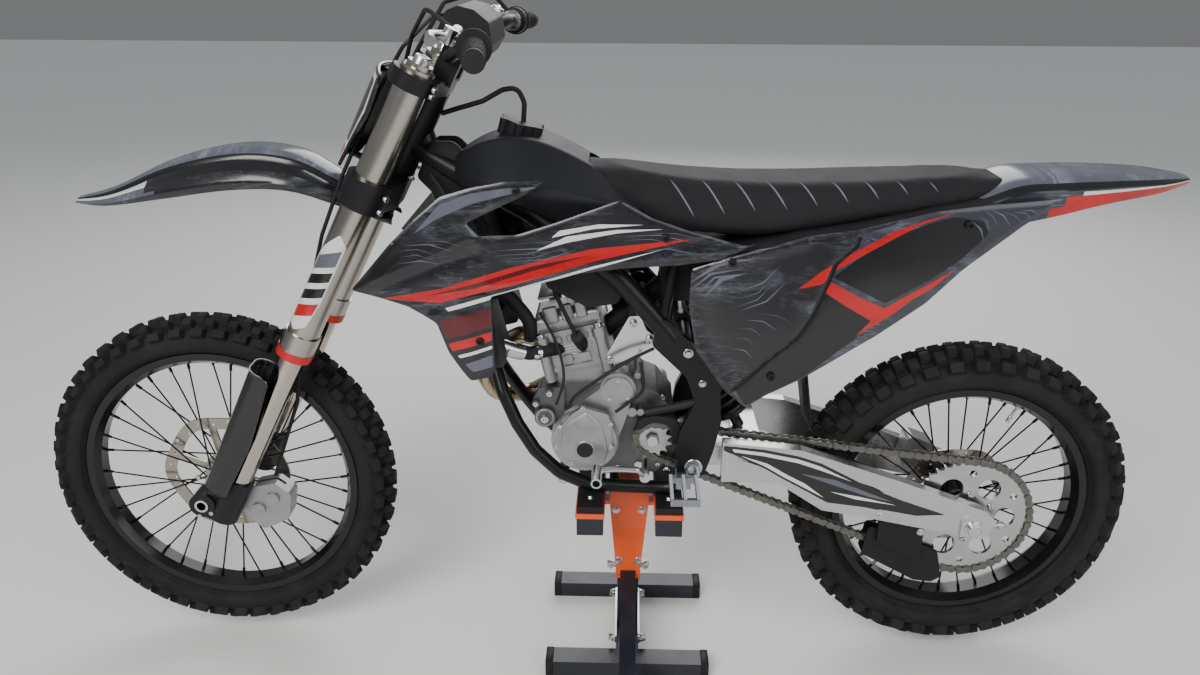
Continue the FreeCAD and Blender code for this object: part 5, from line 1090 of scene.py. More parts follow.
def hexagon_head() -> Shape:
    """Makes a six-sided bolt head of radius 1 mm on a washer, standing on the origin."""
    washer = turned(((-0.3, 1.15), (0.14, 1.15), (0.18, 1.1)), Vector(), UP, 20)
    head = turned(((0.1, 0.9), (0.75, 0.9), (0.88, 0.78), (0.9, 0.5)), Vector(), UP, 6)
    return washer.join(head)


@dataclass(frozen=True)
class KnobRow:
    """One place across the tread that has a knob in each repeat of the pattern."""

    lean: float
    length: float
    width: float
    shift: float = 0.0
    split: bool = False


@dataclass(frozen=True)
class Tyre:
    """A knobbly tyre: a smooth carcass with ribs at its beads, and rows of knobs."""

    name: str
    body: Body
    centre: Place
    radius: float
    arc: float
    lug: float
    repeats: int
    section: Line
    knobs: Sequence[KnobRow]
    steps: int = 144
    knob_cut: float = 1.8

    def carcass(self) -> Shape:
        """Turns the carcass' section round the axle."""
        half = curve_through([Vector((y, r, 0)) for y, r in self.section], 3.2)
        half = [Vector((point.x, point.y)) for point in half]
        whole = half + [Vector((-point.x, point.y)) for point in reversed(half[:-1])]
        centre = at(*self.centre)
        turns = [2 * math.pi * k / self.steps for k in range(self.steps)]
        rings = [[centre + Vector((point.y * math.cos(turn), point.x, point.y * math.sin(turn))) * MM
                  for point in whole] for turn in turns]
        return loft(rings + [rings[0]], capped=False)

    def knob(self, row: KnobRow) -> Shape:
        """Makes one knob with a flared foot, softened edges and a slightly bowed top."""
        foot = self.arc - self.lug - 3.0
        parts = []
        spans = ((-1.0, -0.1), (0.1, 1.0)) if row.split else ((-1.0, 1.0),)
        for low, high in spans:
            middle, half_width = (low + high) / 2 * row.width / 2, (high - low) / 2 * row.width / 2
            rings = []
            for height, grow in ((foot, 1.22), (foot + 5.5, 1.04), (self.arc - 1.6, 0.9),
                                 (self.arc - 0.4, 0.86), (self.arc, 0.76)):
                corners = chamfered(row.length / 2 * grow, half_width * grow, self.knob_cut)
                rings.append([Vector((along, middle + across, height)) for along, across in corners])
            parts.append(loft(rings))
        lean = Matrix.Rotation(math.radians(-row.lean), 4, "X")
        lift = Matrix.Translation((0, 0, self.radius - self.arc))
        turn = Matrix.Rotation(2 * math.pi * row.shift / self.repeats, 4, "Y")
        return Shape().join(*parts).moved(Matrix.Scale(MM, 4) @ turn @ lift @ lean)

    def build(self, shop: Workshop) -> None:
        """Makes the carcass and its knobs.

        Args:
            shop: the workshop.
        """
        shop.piece(self.name + "_carcass", self.carcass(), [Finishes.TYRE], self.body, "tyre", [self.name])
        pattern = Shape().join(*[self.knob(row) for row in self.knobs])
        mesh = shop.instancer.round_wheel(self.name + "_knobs", pattern, self.repeats, at(*self.centre),
                                          shop.paint(Finishes.TYRE))
        shop.settle(self.name + "_knobs", mesh, self.body)


FRONT_TYRE = Tyre(
    "front_tyre", Body.FRONT_WHEEL, FRONT_AXLE, 350, 50, 13, 48,
    ((23.4, 267), (23.3, 272), (23.4, 277), (29, 279), (31.5, 282), (36, 284), (40, 290), (41, 297), (38.5, 308),
     (32, 318.5), (22, 328), (11, 334.5), (0, 337)),
    (KnobRow(0, 18, 25), KnobRow(-57, 27, 17), KnobRow(57, 27, 17),
     KnobRow(-28, 19, 18, 0.5), KnobRow(28, 19, 18, 0.5)))
REAR_TYRE = Tyre(
    "rear_tyre", Body.REAR_WHEEL, REAR_AXLE, 333, 62, 15, 40,
    ((29.4, 241.5), (29.3, 247), (29.4, 251.5), (37, 253.5), (41, 257), (48, 260), (53, 266), (53.5, 274),
     (50, 285), (41, 295), (29, 305), (15, 314), (0, 318)),
    (KnobRow(0, 20, 38, 0.0, True), KnobRow(-53, 29, 22), KnobRow(53, 29, 22),
     KnobRow(-26, 21, 25, 0.5), KnobRow(26, 21, 25, 0.5)))


@dataclass(frozen=True)
class ChainDrive:
    """The roller chain: outer and inner links with pins and rollers round the two sprockets."""

    front: Flat = (873, 508)
    rear: Flat = REAR_AXLE[::2]
    pitch: float = 15.875
    front_teeth: int = 13
    rear_teeth: int = 48
    line: float = -80.0

    def pins(self) -> list[Flat]:
        """Gives the pins' places round the loop."""
        small = self.pitch / (2 * math.sin(math.pi / self.front_teeth))
        large = self.pitch / (2 * math.sin(math.pi / self.rear_teeth))
        front, rear = Vector(self.front), Vector(self.rear)
        gap = rear - front
        heading = math.atan2(gap.y, gap.x)
        spread = math.acos((large - small) / gap.length)
        top, bottom = heading + math.pi - spread, heading - math.pi + spread
        start, end = (Vector((math.cos(turn), math.sin(turn))) for turn in (top, bottom))
        run = ((rear + start * large) - (front + start * small)).length
        small_turn = (bottom - top) % (2 * math.pi)
        rear_arc, front_arc = large * (2 * math.pi - small_turn), small * small_turn
        total = 2 * run + rear_arc + front_arc
        links = 2 * round(total / self.pitch / 2)
        made = []
        for k in range(links):
            along = total * k / links
            if along < run:
                place = front + start * small + (rear + start * large - front - start * small) * (along / run)
            elif along < run + rear_arc:
                turn = top - (along - run) / large
                place = rear + Vector((math.cos(turn), math.sin(turn))) * large
            elif along < 2 * run + rear_arc:
                share = (along - run - rear_arc) / run
                place = rear + end * large + (front + end * small - rear - end * large) * share
            else:
                turn = bottom - (along - 2 * run - rear_arc) / small
                place = front + Vector((math.cos(turn), math.sin(turn))) * small
            made.append((place.x, place.y))
        return made

    def plate(self, across: float, reach: float) -> Shape:
        """Makes one waisted side plate with rounded ends; across is its middle, reach its half height."""
        half = self.pitch / 2
        outline = []
        for end in (-1, 1):
            for k in range(7):
                turn = math.radians(-90 + 30 * k) if end > 0 else math.radians(90 + 30 * k)
                outline.append((end * half + reach * math.cos(turn), reach * math.sin(turn)))
            outline.append((0.0, reach * 0.66 * end))
        return loft([[Vector((x * grow, across + away, z * grow)) * MM for x, z in outline]
                     for away, grow in ((-0.95, 0.93), (-0.75, 1.0), (0.75, 1.0), (0.95, 0.93))])

    def link(self, outer: bool) -> Shape:
        """Makes one link about its middle: two plates, and its pins or rollers."""
        away = 6.9 if outer else 4.7
        made = Shape().join(self.plate(-away, 7.2), self.plate(away, 7.2))
        for end in (-1, 1):
            middle = end * self.pitch / 2
            reach, radius = (8.3, 2.4) if outer else (3.6, 5.0)
            made.join(rod(Vector((middle, -reach, 0)) * MM, Vector((middle, reach, 0)) * MM, radius, 10, 0.4))
        return made

    def build(self, shop: Workshop) -> None:
        """Makes the outer links, which stand for the CAD chain, and the inner ones.

        Args:
            shop: the workshop.
        """
        pins = self.pins()
        for first, name in enumerate(("chain_outer_links", "chain_inner_links")):
            spots = []
            for k in range(first, len(pins), 2):
                (ax, az), (bx, bz) = pins[k], pins[(k + 1) % len(pins)]
                turn = -math.atan2(bz - az, bx - ax)
                spots.append((at((ax + bx) / 2, self.line, (az + bz) / 2), (0, turn, 0), (1, 1, 1)))
            mesh = shop.instancer.on_points(name, self.link(first == 0), spots, shop.paint(Finishes.CHAIN))
            shop.settle(name, mesh, Body.ROOT, ["chain"] if first == 0 else [])


@dataclass(frozen=True)
class SidePlan:
    """A side surface that bows in plan and leans from a low arc to a high one."""

    low: Line
    high: Line
    span: Flat
    side: int = -1

    @staticmethod
    def bow(three: Line, x: float) -> float:
        """Gives a smooth curve's value through three points."""
        (a, p), (b, q), (c, r) = three
        return (p * (x - b) * (x - c) / ((a - b) * (a - c)) + q * (x - a) * (x - c) / ((b - a) * (b - c))
                + r * (x - a) * (x - b) / ((c - a) * (c - b)))

    def __call__(self, x: float, z: float) -> Vector:
        """Gives the surface's place beside a flat point."""
        share = (z - self.span[0]) / (self.span[1] - self.span[0])
        y = (1 - share) * self.bow(self.low, x) + share * self.bow(self.high, x)
        return at(x, y, z)


def strokes(ink: Ink, start: Line, end: Line, count: int, width: float, bow: float) -> Design:
    """Gives a row of thin strokes in one ink."""
    return tuple((ink, outline) for outline in slivers(start, end, count, width, bow))


@dataclass(frozen=True)
class Shrouds:
    """The radiator shrouds with their notch, creases and printed design, with painted shade in darker red on the red
    print.
    """

    outline: Line = (
        (352, 842), (419, 919), (461, 960), (507, 999), (557, 1013), (615, 1023), (682, 1024), (643, 998), (599, 978),
        (548, 954), (568, 932), (632, 933), (695, 952), (806, 990), (858, 960), (915, 939), (1020, 908), (1041, 912),
        (986, 885), (908, 876), (808, 872), (732, 863), (655, 845), (585, 826), (590, 700), (586, 681), (547, 674),
        (532, 694), (511, 727), (492, 781), (446, 811), (407, 825))
    design: Design = (
        (Ink.BLACK, ((340, 836), (362, 838), (398, 862), (434, 892), (452, 918), (420, 924), (380, 880))),
        (Ink.GREY, ((462, 938), (500, 962), (556, 986), (612, 1000), (676, 1014), (612, 1012), (556, 1004),
            (505, 986))),
        (Ink.BLACK, ((360, 836), (407, 824), (448, 815), (493, 819), (542, 827), (586, 831), (586, 836), (542, 831.5),
            (493, 823), (448, 819), (407, 828))),
        (Ink.BLACK, ((360, 839), (434, 877), (499, 908), (548, 931), (566, 932), (548, 927), (499, 904.5),
            (434, 873.5))),
        *strokes(Ink.GREY, ((414, 884), (470, 926)), ((520, 880), (560, 912)), 5, 2.4, 7),
        *strokes(Ink.GREY, ((600, 880), (620, 920)), ((760, 910), (800, 940)), 5, 2.4, -7),
        *strokes(Ink.GREY, ((820, 900), (830, 935)), ((960, 890), (980, 915)), 5, 2.2, 8),
        (Ink.RED, ((404, 827), (500, 817), (620, 846), (760, 886), (930, 922), (760, 908), (620, 877), (500, 842))),
        # Painted shade: darker red inside the red swoosh.
        (Ink.DEEP_RED, ((470, 829), (560, 842), (660, 872), (760, 898), (660, 880), (560, 850))),
        (Ink.WHITE, ((508, 808), (620, 838), (760, 878), (880, 905), (760, 873), (620, 831), (513, 802))),
        # Painted shade: darker red above the red band on the lower wing.
        (Ink.DEEP_RED, ((498, 786), (586, 806), (586, 772), (508, 752))),
        (Ink.RED, ((511, 744), (586, 764), (586, 748), (518, 730))),
        (Ink.WHITE, ((526, 722), (586, 739), (586, 733), (530, 717))),
        (Ink.GREY, ((538, 706), (586, 722), (586, 700), (552, 692))),
        (Ink.WHITE, ((664, 906), (720, 920), (800, 934), (880, 940), (800, 940), (716, 930))),
        (Ink.WHITE, ((690, 928), (760, 942), (846, 948), (770, 950), (704, 940))))
    creases: Sequence[Ridge] = (
        Ridge(((360, 838), (434, 876), (499, 907), (548, 930)), 13, 3.4),
        Ridge(((360, 838), (434, 862), (499, 884), (560, 900)), 10, -2.2),
        Ridge(((470, 800), (520, 824), (580, 835)), 7, -2.4),
        Ridge(((560, 690), (548, 740), (545, 790)), 22, 3.5),
        Ridge(((590, 846), (655, 858), (732, 874), (808, 884), (908, 890), (1010, 904)), 9, 2.6),
        Ridge(((600, 955), (650, 975), (700, 992)), 12, 2.0))

    def build(self, shop: Workshop) -> None:
        """Makes both shrouds as one piece and bolts them on.

        Args:
            shop: the workshop.
        """
        plan = SidePlan(((340, -205), (640, -182), (1050, -134)), ((340, -188), (640, -160), (1050, -124)),
                        (660, 1030))
        left = Sheet(self.outline, plan, self.design, self.creases, spacing=8, back=Ink.BLACK).shape()
        shop.piece("shroud_pair", left.both(), PRINTS, Body.ROOT, "panel", ["shrouds"])
        spots = []
        for x, z in ((633, 1008), (566, 748), (884, 925)):
            place = plan(x, z) + Vector((0, -0.0016, 0))
            spots += [(place, Vector((0, -1, 0.05)), 7.0), (place * MIRROR, Vector((0, 1, 0.05)), 7.0)]
        shop.bolts("shroud_bolts", spots, Finishes.BLACK_ANODISED, Body.ROOT)


@dataclass(frozen=True)
class SidePanels:
    """The side number panels with their red bands and blank dark fields."""

    outline: Line = (
        (930, 866), (1000, 890), (1124, 926), (1216, 940), (1346, 970), (1426, 979), (1563, 989), (1496, 943),
        (1401, 867), (1342, 807), (1260, 747), (1132, 665), (1072, 634), (1036, 610), (997, 642), (942, 719),
        (928, 800))
    design: Design = (
        (Ink.TAIL, ((1215, 927), (1210, 910), (1177, 880), (1166, 848), (1145, 792), (1119, 747), (1068, 701),
            (1012, 640), (1036, 600), (1132, 660), (1260, 742), (1342, 800), (1401, 860), (1500, 935), (1575, 995),
            (1426, 985), (1346, 976))),
        (Ink.BLACK, ((1119, 747), (1145, 792), (1166, 848), (1200, 826), (1262, 796), (1222, 742), (1132, 668),
            (1072, 638), (1036, 614), (1014, 646), (1068, 701))),
        (Ink.BLACK, ((1174, 856), (1222, 832), (1268, 808), (1300, 826), (1346, 852), (1392, 884), (1436, 930),
            (1424, 952), (1372, 960), (1330, 948), (1272, 926), (1214, 888))),
        (Ink.RED, ((1115, 834), (1154, 866), (1193, 891), (1270, 935), (1328, 955), (1372, 966), (1317, 947),
            (1271, 922), (1213, 889), (1178, 868), (1156, 843))),
        (Ink.RED, ((1164, 841), (1172, 847), (1220, 821), (1268, 799), (1295, 816), (1342, 842), (1384, 867),
            (1355, 839), (1316, 814), (1282, 786), (1223, 748), (1247, 776), (1201, 803), (1161, 829))),
        (Ink.BLACK, ((1211, 927), (1206, 911), (1173, 881), (1162, 849), (1141, 793), (1115, 748), (1064, 702),
            (1008, 648), (1013, 644), (1069, 698), (1121, 744), (1148, 790), (1170, 846), (1181, 877), (1214, 908),
            (1219, 927))),
        *strokes(Ink.GREY, ((1390, 962), (1480, 972)), ((1430, 900), (1530, 960)), 7, 3.0, 6),
        *strokes(Ink.GREY, ((938, 800), (946, 862)), ((1040, 868), (1090, 912)), 5, 9.0, 14),
        *strokes(Ink.GREY, ((1000, 824), (1030, 800)), ((1096, 890), (1120, 862)), 4, 3.0, -10),
        *strokes(Ink.GREY, ((990, 720), (1050, 790)), ((1050, 690), (1120, 770)), 5, 2.0, 8))
    creases: Sequence[Ridge] = (
        Ridge(((1215, 927), (1210, 910), (1177, 880), (1166, 848), (1145, 792), (1119, 747), (1068, 701),
            (1012, 647)), 3.0, -1.8),
        Ridge(((1120, 760), (1180, 820), (1260, 860)), 70, 5.0),
        Ridge(((940, 800), (960, 740), (1000, 680)), 22, -3.0),
        Ridge(((950, 872), (1030, 892), (1124, 918)), 8, 2.2))
    silencer_room: Line = (
        (860, 690), (919, 727), (1030, 785), (1039, 827), (1526, 961), (1640, 985), (1640, 500), (860, 500))

    def build(self, shop: Workshop) -> None:
        """Makes both panels; the right one ends above the silencer.

        Args:
            shop: the workshop.
        """
        plan = SidePlan(((900, -150), (1200, -144), (1580, -108)), ((900, -122), (1200, -124), (1580, -98)),
                        (590, 1000))
        left = Sheet(self.outline, plan, self.design, self.creases, spacing=9, back=Ink.BLACK).shape()
        shop.piece("side_panel_left", left, PRINTS, Body.ROOT, "panel", ["side_panels"])
        cut = (*self.design, (Ink.CUT, self.silencer_room))
        right = Sheet(self.outline, plan, cut, self.creases, spacing=9, back=Ink.BLACK).shape().mirrored()
        shop.piece("side_panel_right", right, PRINTS, Body.ROOT, "panel")
        spots = []
        for x, z in ((1000, 880), (1400, 946), (1078, 672)):
            place = plan(x, z) + Vector((0, -0.0018, 0))
            spots.append((place, LEFT, 7.5))
            if z > 800:
                spots.append((place * MIRROR, RIGHT, 7.5))
        shop.bolts("side_panel_bolts", spots, Finishes.BLACK_ANODISED, Body.ROOT)


def smooth_rows(rows: Sequence[Sequence[float]], steps: int) -> list[list[float]]:
    """Fills smooth rows in between the rows of a table."""
    table = np.array(rows, float)
    made = []
    for i in range(len(table) - 1):
        four = table[max(i - 1, 0)], table[i], table[i + 1], table[min(i + 2, len(table) - 1)]
        made.extend(list(between(four, k / steps)) for k in range(steps))
    made.append(list(table[-1]))
    return made


@dataclass(frozen=True)
class Mudguard:
    """A folded mudguard: rows of half width and heights along its length, and inks across it."""

    name: str
    node: str
    body: Body
    rows: Sequence[Sequence[float]]
    inks: Callable[[float, int], Ink]
    section: Callable[[Sequence[float]], list[Flat]]
    wall: float = 3.2
    steps: int = 6

    def shape(self) -> Shape:
        """Builds the outer and inner skins, joined at their edges."""
        rings, inner = [], []
        rows = smooth_rows(self.rows, self.steps)
        for row in rows:
            half = self.section(row)
            across = [(-y, z) for y, z in reversed(half[1:])] + list(half)
            rings.append([at(row[0], y, z) for y, z in across])
            lean = []
            for i, (y, z) in enumerate(across):
                before, after = across[max(i - 1, 0)], across[min(i + 1, len(across) - 1)]
                run = Vector((after[0] - before[0], after[1] - before[1])).normalized()
                lean.append(at(row[0], y + run.y * self.wall, z - run.x * self.wall))
            inner.append(lean)
        made = Shape()
        width = len(rings[0])
        count = width * len(rings)
        made.points = [point for ring in rings + inner for point in ring]
        side = (width - 1) // 2
        for r in range(len(rings) - 1):
            for i in range(width - 1):
                mark = self.inks(rows[r][0], side - 1 - i if i < side else i - side).value
                a, b = r * width + i, r * width + i + 1
                quad = (a, b, b + width, a + width)
                made.faces += [quad, tuple(count + number for number in reversed(quad))]
                made.marks += [mark, Ink.BLACK.value]
        edges = [(i + start, i + width + start) for start in (0, width - 1) for i in range(0, count - width, width)]
        edges += [(i + start, i + start + 1) for start in (0, count - width) for i in range(width - 1)]
        for a, b in edges:
            made.faces.append((a, b, count + b, count + a))
            made.marks.append(Ink.BLACK.value)
        return made


def front_section(row: Sequence[float]) -> list[Flat]:
    """Gives the front mudguard's half section: crown, ridge, groove, lower bevel and edge."""
    _, half, edge, crown = row
    drop = crown - edge
    ridge = crown - 0.16 * drop
    groove = ridge - min(10, 0.24 * drop)
    return [(share * half, z) for share, z in (
        (0, crown), (0.2, crown - 0.01 * drop), (0.38, crown - 0.07 * drop), (0.5, ridge),
        (0.545, ridge - 0.5 * (ridge - groove)), (0.56, groove), (0.66, groove + 0.02 * drop),
        (0.86, edge + 0.48 * drop), (0.97, edge + 0.3 * drop), (1, edge + 0.2 * drop),
        (0.97, edge + 0.06 * drop), (0.93, edge))]


def rear_section(row: Sequence[float]) -> list[Flat]:
    """Gives the rear mudguard's half section: crown, crease and tucked side."""
    _, half, edge, crease, crown = row
    drop, tuck = crown - crease, crease - edge
    return [(share * half, z) for share, z in (
        (0, crown), (0.25, crown - 0.03 * drop), (0.5, crown - 0.12 * drop), (0.68, crown - 0.24 * drop),
        (0.86, crown - 0.5 * drop), (0.97, crease + 0.2 * drop), (1, crease), (0.98, crease - 0.2 * tuck),
        (0.94, crease - 0.6 * tuck), (0.88, edge))]


def front_inks(x: float, band: int) -> Ink:
    """Gives the ink of one band of the front mudguard, counted from its crown."""
    # The crown's bands take the pale print, which also paints the sheen on the mudguard's top.
    if band < 3:
        return Ink.PALE
    if band < 7:
        return Ink.BLACK if band < 5 or x > 30 * band - 230 else Ink.WHITE
    return Ink.PALE if band < 9 and x < 30 * band - 270 else Ink.GROUND


def rear_inks(x: float, band: int) -> Ink:
    """Gives the ink of one band of the rear mudguard, counted from its crown."""
    # The crown's bands take the pale print, which also paints the sheen on the mudguard's top.
    if band < 4:
        return Ink.PALE
    if band < 6:
        return Ink.BLACK
    if x < 1540 + 24 * (8 - band):
        return Ink.TAIL
    return Ink.WHITE if band == 6 else Ink.RED


FRONT_MUDGUARD = Mudguard(
    "front_mudguard", "front_fender", Body.STEERING,
    ((-193, 22, 944, 952), (-120, 52, 946, 973), (0, 74, 966, 1026), (120, 84, 984, 1052), (220, 84, 984, 1044),
     (300, 66, 955, 1000), (392, 44, 914, 938)),
    front_inks, front_section)
REAR_MUDGUARD = Mudguard(
    "rear_mudguard", "rear_fender", Body.ROOT,
    ((1320, 78, 922, 944, 960), (1420, 84, 930, 966, 988), (1490, 90, 938, 991, 1018), (1556, 90, 952, 997, 1024),
     (1640, 84, 973, 1001, 1026), (1740, 64, 990, 1006, 1022), (1802, 30, 1001, 1008, 1013)),
    rear_inks, rear_section)


@dataclass(frozen=True)
class Mudguards:
    """Both mudguards, the inner mudguard before the rear wheel and their bolts."""

    flap: Line = ((-54, 812), (54, 812), (56, 700), (52, 640), (50, 521), (-50, 521), (-52, 640), (-56, 700))

    @staticmethod
    def flap_surface(across: float, up: float) -> Vector:
        """Gives the inner mudguard's face, bowed round the rear wheel."""
        line = ((812, 1127), (688, 1144), (631, 1153), (521, 1171))
        x = np.interp(-up, [-z for z, _ in line], [x for _, x in line])
        return at(float(x) + 6 * (across / 54) ** 2, across, up)

    def build(self, shop: Workshop) -> None:
        """Makes the mudguards.

        Args:
            shop: the workshop.
        """
        for guard in (FRONT_MUDGUARD, REAR_MUDGUARD):
            shop.piece(guard.name, guard.shape(), PRINTS, guard.body, "panel", [guard.node])
        flap = Sheet(self.flap, self.flap_surface, (), (
            Ridge(((-30, 790), (-28, 540)), 7, 2.0), Ridge(((30, 790), (28, 540)), 7, 2.0)), wall=3, turn=-1)
        shop.piece("inner_mudguard", flap.shape(), [Finishes.MATT_PLASTIC], Body.ROOT, "black_plastic")
        spots = [(steer(-14, side * 32, 655) + Vector((-0.012, 0, 0.012)), Vector((-0.3, 0, -1)), 6.0)
                 for side in SIDES]
        shop.bolts("front_mudguard_bolts", spots, Finishes.BOLT, Body.STEERING)


@dataclass(frozen=True)
class ForkGuards:
    """Rounded guards on the fork legs with a printed design."""

    rows: Sequence[Place] = ((46, -72, 34), (180, -76, 33), (324, -80, 32))
    soft: float = 20.0
    outline: Line = (
        (-72, 52), (-66, 47), (66, 47), (72, 52), (78, 180), (66, 316), (50, 323), (-50, 323), (-66, 316), (-78, 180))
    design: Design = (
        (Ink.WHITE, ((-50, 92), (-30, 128), (-4, 214), (10, 262), (-14, 222), (-38, 150))),
        (Ink.WHITE, ((-46, 76), (-24, 100), (4, 164), (14, 196), (-10, 150), (-34, 106))),
        (Ink.RED, ((-40, 66), (-16, 84), (12, 130), (16, 146), (-8, 116), (-32, 84))),
        (Ink.GREY, ((-40, 240), (-20, 258), (2, 296), (-8, 308), (-30, 280))),
        *strokes(Ink.GREY, ((-70, 90), (60, 100)), ((-50, 170), (80, 190)), 9, 3.0, 6),
        *strokes(Ink.GREY, ((-70, 190), (60, 200)), ((-40, 290), (90, 300)), 9, 3.0, -6))

    def surface(self, leg: int) -> Callable[[float, float], Vector]:
        """Gives a guard's face by girth from its front and height along the axis.

        Args:
            leg: the side of the bike.

        Returns:
            The surface.
        """
        def face(girth: float, along: float) -> Vector:
            """Gives the guard's face, flat in front and wrapped round both edges."""
            levels, fronts, halves = zip(*self.rows)
            front, half = (float(np.interp(along, levels, column)) for column in (fronts, halves))
            flat_half = half - self.soft
            away, sign = abs(girth), 1 if girth > 0 else -1
            turn = min(max((away - flat_half) / self.soft, 0.0), math.pi / 2)
            across = min(away, flat_half) + self.soft * math.sin(turn)
            inward = self.soft * (1 - math.cos(turn)) + max(away - flat_half - self.soft * math.pi / 2, 0.0)
            return steer(front + inward, leg * (FORK_SPREAD + 5) + sign * across, along)

        return face

    def build(self, shop: Workshop) -> None:
        """Makes both guards.

        Args:
            shop: the workshop.
        """
        made = Shape()
        for leg in SIDES:
            design = [(ink, [(leg * (62 - girth), along) for girth, along in shape]) for ink, shape in self.design]
            made.join(Sheet(self.outline, self.surface(leg), design, (Ridge(((0, 60), (0, 310)), 6, 1.2),),
                            spacing=6, wall=2.6, lip=1.6, lip_reach=5, back=Ink.BLACK).shape())
        shop.piece("fork_guard_pair", made, PRINTS, Body.STEERING, "panel", ["fork_guards"])


@dataclass(frozen=True)
class ForkDecals:
    """Pale decals wrapped round the forks' outer tubes and dark ones on the swingarm's sides."""

    radius: float = 29.75
    turn: float = 1.15
    arm_side: float = -122.7
    outline: Line = ((-22, 440), (-4, 432), (16, 448), (24, 500), (26, 618), (8, 636), (-24, 590), (-26, 500))
    design: Design = (
        (Ink.RED, ((-20, 452), (18, 474), (21, 500), (-22, 476))),
        (Ink.BLACK, ((-22, 488), (22, 514), (22, 534), (-22, 508))),
        (Ink.BLACK, ((-22, 520), (22, 546), (22, 566), (-22, 540))),
        (Ink.GREY, ((-21, 552), (22, 578), (22, 610), (-20, 580))))
    arm: Line = (
        (1004, 508), (1004, 518), (1080, 511), (1146, 498), (1191, 483), (1265, 444), (1305, 425), (1348, 407),
        (1434, 377), (1379, 374), (1324, 384), (1270, 392), (1206, 400), (1158, 428), (1120, 449), (1084, 471),
        (1030, 497))
    arm_design: Design = (
        (Ink.WHITE, ((1020, 512), (1080, 505), (1146, 492), (1187, 478), (1250, 446), (1187, 470), (1146, 484),
            (1080, 498), (1024, 505))),
        (Ink.WHITE, ((1036, 498), (1084, 476), (1120, 454), (1158, 433), (1200, 410), (1162, 440), (1124, 460),
            (1088, 482))),
        (Ink.GREY, ((1150, 462), (1210, 440), (1290, 412), (1330, 404), (1290, 420), (1216, 450))),
        (Ink.WHITE, ((1210, 424), (1260, 408), (1340, 396), (1266, 414))))

    def build(self, shop: Workshop) -> None:
        """Makes the decals.

        Args:
            shop: the workshop.
        """
        made = Shape()
        for leg in SIDES:
            def face(girth: float, along: float, leg: int = leg) -> Vector:
                """Gives a decal's face on its leg."""
                turn = leg * (self.turn + girth / self.radius)
                return steer(-22 - self.radius * math.cos(turn), leg * FORK_SPREAD + self.radius * math.sin(turn),
                             along)

            made.join(Sheet(self.outline, face, self.design, (), spacing=5, wall=0.2, lip=0.15, lip_reach=2,
                            corner=3, region_corner=1, turn=-leg).shape())
        shop.piece("fork_decals", made, (Finishes.WHITE_PRINT,) + PRINTS[1:], Body.STEERING, "panel")
        left = Sheet(self.arm, lambda x, z: at(x, self.arm_side, z), self.arm_design, (), spacing=9, wall=0.4,
                     lip=0.2, lip_reach=2, corner=5, region_corner=3, back=Ink.BLACK).shape()
        shop.piece("swingarm_decals", left.both(), (Finishes.BLACK_PRINT,) + PRINTS[1:], Body.ROOT, "panel")


@dataclass(frozen=True)
class NumberPlate:
    """The blank front number plate with its printed border, by width and height along the steering axis."""

    outline: Line = ((-74, 724), (74, 724), (112, 844), (96, 908), (-96, 908), (-112, 844))
    design: Design = (
        (Ink.WHITE, ((-70, 730), (70, 730), (104, 842), (90, 902), (-90, 902), (-104, 842))),
        (Ink.RED, ((-64, 738), (64, 738), (74, 764), (-74, 764))),
        (Ink.BLACK, ((-78, 774), (78, 774), (94, 842), (84, 892), (-84, 892), (-94, 842))))
    stays: Sequence[tuple[float, float, float]] = ((738, 738, -50), (896, 922, -49))

    def build(self, shop: Workshop) -> None:
        """Makes the plate.

        Args:
            shop: the workshop.
        """
        def face(across: float, along: float) -> Vector:
            """Gives the plate's bowed face."""
            return steer(-100 + 32 * (across / 118) ** 2, across, along)

        made = Sheet(self.outline, face, self.design, (Ridge(((0, 744), (0, 888)), 30, 1.5),),
                     spacing=8, corner=14, wall=3.6, turn=-1, back=Ink.BLACK).shape()
        for front, back, rear in self.stays:
            made.join(rod(steer(-97, 0, front), steer(rear, 0, back), 6).inked(Ink.BLACK))
        shop.piece("front_number_plate", made, PRINTS, Body.STEERING, "panel", ["number_plate"])


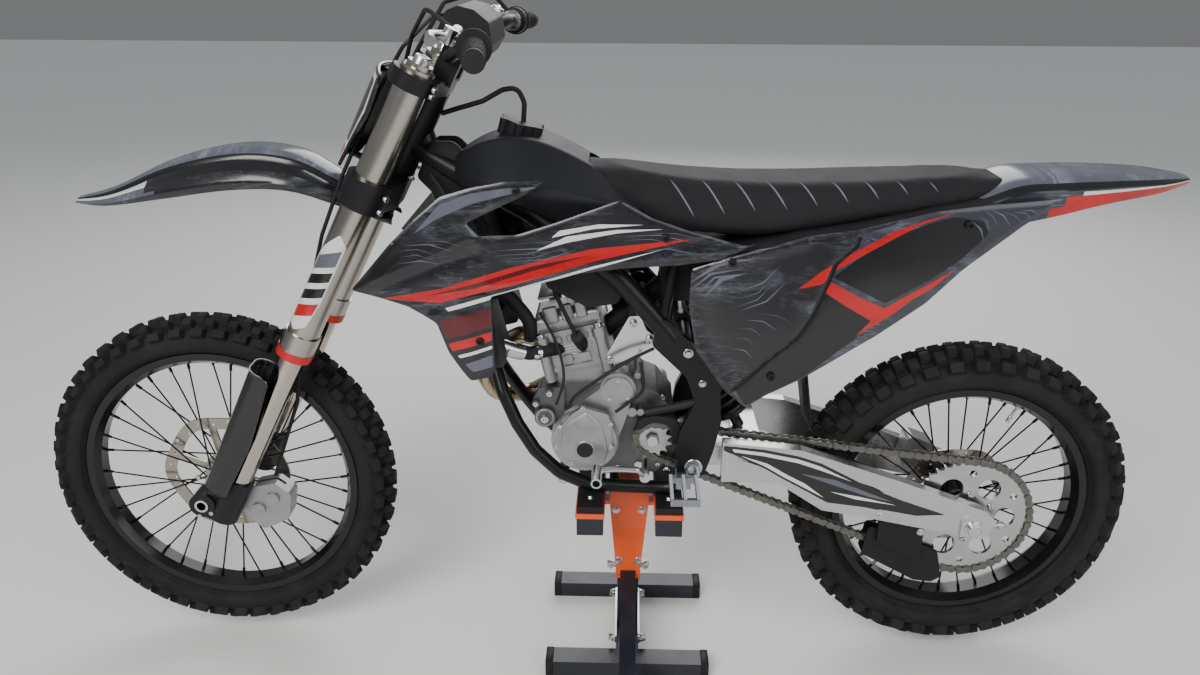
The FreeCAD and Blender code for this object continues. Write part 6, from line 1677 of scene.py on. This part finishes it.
@dataclass(frozen=True)
class Saddle:
    """The seat: a padded cover over firm foam, with raised slanted ribs."""

    rows: Sequence[Sequence[float]] = (
        (692, 24, 20, 1012, 1038), (760, 68, 54, 980, 1030), (900, 101, 78, 928, 1008), (1060, 109, 84, 918, 1000),
        (1250, 103, 82, 948, 1005), (1400, 86, 66, 975, 1013), (1476, 58, 46, 998, 1016))
    swell: float = 4.0
    voxel: float = 0.006
    frames: int = 20
    cloth: Sequence[tuple[str, float]] = (
        ("quality", 5), ("mass", 0.35), ("tension_stiffness", 40), ("compression_stiffness", 40),
        ("bending_stiffness", 4), ("use_pressure", True), ("uniform_pressure_force", 4.0))
    rib_steps: int = 24
    rib_section: Line = ((-1.5, -1.2), (-1.4, 0.4), (-0.7, 0.9), (0.7, 0.9), (1.4, 0.4), (1.5, -1.2))
    ribs: int = 9
    rib_start: float = 892.0
    rib_gap: float = 56.0
    rib_lean: float = 44.0
    base: Sequence[Place] = (
        (960, 112, 866), (1000, 122, 881), (1124, 126, 913), (1216, 126, 927), (1346, 114, 955), (1426, 104, 967),
        (1480, 92, 973))

    def shape(self) -> Shape:
        """Builds the foam's shape with rounded shoulders."""
        rings = []
        for x, low_half, high_half, low, high in smooth_rows(self.rows, 5):
            outline = soften(((-low_half, low), (low_half, low), (high_half, high), (-high_half, high)),
                             min(26.0, (high - low) * 0.42), 5)
            ring = []
            for y, z in outline:
                crown = 2.5 * (1 - (y / high_half) ** 2) if z > high - 2 else 0.0
                ring.append(at(x, y, z - 1.5 + max(crown, 0.0)))
            rings.append(ring)
        return loft(rings)

    def puff(self, mesh: Mesh) -> Mesh:
        """Swells the cover by cloth simulation, held to a few millimetres.

        Args:
            mesh: the foam's mesh.

        Returns:
            The swollen mesh.
        """
        seat = bpy.data.objects.new("seat_foam", mesh)
        bpy.context.scene.collection.objects.link(seat)
        remesh = seat.modifiers.new("even", "REMESH")
        remesh.mode = "VOXEL"
        remesh.voxel_size = self.voxel
        bpy.context.view_layer.update()
        even = baked(seat)
        seat.modifiers.clear()
        seat.data = even
        self.inflate(seat)
        work = bmesh.new()
        work.from_mesh(even)
        for _ in range(3):
            bmesh.ops.smooth_vert(
                work, verts=work.verts, factor=0.5, use_axis_x=True, use_axis_y=True, use_axis_z=True)
        bmesh.ops.recalc_face_normals(work, faces=work.faces)
        work.to_mesh(even)
        work.free()
        bpy.data.objects.remove(seat)
        even.shade_smooth()
        return even

    def inflate(self, seat: Object) -> None:
        """Runs the cloth and moves the cover's points towards its result, by the swell at most.

        Args:
            seat: the object that carries the cover.
        """
        cloth = seat.modifiers.new("cover", "CLOTH")
        for name, value in self.cloth:
            setattr(cloth.settings, name, value)
        cloth.settings.effector_weights.gravity = 0.0
        cloth.collision_settings.use_self_collision = False
        cloth.point_cache.frame_start = 1
        cloth.point_cache.frame_end = self.frames
        for frame in range(1, self.frames + 1):
            bpy.context.scene.frame_set(frame)
        rest, moved = (np.array([tuple(vertex.co) for vertex in mesh.vertices]) for mesh in (seat.data, baked(seat)))
        seat.modifiers.clear()
        bpy.context.scene.frame_set(1)
        step = moved - rest
        length = np.maximum(np.linalg.norm(step, axis=1, keepdims=True), 1e-9)
        rest = rest + step / length * np.minimum(length, self.swell * MM)
        seat.data.vertices.foreach_set("co", rest.astype(np.float32).ravel())

    def rib_shapes(self, skin: BVHTree) -> Shape:
        """Lays slanted raised ribs down both sides of the cover, from the edge of its top.

        Args:
            skin: the cover's surface.

        Returns:
            All ribs.
        """
        made = Shape()
        for side, k in ((side, k) for side in SIDES for k in range(self.ribs)):
            foot = self.rib_start + k * self.rib_gap
            line = []
            for i in range(self.rib_steps + 1):
                turn = math.radians(50 + 46 * i / self.rib_steps)
                x = foot + self.rib_lean * i / self.rib_steps
                aim = Vector((0, side * math.sin(turn), math.cos(turn)))
                hit, normal, _, _ = skin.ray_cast(at(x, 0, 955) + aim * 0.4, -aim)
                if hit is not None and hit.z > at(0, 0, 953 + 0.11 * (x - 995)).z:
                    line.append((hit, normal))
            if len(line) < 8:
                continue
            rings = []
            for i, (hit, normal) in enumerate(line):
                ahead = (line[min(i + 1, len(line) - 1)][0] - line[max(i - 1, 0)][0]).normalized()
                across = ahead.cross(normal).normalized()
                taper = min(1.0, i / 4, (len(line) - 1 - i) / 4) * 0.85 + 0.15
                rings.append([hit + across * (a * MM * taper) + normal * (b * MM * (0.4 + 0.6 * taper))
                              for a, b in self.rib_section])
            made.join(loft(rings))
        return made

    def build(self, shop: Workshop) -> None:
        """Makes the seat's cover, ribs and base.

        Args:
            shop: the workshop.
        """
        mesh = self.puff(self.shape().mesh("seat_start"))
        mesh.materials.append(shop.paint(Finishes.SEAT))
        seat = shop.settle("seat_cover", mesh, Body.ROOT, ["seat"])
        levels = seat.modifiers.new("smooth", "SUBSURF")
        levels.levels = levels.render_levels = 1
        skin = BVHTree.FromPolygons([tuple(vertex.co) for vertex in mesh.vertices],
                                    [tuple(face.vertices) for face in mesh.polygons])
        shop.piece("seat_ribs", self.rib_shapes(skin), [Finishes.SEAT_RIB], Body.ROOT, "seat_cover")
        rings = []
        for x, half, high in self.base:
            section = ((-half, high - 15), (half, high - 15), (half, high), (half - 25, high + 14),
                       (25 - half, high + 14), (-half, high))
            rings.append([at(x, y, z) for y, z in soften(section, 4, 2)])
        shop.piece("seat_base", loft(rings), [Finishes.MATT_PLASTIC], Body.ROOT, "black_plastic")


@dataclass(frozen=True)
class EngineDetails:
    """Bolts, ribs, plates, clips, hoses and cables on the engine."""

    lean: float = math.radians(-13)
    base: Place = (740, 0, 604)
    coolant: Sequence[Place] = ((698, -48, 682), (640, -84, 684), (590, -108, 708))
    side_heads: Sequence[tuple[float, float, float, float]] = (
        (650, -84, 581, 5.5), (676, -82, 602, 6), (697, -110, 548, 5), (690, -104, 501, 5.5), (716, -110, 470, 5),
        (771, -110, 468, 5), (794, -110, 505, 5), (792, -110, 554, 5), (740, -110, 586, 5), (667, -90, 553, 8),
        (806, -106, 641, 4.5), (790, -106, 604, 4.5), (824, -106, 606, 4.5), (722, -66, 452, 5), (806, -66, 440, 5),
        (884, -66, 446, 5), (905, -66, 540, 5), (890, -66, 590, 5))
    collars: Sequence[tuple[Place, int, float]] = (
        ((667, -86, 553), -1, 17.5), ((805, -98, 619), -1, 30.5), ((743, -104, 512), -1, 61.5),
        ((826, 106, 508), 1, 70), ((740, 98, 500), 1, 40))
    runs: Sequence[tuple[float, Sequence[Place]]] = (
        (13.0, ((560, -66, 800), (594, -62, 794), (618, -60, 768), (638, -58, 737), (640, -52, 700))),
        (3.2, ((716, -112, 590), (725, -112, 610), (764, -112, 642), (821, -104, 679), (870, -90, 700))),
        (3.2, ((846, -100, 676), (850, -106, 650), (850, -108, 622), (824, -110, 598), (801, -112, 580))),
        (2.6, ((660, -70, 760), (690, -74, 700), (704, -92, 640), (690, -106, 590))),
        (4.0, ((470, -52, 1010), (520, -60, 940), (560, -60, 880), (620, -58, 830))),
        (4.0, ((452, 30, 1020), (520, 50, 930), (580, 56, 850), (650, 56, 800))))

    def leaning(self, x: float, y: float, z: float) -> Vector:
        """Turns a place in the cylinder's own frame into metres of the frame."""
        turn = self.lean
        return at(self.base[0] + x * math.cos(turn) + z * math.sin(turn), y,
                  self.base[2] - x * math.sin(turn) + z * math.cos(turn))

    def bolt_spots(self) -> list[tuple[Vector, Vector, float]]:
        """Gives the places of the small round bolt heads."""
        up = Vector((math.sin(self.lean), 0, math.cos(self.lean)))
        spots = [(at(x, y, z), LEFT, size) for x, y, z, size in self.side_heads]
        for centre, reach, count, first, size in (((826, 106, 508), 67, 9, 0.3, 5.0),
                                                  ((740, 98, 500), 37, 5, 0.0, 4.6)):
            spots += [(place, RIGHT, size) for place in around(centre, reach, count, first)]
        for side in SIDES:
            spots += [(self.leaning(x, side * y, z), up, size) for x, y, z, size in (
                (-56, 60, 118, 8.5), (54, 60, 118, 8.5), (-60, 49, 122, 5.0), (54, 49, 122, 5.0))]
            for x, z in ((832, 741), (862, 710), (790, 668)):
                spots.append((at(x, side * 74 if x > 800 else side * 70, z), Vector((0, side, 0)), 7.0))
        return spots

    def slab(self, outline: Line, inner: float, outer: float) -> Shape:
        """Builds a plate on the left side with rounded corners and a bevelled face.

        Args:
            outline: its corners seen from the left.
            inner: where it starts, across the machine.
            outer: where its face lies.

        Returns:
            The plate.
        """
        soft = soften(outline, 9, 4)
        middle = np.mean(np.array(soft), axis=0)
        rings = [[at(middle[0] + (x - middle[0]) * share, y, middle[1] + (z - middle[1]) * share) for x, z in soft]
                 for y, share in ((inner, 1.0), (outer + 1.4, 1.0), (outer, 0.965))]
        return loft(rings)

    def casting(self) -> Shape:
        """Builds the ribs, cover plate and collars that stand on the cases."""
        made = Shape()
        made.join(self.slab(((702, 546), (748, 579), (778, 547), (788, 498), (776, 462), (720, 461), (697, 496)),
                            -107.5, -113.0))
        made.join(turned(((-0.6, 19), (1.6, 19), (2.4, 18), (2.4, 13)), at(744, -112.6, 500), LEFT, 32))
        for level in range(60, 91, 6):
            for side in SIDES:
                start, end = self.leaning(-40, side * 58.0, level), self.leaning(38, side * 58.0, level)
                made.join(rod(start, end, 1.5, 8))
        for place, side, radius in self.collars:
            made.join(turned(((-0.6, radius), (0.7, radius), (1.1, radius - 0.7), (1.1, radius - 3)),
                             at(*place), Vector((0, side, 0)), 40))
        return made

    def fittings(self) -> Shape:
        """Builds hose clips, nuts, a plug and the coolant elbow's sleeve."""
        made = Shape()
        for route, spots in ((self.coolant, (0.42, 0.9)),
                             (((712, 84, 520), (690, 86, 600), (626, 104, 670), (590, 110, 716)), (0.14, 0.86))):
            line = curve_through([at(*place) for place in route], 0.004)
            for share in spots:
                i = int(share * (len(line) - 2))
                clip = line[i]
                made.join(turned(((-4.5, 13.4), (-4.5, 14.3), (4.5, 14.3), (4.5, 13.4)), clip, line[i + 1] - clip, 28))
                made.join(block(clip + Vector((-4, -19, -4)) * MM, clip + Vector((6, -12, 4)) * MM, 0.8))
        for rows, place, sides in ((((0, 9), (5, 9), (6, 8)), (846, -66, 446), 6),
                                   (((0, 13), (7, 13), (8.5, 11.5)), (872, -88, 510), 6),
                                   (((0, 11), (4, 11), (5, 10), (5, 6)), (745, -96.5, 505), 28)):
            made.join(turned(rows, at(*place), LEFT, sides))
        elbow = curve_through([at(*place) for place in self.coolant], 0.004)
        made.join(pipe(elbow[int(len(elbow) * 0.62)::3], 14.6, 24))
        return made

    def head(self) -> Shape:
        """Builds the head's flange, its cover's raised panels and the pads between its studs."""
        made = Shape()
        boxes = [((-57, -61, 124), (53, 61, 129)), ((-44, -53, 186), (-12, 53, 193)), ((4, -53, 186), (38, 53, 193))]
        for side in SIDES:
            boxes += [((low, side * 56 - 3.5, 140), (high, side * 56 + 3.5, 172)) for low, high in
                      ((-40, -14), (-8, 14), (20, 40))]
            boxes += [((low, side * 57 - 4, 98), (low + 17, side * 57 + 4, 112)) for low in (-34, -9, 16)]
        for low, high in boxes:
            made.join(block(Vector(low) * MM, Vector(high) * MM, 2.2))
        return made.moved(Matrix.Translation(at(*self.base)) @ Matrix.Rotation(self.lean, 4, "Y"))

    def loom(self) -> Shape:
        """Builds the black hoses, cables and guard round the engine, the black plates beside the steering head that
        stand for its gussets and also paint the shade there, and the tank's two lobes.
        """
        made = Shape()
        for radius, places in self.runs:
            made.join(pipe([at(*place) for place in places], radius, 14))
        # Black plates beside the steering head: the head gussets, and also painted shade over the frame's dark front.
        for inner, outer in ((-24, -30), (30, 24)):
            made.join(self.slab(((470, 1064), (510, 1064), (560, 1012), (572, 984), (478, 960), (440, 1000)),
                                inner, outer))
        lobe = self.slab(((668, 850), (673, 811), (734, 781), (746, 773), (803, 781), (819, 819), (822, 850)), -56, -78)
        made.join(self.slab(((838, 532), (842, 552), (872, 566), (914, 560), (930, 530), (922, 500), (908, 506),
                             (908, 536), (892, 550), (866, 550), (850, 536)), -84, -95))
        made.join(turned(((0, 15.5), (3, 15.5), (4, 14.5)), at(744, -112.4, 500), LEFT, 32))
        made.join(pipe([at(*place) for place in ((857, -92, 570), (905, -98, 584), (948, -100, 596))], 8.0, 16))
        return made.join(lobe.both())

    def build(self, shop: Workshop) -> None:
        """Makes the engine's details.

        Args:
            shop: the workshop.
        """
        shop.bolts("engine_bolts", self.bolt_spots(), Finishes.BOLT, Body.ROOT)
        shop.piece("engine_casting_ribs", self.casting(), [Finishes.CAST], Body.ROOT, "cast_metal")
        shop.piece("engine_fittings", self.fittings(), [Finishes.ALLOY], Body.ROOT, "aluminium")
        shop.piece("engine_head_pads", self.head(), [Finishes.CAST], Body.ROOT, "cast_metal")
        shop.piece("engine_loom", self.loom(), [Finishes.MATT_PLASTIC], Body.ROOT, "black_plastic")


@dataclass(frozen=True)
class ChassisDetails:
    """Spring, radiator fins and fasteners of frame, forks and swingarm."""

    coils: int = 8
    coil_steps: int = 18
    frame_heads: Sequence[tuple[float, float, float, float]] = (
        (950, 112, 466, 15.0), (932, 112, 700, 8.0), (960, 112, 640, 6.0), (955, 112, 450, 7.0), (840, 92, 780, 8.5),
        (985, 100, 622, 7.0), (700, 82, 417, 8.0), (800, 86, 409, 8.0))

    def spring(self) -> Shape:
        """Builds the shock's coil round its damper."""
        top = at(926, 0, 722)
        foot = at(1046, 0, 500)
        line = (foot - top).normalized()
        first, second = square_to(line)
        steps = self.coils * self.coil_steps
        route = []
        for k in range(steps + 1):
            turn = 2 * math.pi * k / self.coil_steps
            route.append(top + line * (0.046 + 0.160 * k / steps)
                         + (first * math.cos(turn) + second * math.sin(turn)) * 0.0315)
        made = pipe(route, 5.4, 10, 1.0)
        for away in (34, 206):
            made.join(turned(((0, 35), (9, 35), (11, 32)), top + line * away * MM, line, 32))
        made.join(rod(top + line * 0.014, top + line * 0.215, 24, 32))
        made.join(rod(top + line * 0.2, foot, 11, 20))
        made.join(rod(top + LEFT * 0.016, top + RIGHT * 0.016, 19, 28))
        return made

    def fins(self) -> Shape:
        """Builds the fins in front of the radiators' cores."""
        made = Shape()
        slope = Vector((606 - 536, 0, 690 - 962)).normalized()
        for side in SIDES:
            for k in range(34):
                place = at(496, 0, 944) + slope * (0.012 + 0.0074 * k)
                low, high = sorted((side * 68, side * 152))
                made.join(block(Vector((place.x - 0.0035, low * MM, place.z - 0.0007)),
                                Vector((place.x + 0.0015, high * MM, place.z + 0.0007)), 0.3))
        return made

    def build(self, shop: Workshop) -> None:
        """Makes the details.

        Args:
            shop: the workshop.
        """
        shop.piece("shock_spring", self.spring(), [Finishes.SHOCK_SPRING], Body.ROOT, "black_metal", ["shock"])
        shop.piece("radiator_fins", self.fins(), [Finishes.ALLOY], Body.ROOT, "aluminium")
        frame_spots = [(at(x, side * y, z), Vector((0, side, 0)), size) for side in SIDES
                       for x, y, z, size in self.frame_heads]
        shop.bolts("frame_bolts", frame_spots, Finishes.BOLT, Body.ROOT, True)
        axis = steer(0, 0, 10) - steer(0, 0, 0)
        fork_spots = []
        for side in SIDES:
            for along, size in ((704, 5.5), (730, 5.5), (922, 5.0), (934, 5.0)):
                fork_spots.append((steer(18, side * 133, along), Vector((0.5, side * 0.3, -0.2)), size))
            fork_spots.append((steer(-22, side * FORK_SPREAD, 959), axis, 15.0))
            for back, along in ((-42, -6), (-60, -22)):
                fork_spots.append((steer(back, side * 131, along), Vector((0, side, 0)), 4.5))
            for x in (-5, 29):
                fork_spots.append((steer(x, side * 42, 1003), axis, 4.6))
        shop.bolts("fork_bolts", fork_spots, Finishes.BOLT, Body.STEERING)
        arm_spots = [(at(1490, side * 128, 349), Vector((0, side, 0)), 15.0) for side in SIDES]
        arm_spots += [(at(*place), LEFT, 6.0) for place in ((1310, -122, 372), (1398, -104, 326), (1318, -104, 370))]
        shop.bolts("swingarm_bolts", arm_spots, Finishes.ALLOY, Body.ROOT, True)


@dataclass(frozen=True)
class WheelDetails:
    """Bolts of discs and sprocket, and the tyres' valves."""

    bolt_rows: Sequence[tuple[str, Body, float, float, float, float, float, float]] = (
        ("front_wheel_bolts", Body.FRONT_WHEEL, 0, 373, -64.2, 39, 5.0, 20),
        ("rear_disc_bolts", Body.REAR_WHEEL, 1490, 349, 68.2, 39, 5.0, 20),
        ("sprocket_bolts", Body.REAR_WHEEL, 1490, 349, -83.6, 50, 6.5, 30))
    valve_turn: float = math.radians(64)

    def build(self, shop: Workshop) -> None:
        """Makes the wheels' fasteners.

        Args:
            shop: the workshop.
        """
        for name, body, x, z, y, reach, size, first in self.bolt_rows:
            out = Vector((0, math.copysign(1, y), 0))
            spots = [(place, out, size) for place in around((x, y, z), reach, 6, math.radians(first))]
            shop.bolts(name, spots, Finishes.BOLT, body)
        out = Vector((math.cos(self.valve_turn), 0, math.sin(self.valve_turn)))
        for name, body, centre, seat in (("front_valve", Body.FRONT_WHEEL, FRONT_AXLE, 252),
                                         ("rear_valve", Body.REAR_WHEEL, REAR_AXLE, 226)):
            start = at(*centre) + out * (seat + 0.5) * MM
            valve = rod(start, start - out * 0.028, 3.0, 12)
            valve.join(rod(start - out * 0.026, start - out * 0.040, 4.0, 12))
            nut = turned(((0, 7.5), (5, 7.5), (6, 6.5)), start, -out, 6)
            shop.piece(name, valve.join(nut), [Finishes.ALLOY], body, "aluminium")


@dataclass(frozen=True)
class StandDetails:
    """Fasteners and end caps of the lift stand."""

    middle: float = 830.0

    def build(self, shop: Workshop) -> None:
        """Makes the stand's fasteners and end caps.

        Args:
            shop: the workshop.
        """
        spots = []
        for lean in SIDES:
            out = Vector((lean, 0, 0))
            for y in (-92, 58):
                spots.append((at(self.middle + lean * 31, y, 50), out, 8.0))
            spots.append((at(self.middle + lean * 36, 0, 166), out, 9.0))
            for y in (-112, 0, 112):
                spots.append((at(self.middle + lean * 75.5, y, 394.4), UP, 5.5))
        for x, z in ((810, 196), (850, 196), (804, 318), (856, 318)):
            spots.append((at(x, -30, z), LEFT, 7.0))
        shop.bolts("stand_bolts", spots, Finishes.BOLT, Body.ROOT, True)
        feet = Shape()
        for side in SIDES:
            for x in (664, 980):
                feet.join(block(at(x, side * 132 - 24, 0.2), at(x + 16, side * 132 + 24, 36.5), 1.5))
        shop.piece("stand_end_caps", feet, [Finishes.BLACK_PLASTIC], Body.ROOT, "rubber")


@dataclass
class Studio:
    """The plain floor, the soft light and the photograph's camera."""

    eye: Place = (814.0, -1742.0, 1382.0)
    lens: float = 29.2
    sensor: float = 36.0
    pitch: float = math.radians(21.83)
    yaw: float = -0.026
    roll: float = 0.004
    floor_reach: float = 14.0
    surround: float = 0.42

    def build(self) -> None:
        """Builds floor, light and camera."""
        self.build_floor()
        self.build_light()
        self.build_camera()

    def build_floor(self) -> None:
        """Builds a pale floor that the object stands on."""
        mesh = bpy.data.meshes.new("floor")
        reach = self.floor_reach
        corners = [(-reach, -reach, 0), (reach, -reach, 0), (reach, reach, 0), (-reach, reach, 0)]
        mesh.from_pydata(corners, [], [(0, 1, 2, 3)])
        floor = bpy.data.objects.new("floor", mesh)
        bpy.context.scene.collection.objects.link(floor)
        paint = bpy.data.materials.new("floor_paint")
        paint.use_nodes = True
        Wiring(paint.node_tree).feed(paint.node_tree.nodes["Principled BSDF"], {
            "Base Color": (0.8, 0.79, 0.77, 1), "Roughness": 0.75})
        mesh.materials.append(paint)

    def build_light(self) -> None:
        """Builds three soft area lights and a pale surround."""
        lamps = (
            ("key", (-1.6, -3.2, 3.4), 2.2, 165.0, (1.0, 0.98, 0.95)),
            ("fill", (3.0, -2.6, 2.2), 2.6, 55.0, (0.93, 0.96, 1.0)),
            ("back", (0.4, 3.6, 3.0), 3.0, 95.0, (1.0, 1.0, 1.0)),
        )
        for name, place, width, power, colour in lamps:
            light = bpy.data.lights.new(name, "AREA")
            light.shape = "SQUARE"
            light.size = width
            light.energy = power
            light.color = colour
            lamp = bpy.data.objects.new(name, light)
            lamp.location = place
            aim = Vector((0.0, 0.0, 0.6)) - Vector(place)
            lamp.rotation_euler = aim.to_track_quat("-Z", "Y").to_euler()
            bpy.context.scene.collection.objects.link(lamp)
        world = bpy.data.worlds.new("surround")
        world.use_nodes = True
        bpy.context.scene.world = world
        wire = Wiring(world.node_tree)
        up = wire.node("ShaderNodeSeparateXYZ", {0: wire.node("ShaderNodeTexCoord").outputs["Generated"]})
        sky = wire.mix(wire.span(up.outputs["Z"], -0.1, 0.6), (0.42, 0.43, 0.44, 1), (0.9, 0.95, 1.0, 1))
        wire.feed(world.node_tree.nodes["Background"], {"Color": sky, "Strength": self.surround})

    def build_camera(self) -> None:
        """Builds the camera at the photograph's place and angle."""
        camera = bpy.data.objects.new("camera", bpy.data.cameras.new("camera"))
        camera.data.lens = self.lens
        camera.data.sensor_width = self.sensor
        camera.location = at(*self.eye)
        ahead = Vector((math.sin(self.yaw) * math.cos(self.pitch), math.cos(self.yaw) * math.cos(self.pitch),
                        -math.sin(self.pitch)))
        level = ahead.to_track_quat("-Z", "Y").to_matrix()
        camera.rotation_euler = (level @ Matrix.Rotation(self.roll, 3, "Z")).to_euler()
        bpy.context.scene.collection.objects.link(camera)
        bpy.context.scene.camera = camera


def dress_nodes(nodes: dict[str, Object], effects: Effects) -> None:
    """Gives every CAD node its finish.

    Args:
        nodes: the frame's nodes by name.
        effects: the shared node groups.
    """
    for finish, names in FINISHED_NODES:
        for name in names.split():
            nodes[name].data.materials.clear()
            nodes[name].data.materials.append(finish.material(effects))


def main() -> None:
    """Builds the scene in order and reports each part."""
    logging.basicConfig(level=logging.INFO, format="%(message)s")
    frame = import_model()
    effects = Effects()
    dress_nodes(frame["nodes"], effects)
    Studio().build()
    shop = Workshop(effects)
    for assembly in (FRONT_TYRE, REAR_TYRE, ChainDrive(), Shrouds(), SidePanels(), Mudguards(), ForkGuards(),
                     ForkDecals(), NumberPlate(), Saddle(), EngineDetails(), ChassisDetails(), WheelDetails(),
                     StandDetails()):
        LOG.info("building %s", type(assembly).__name__)
        assembly.build(shop)


if __name__ == "__main__":
    main()
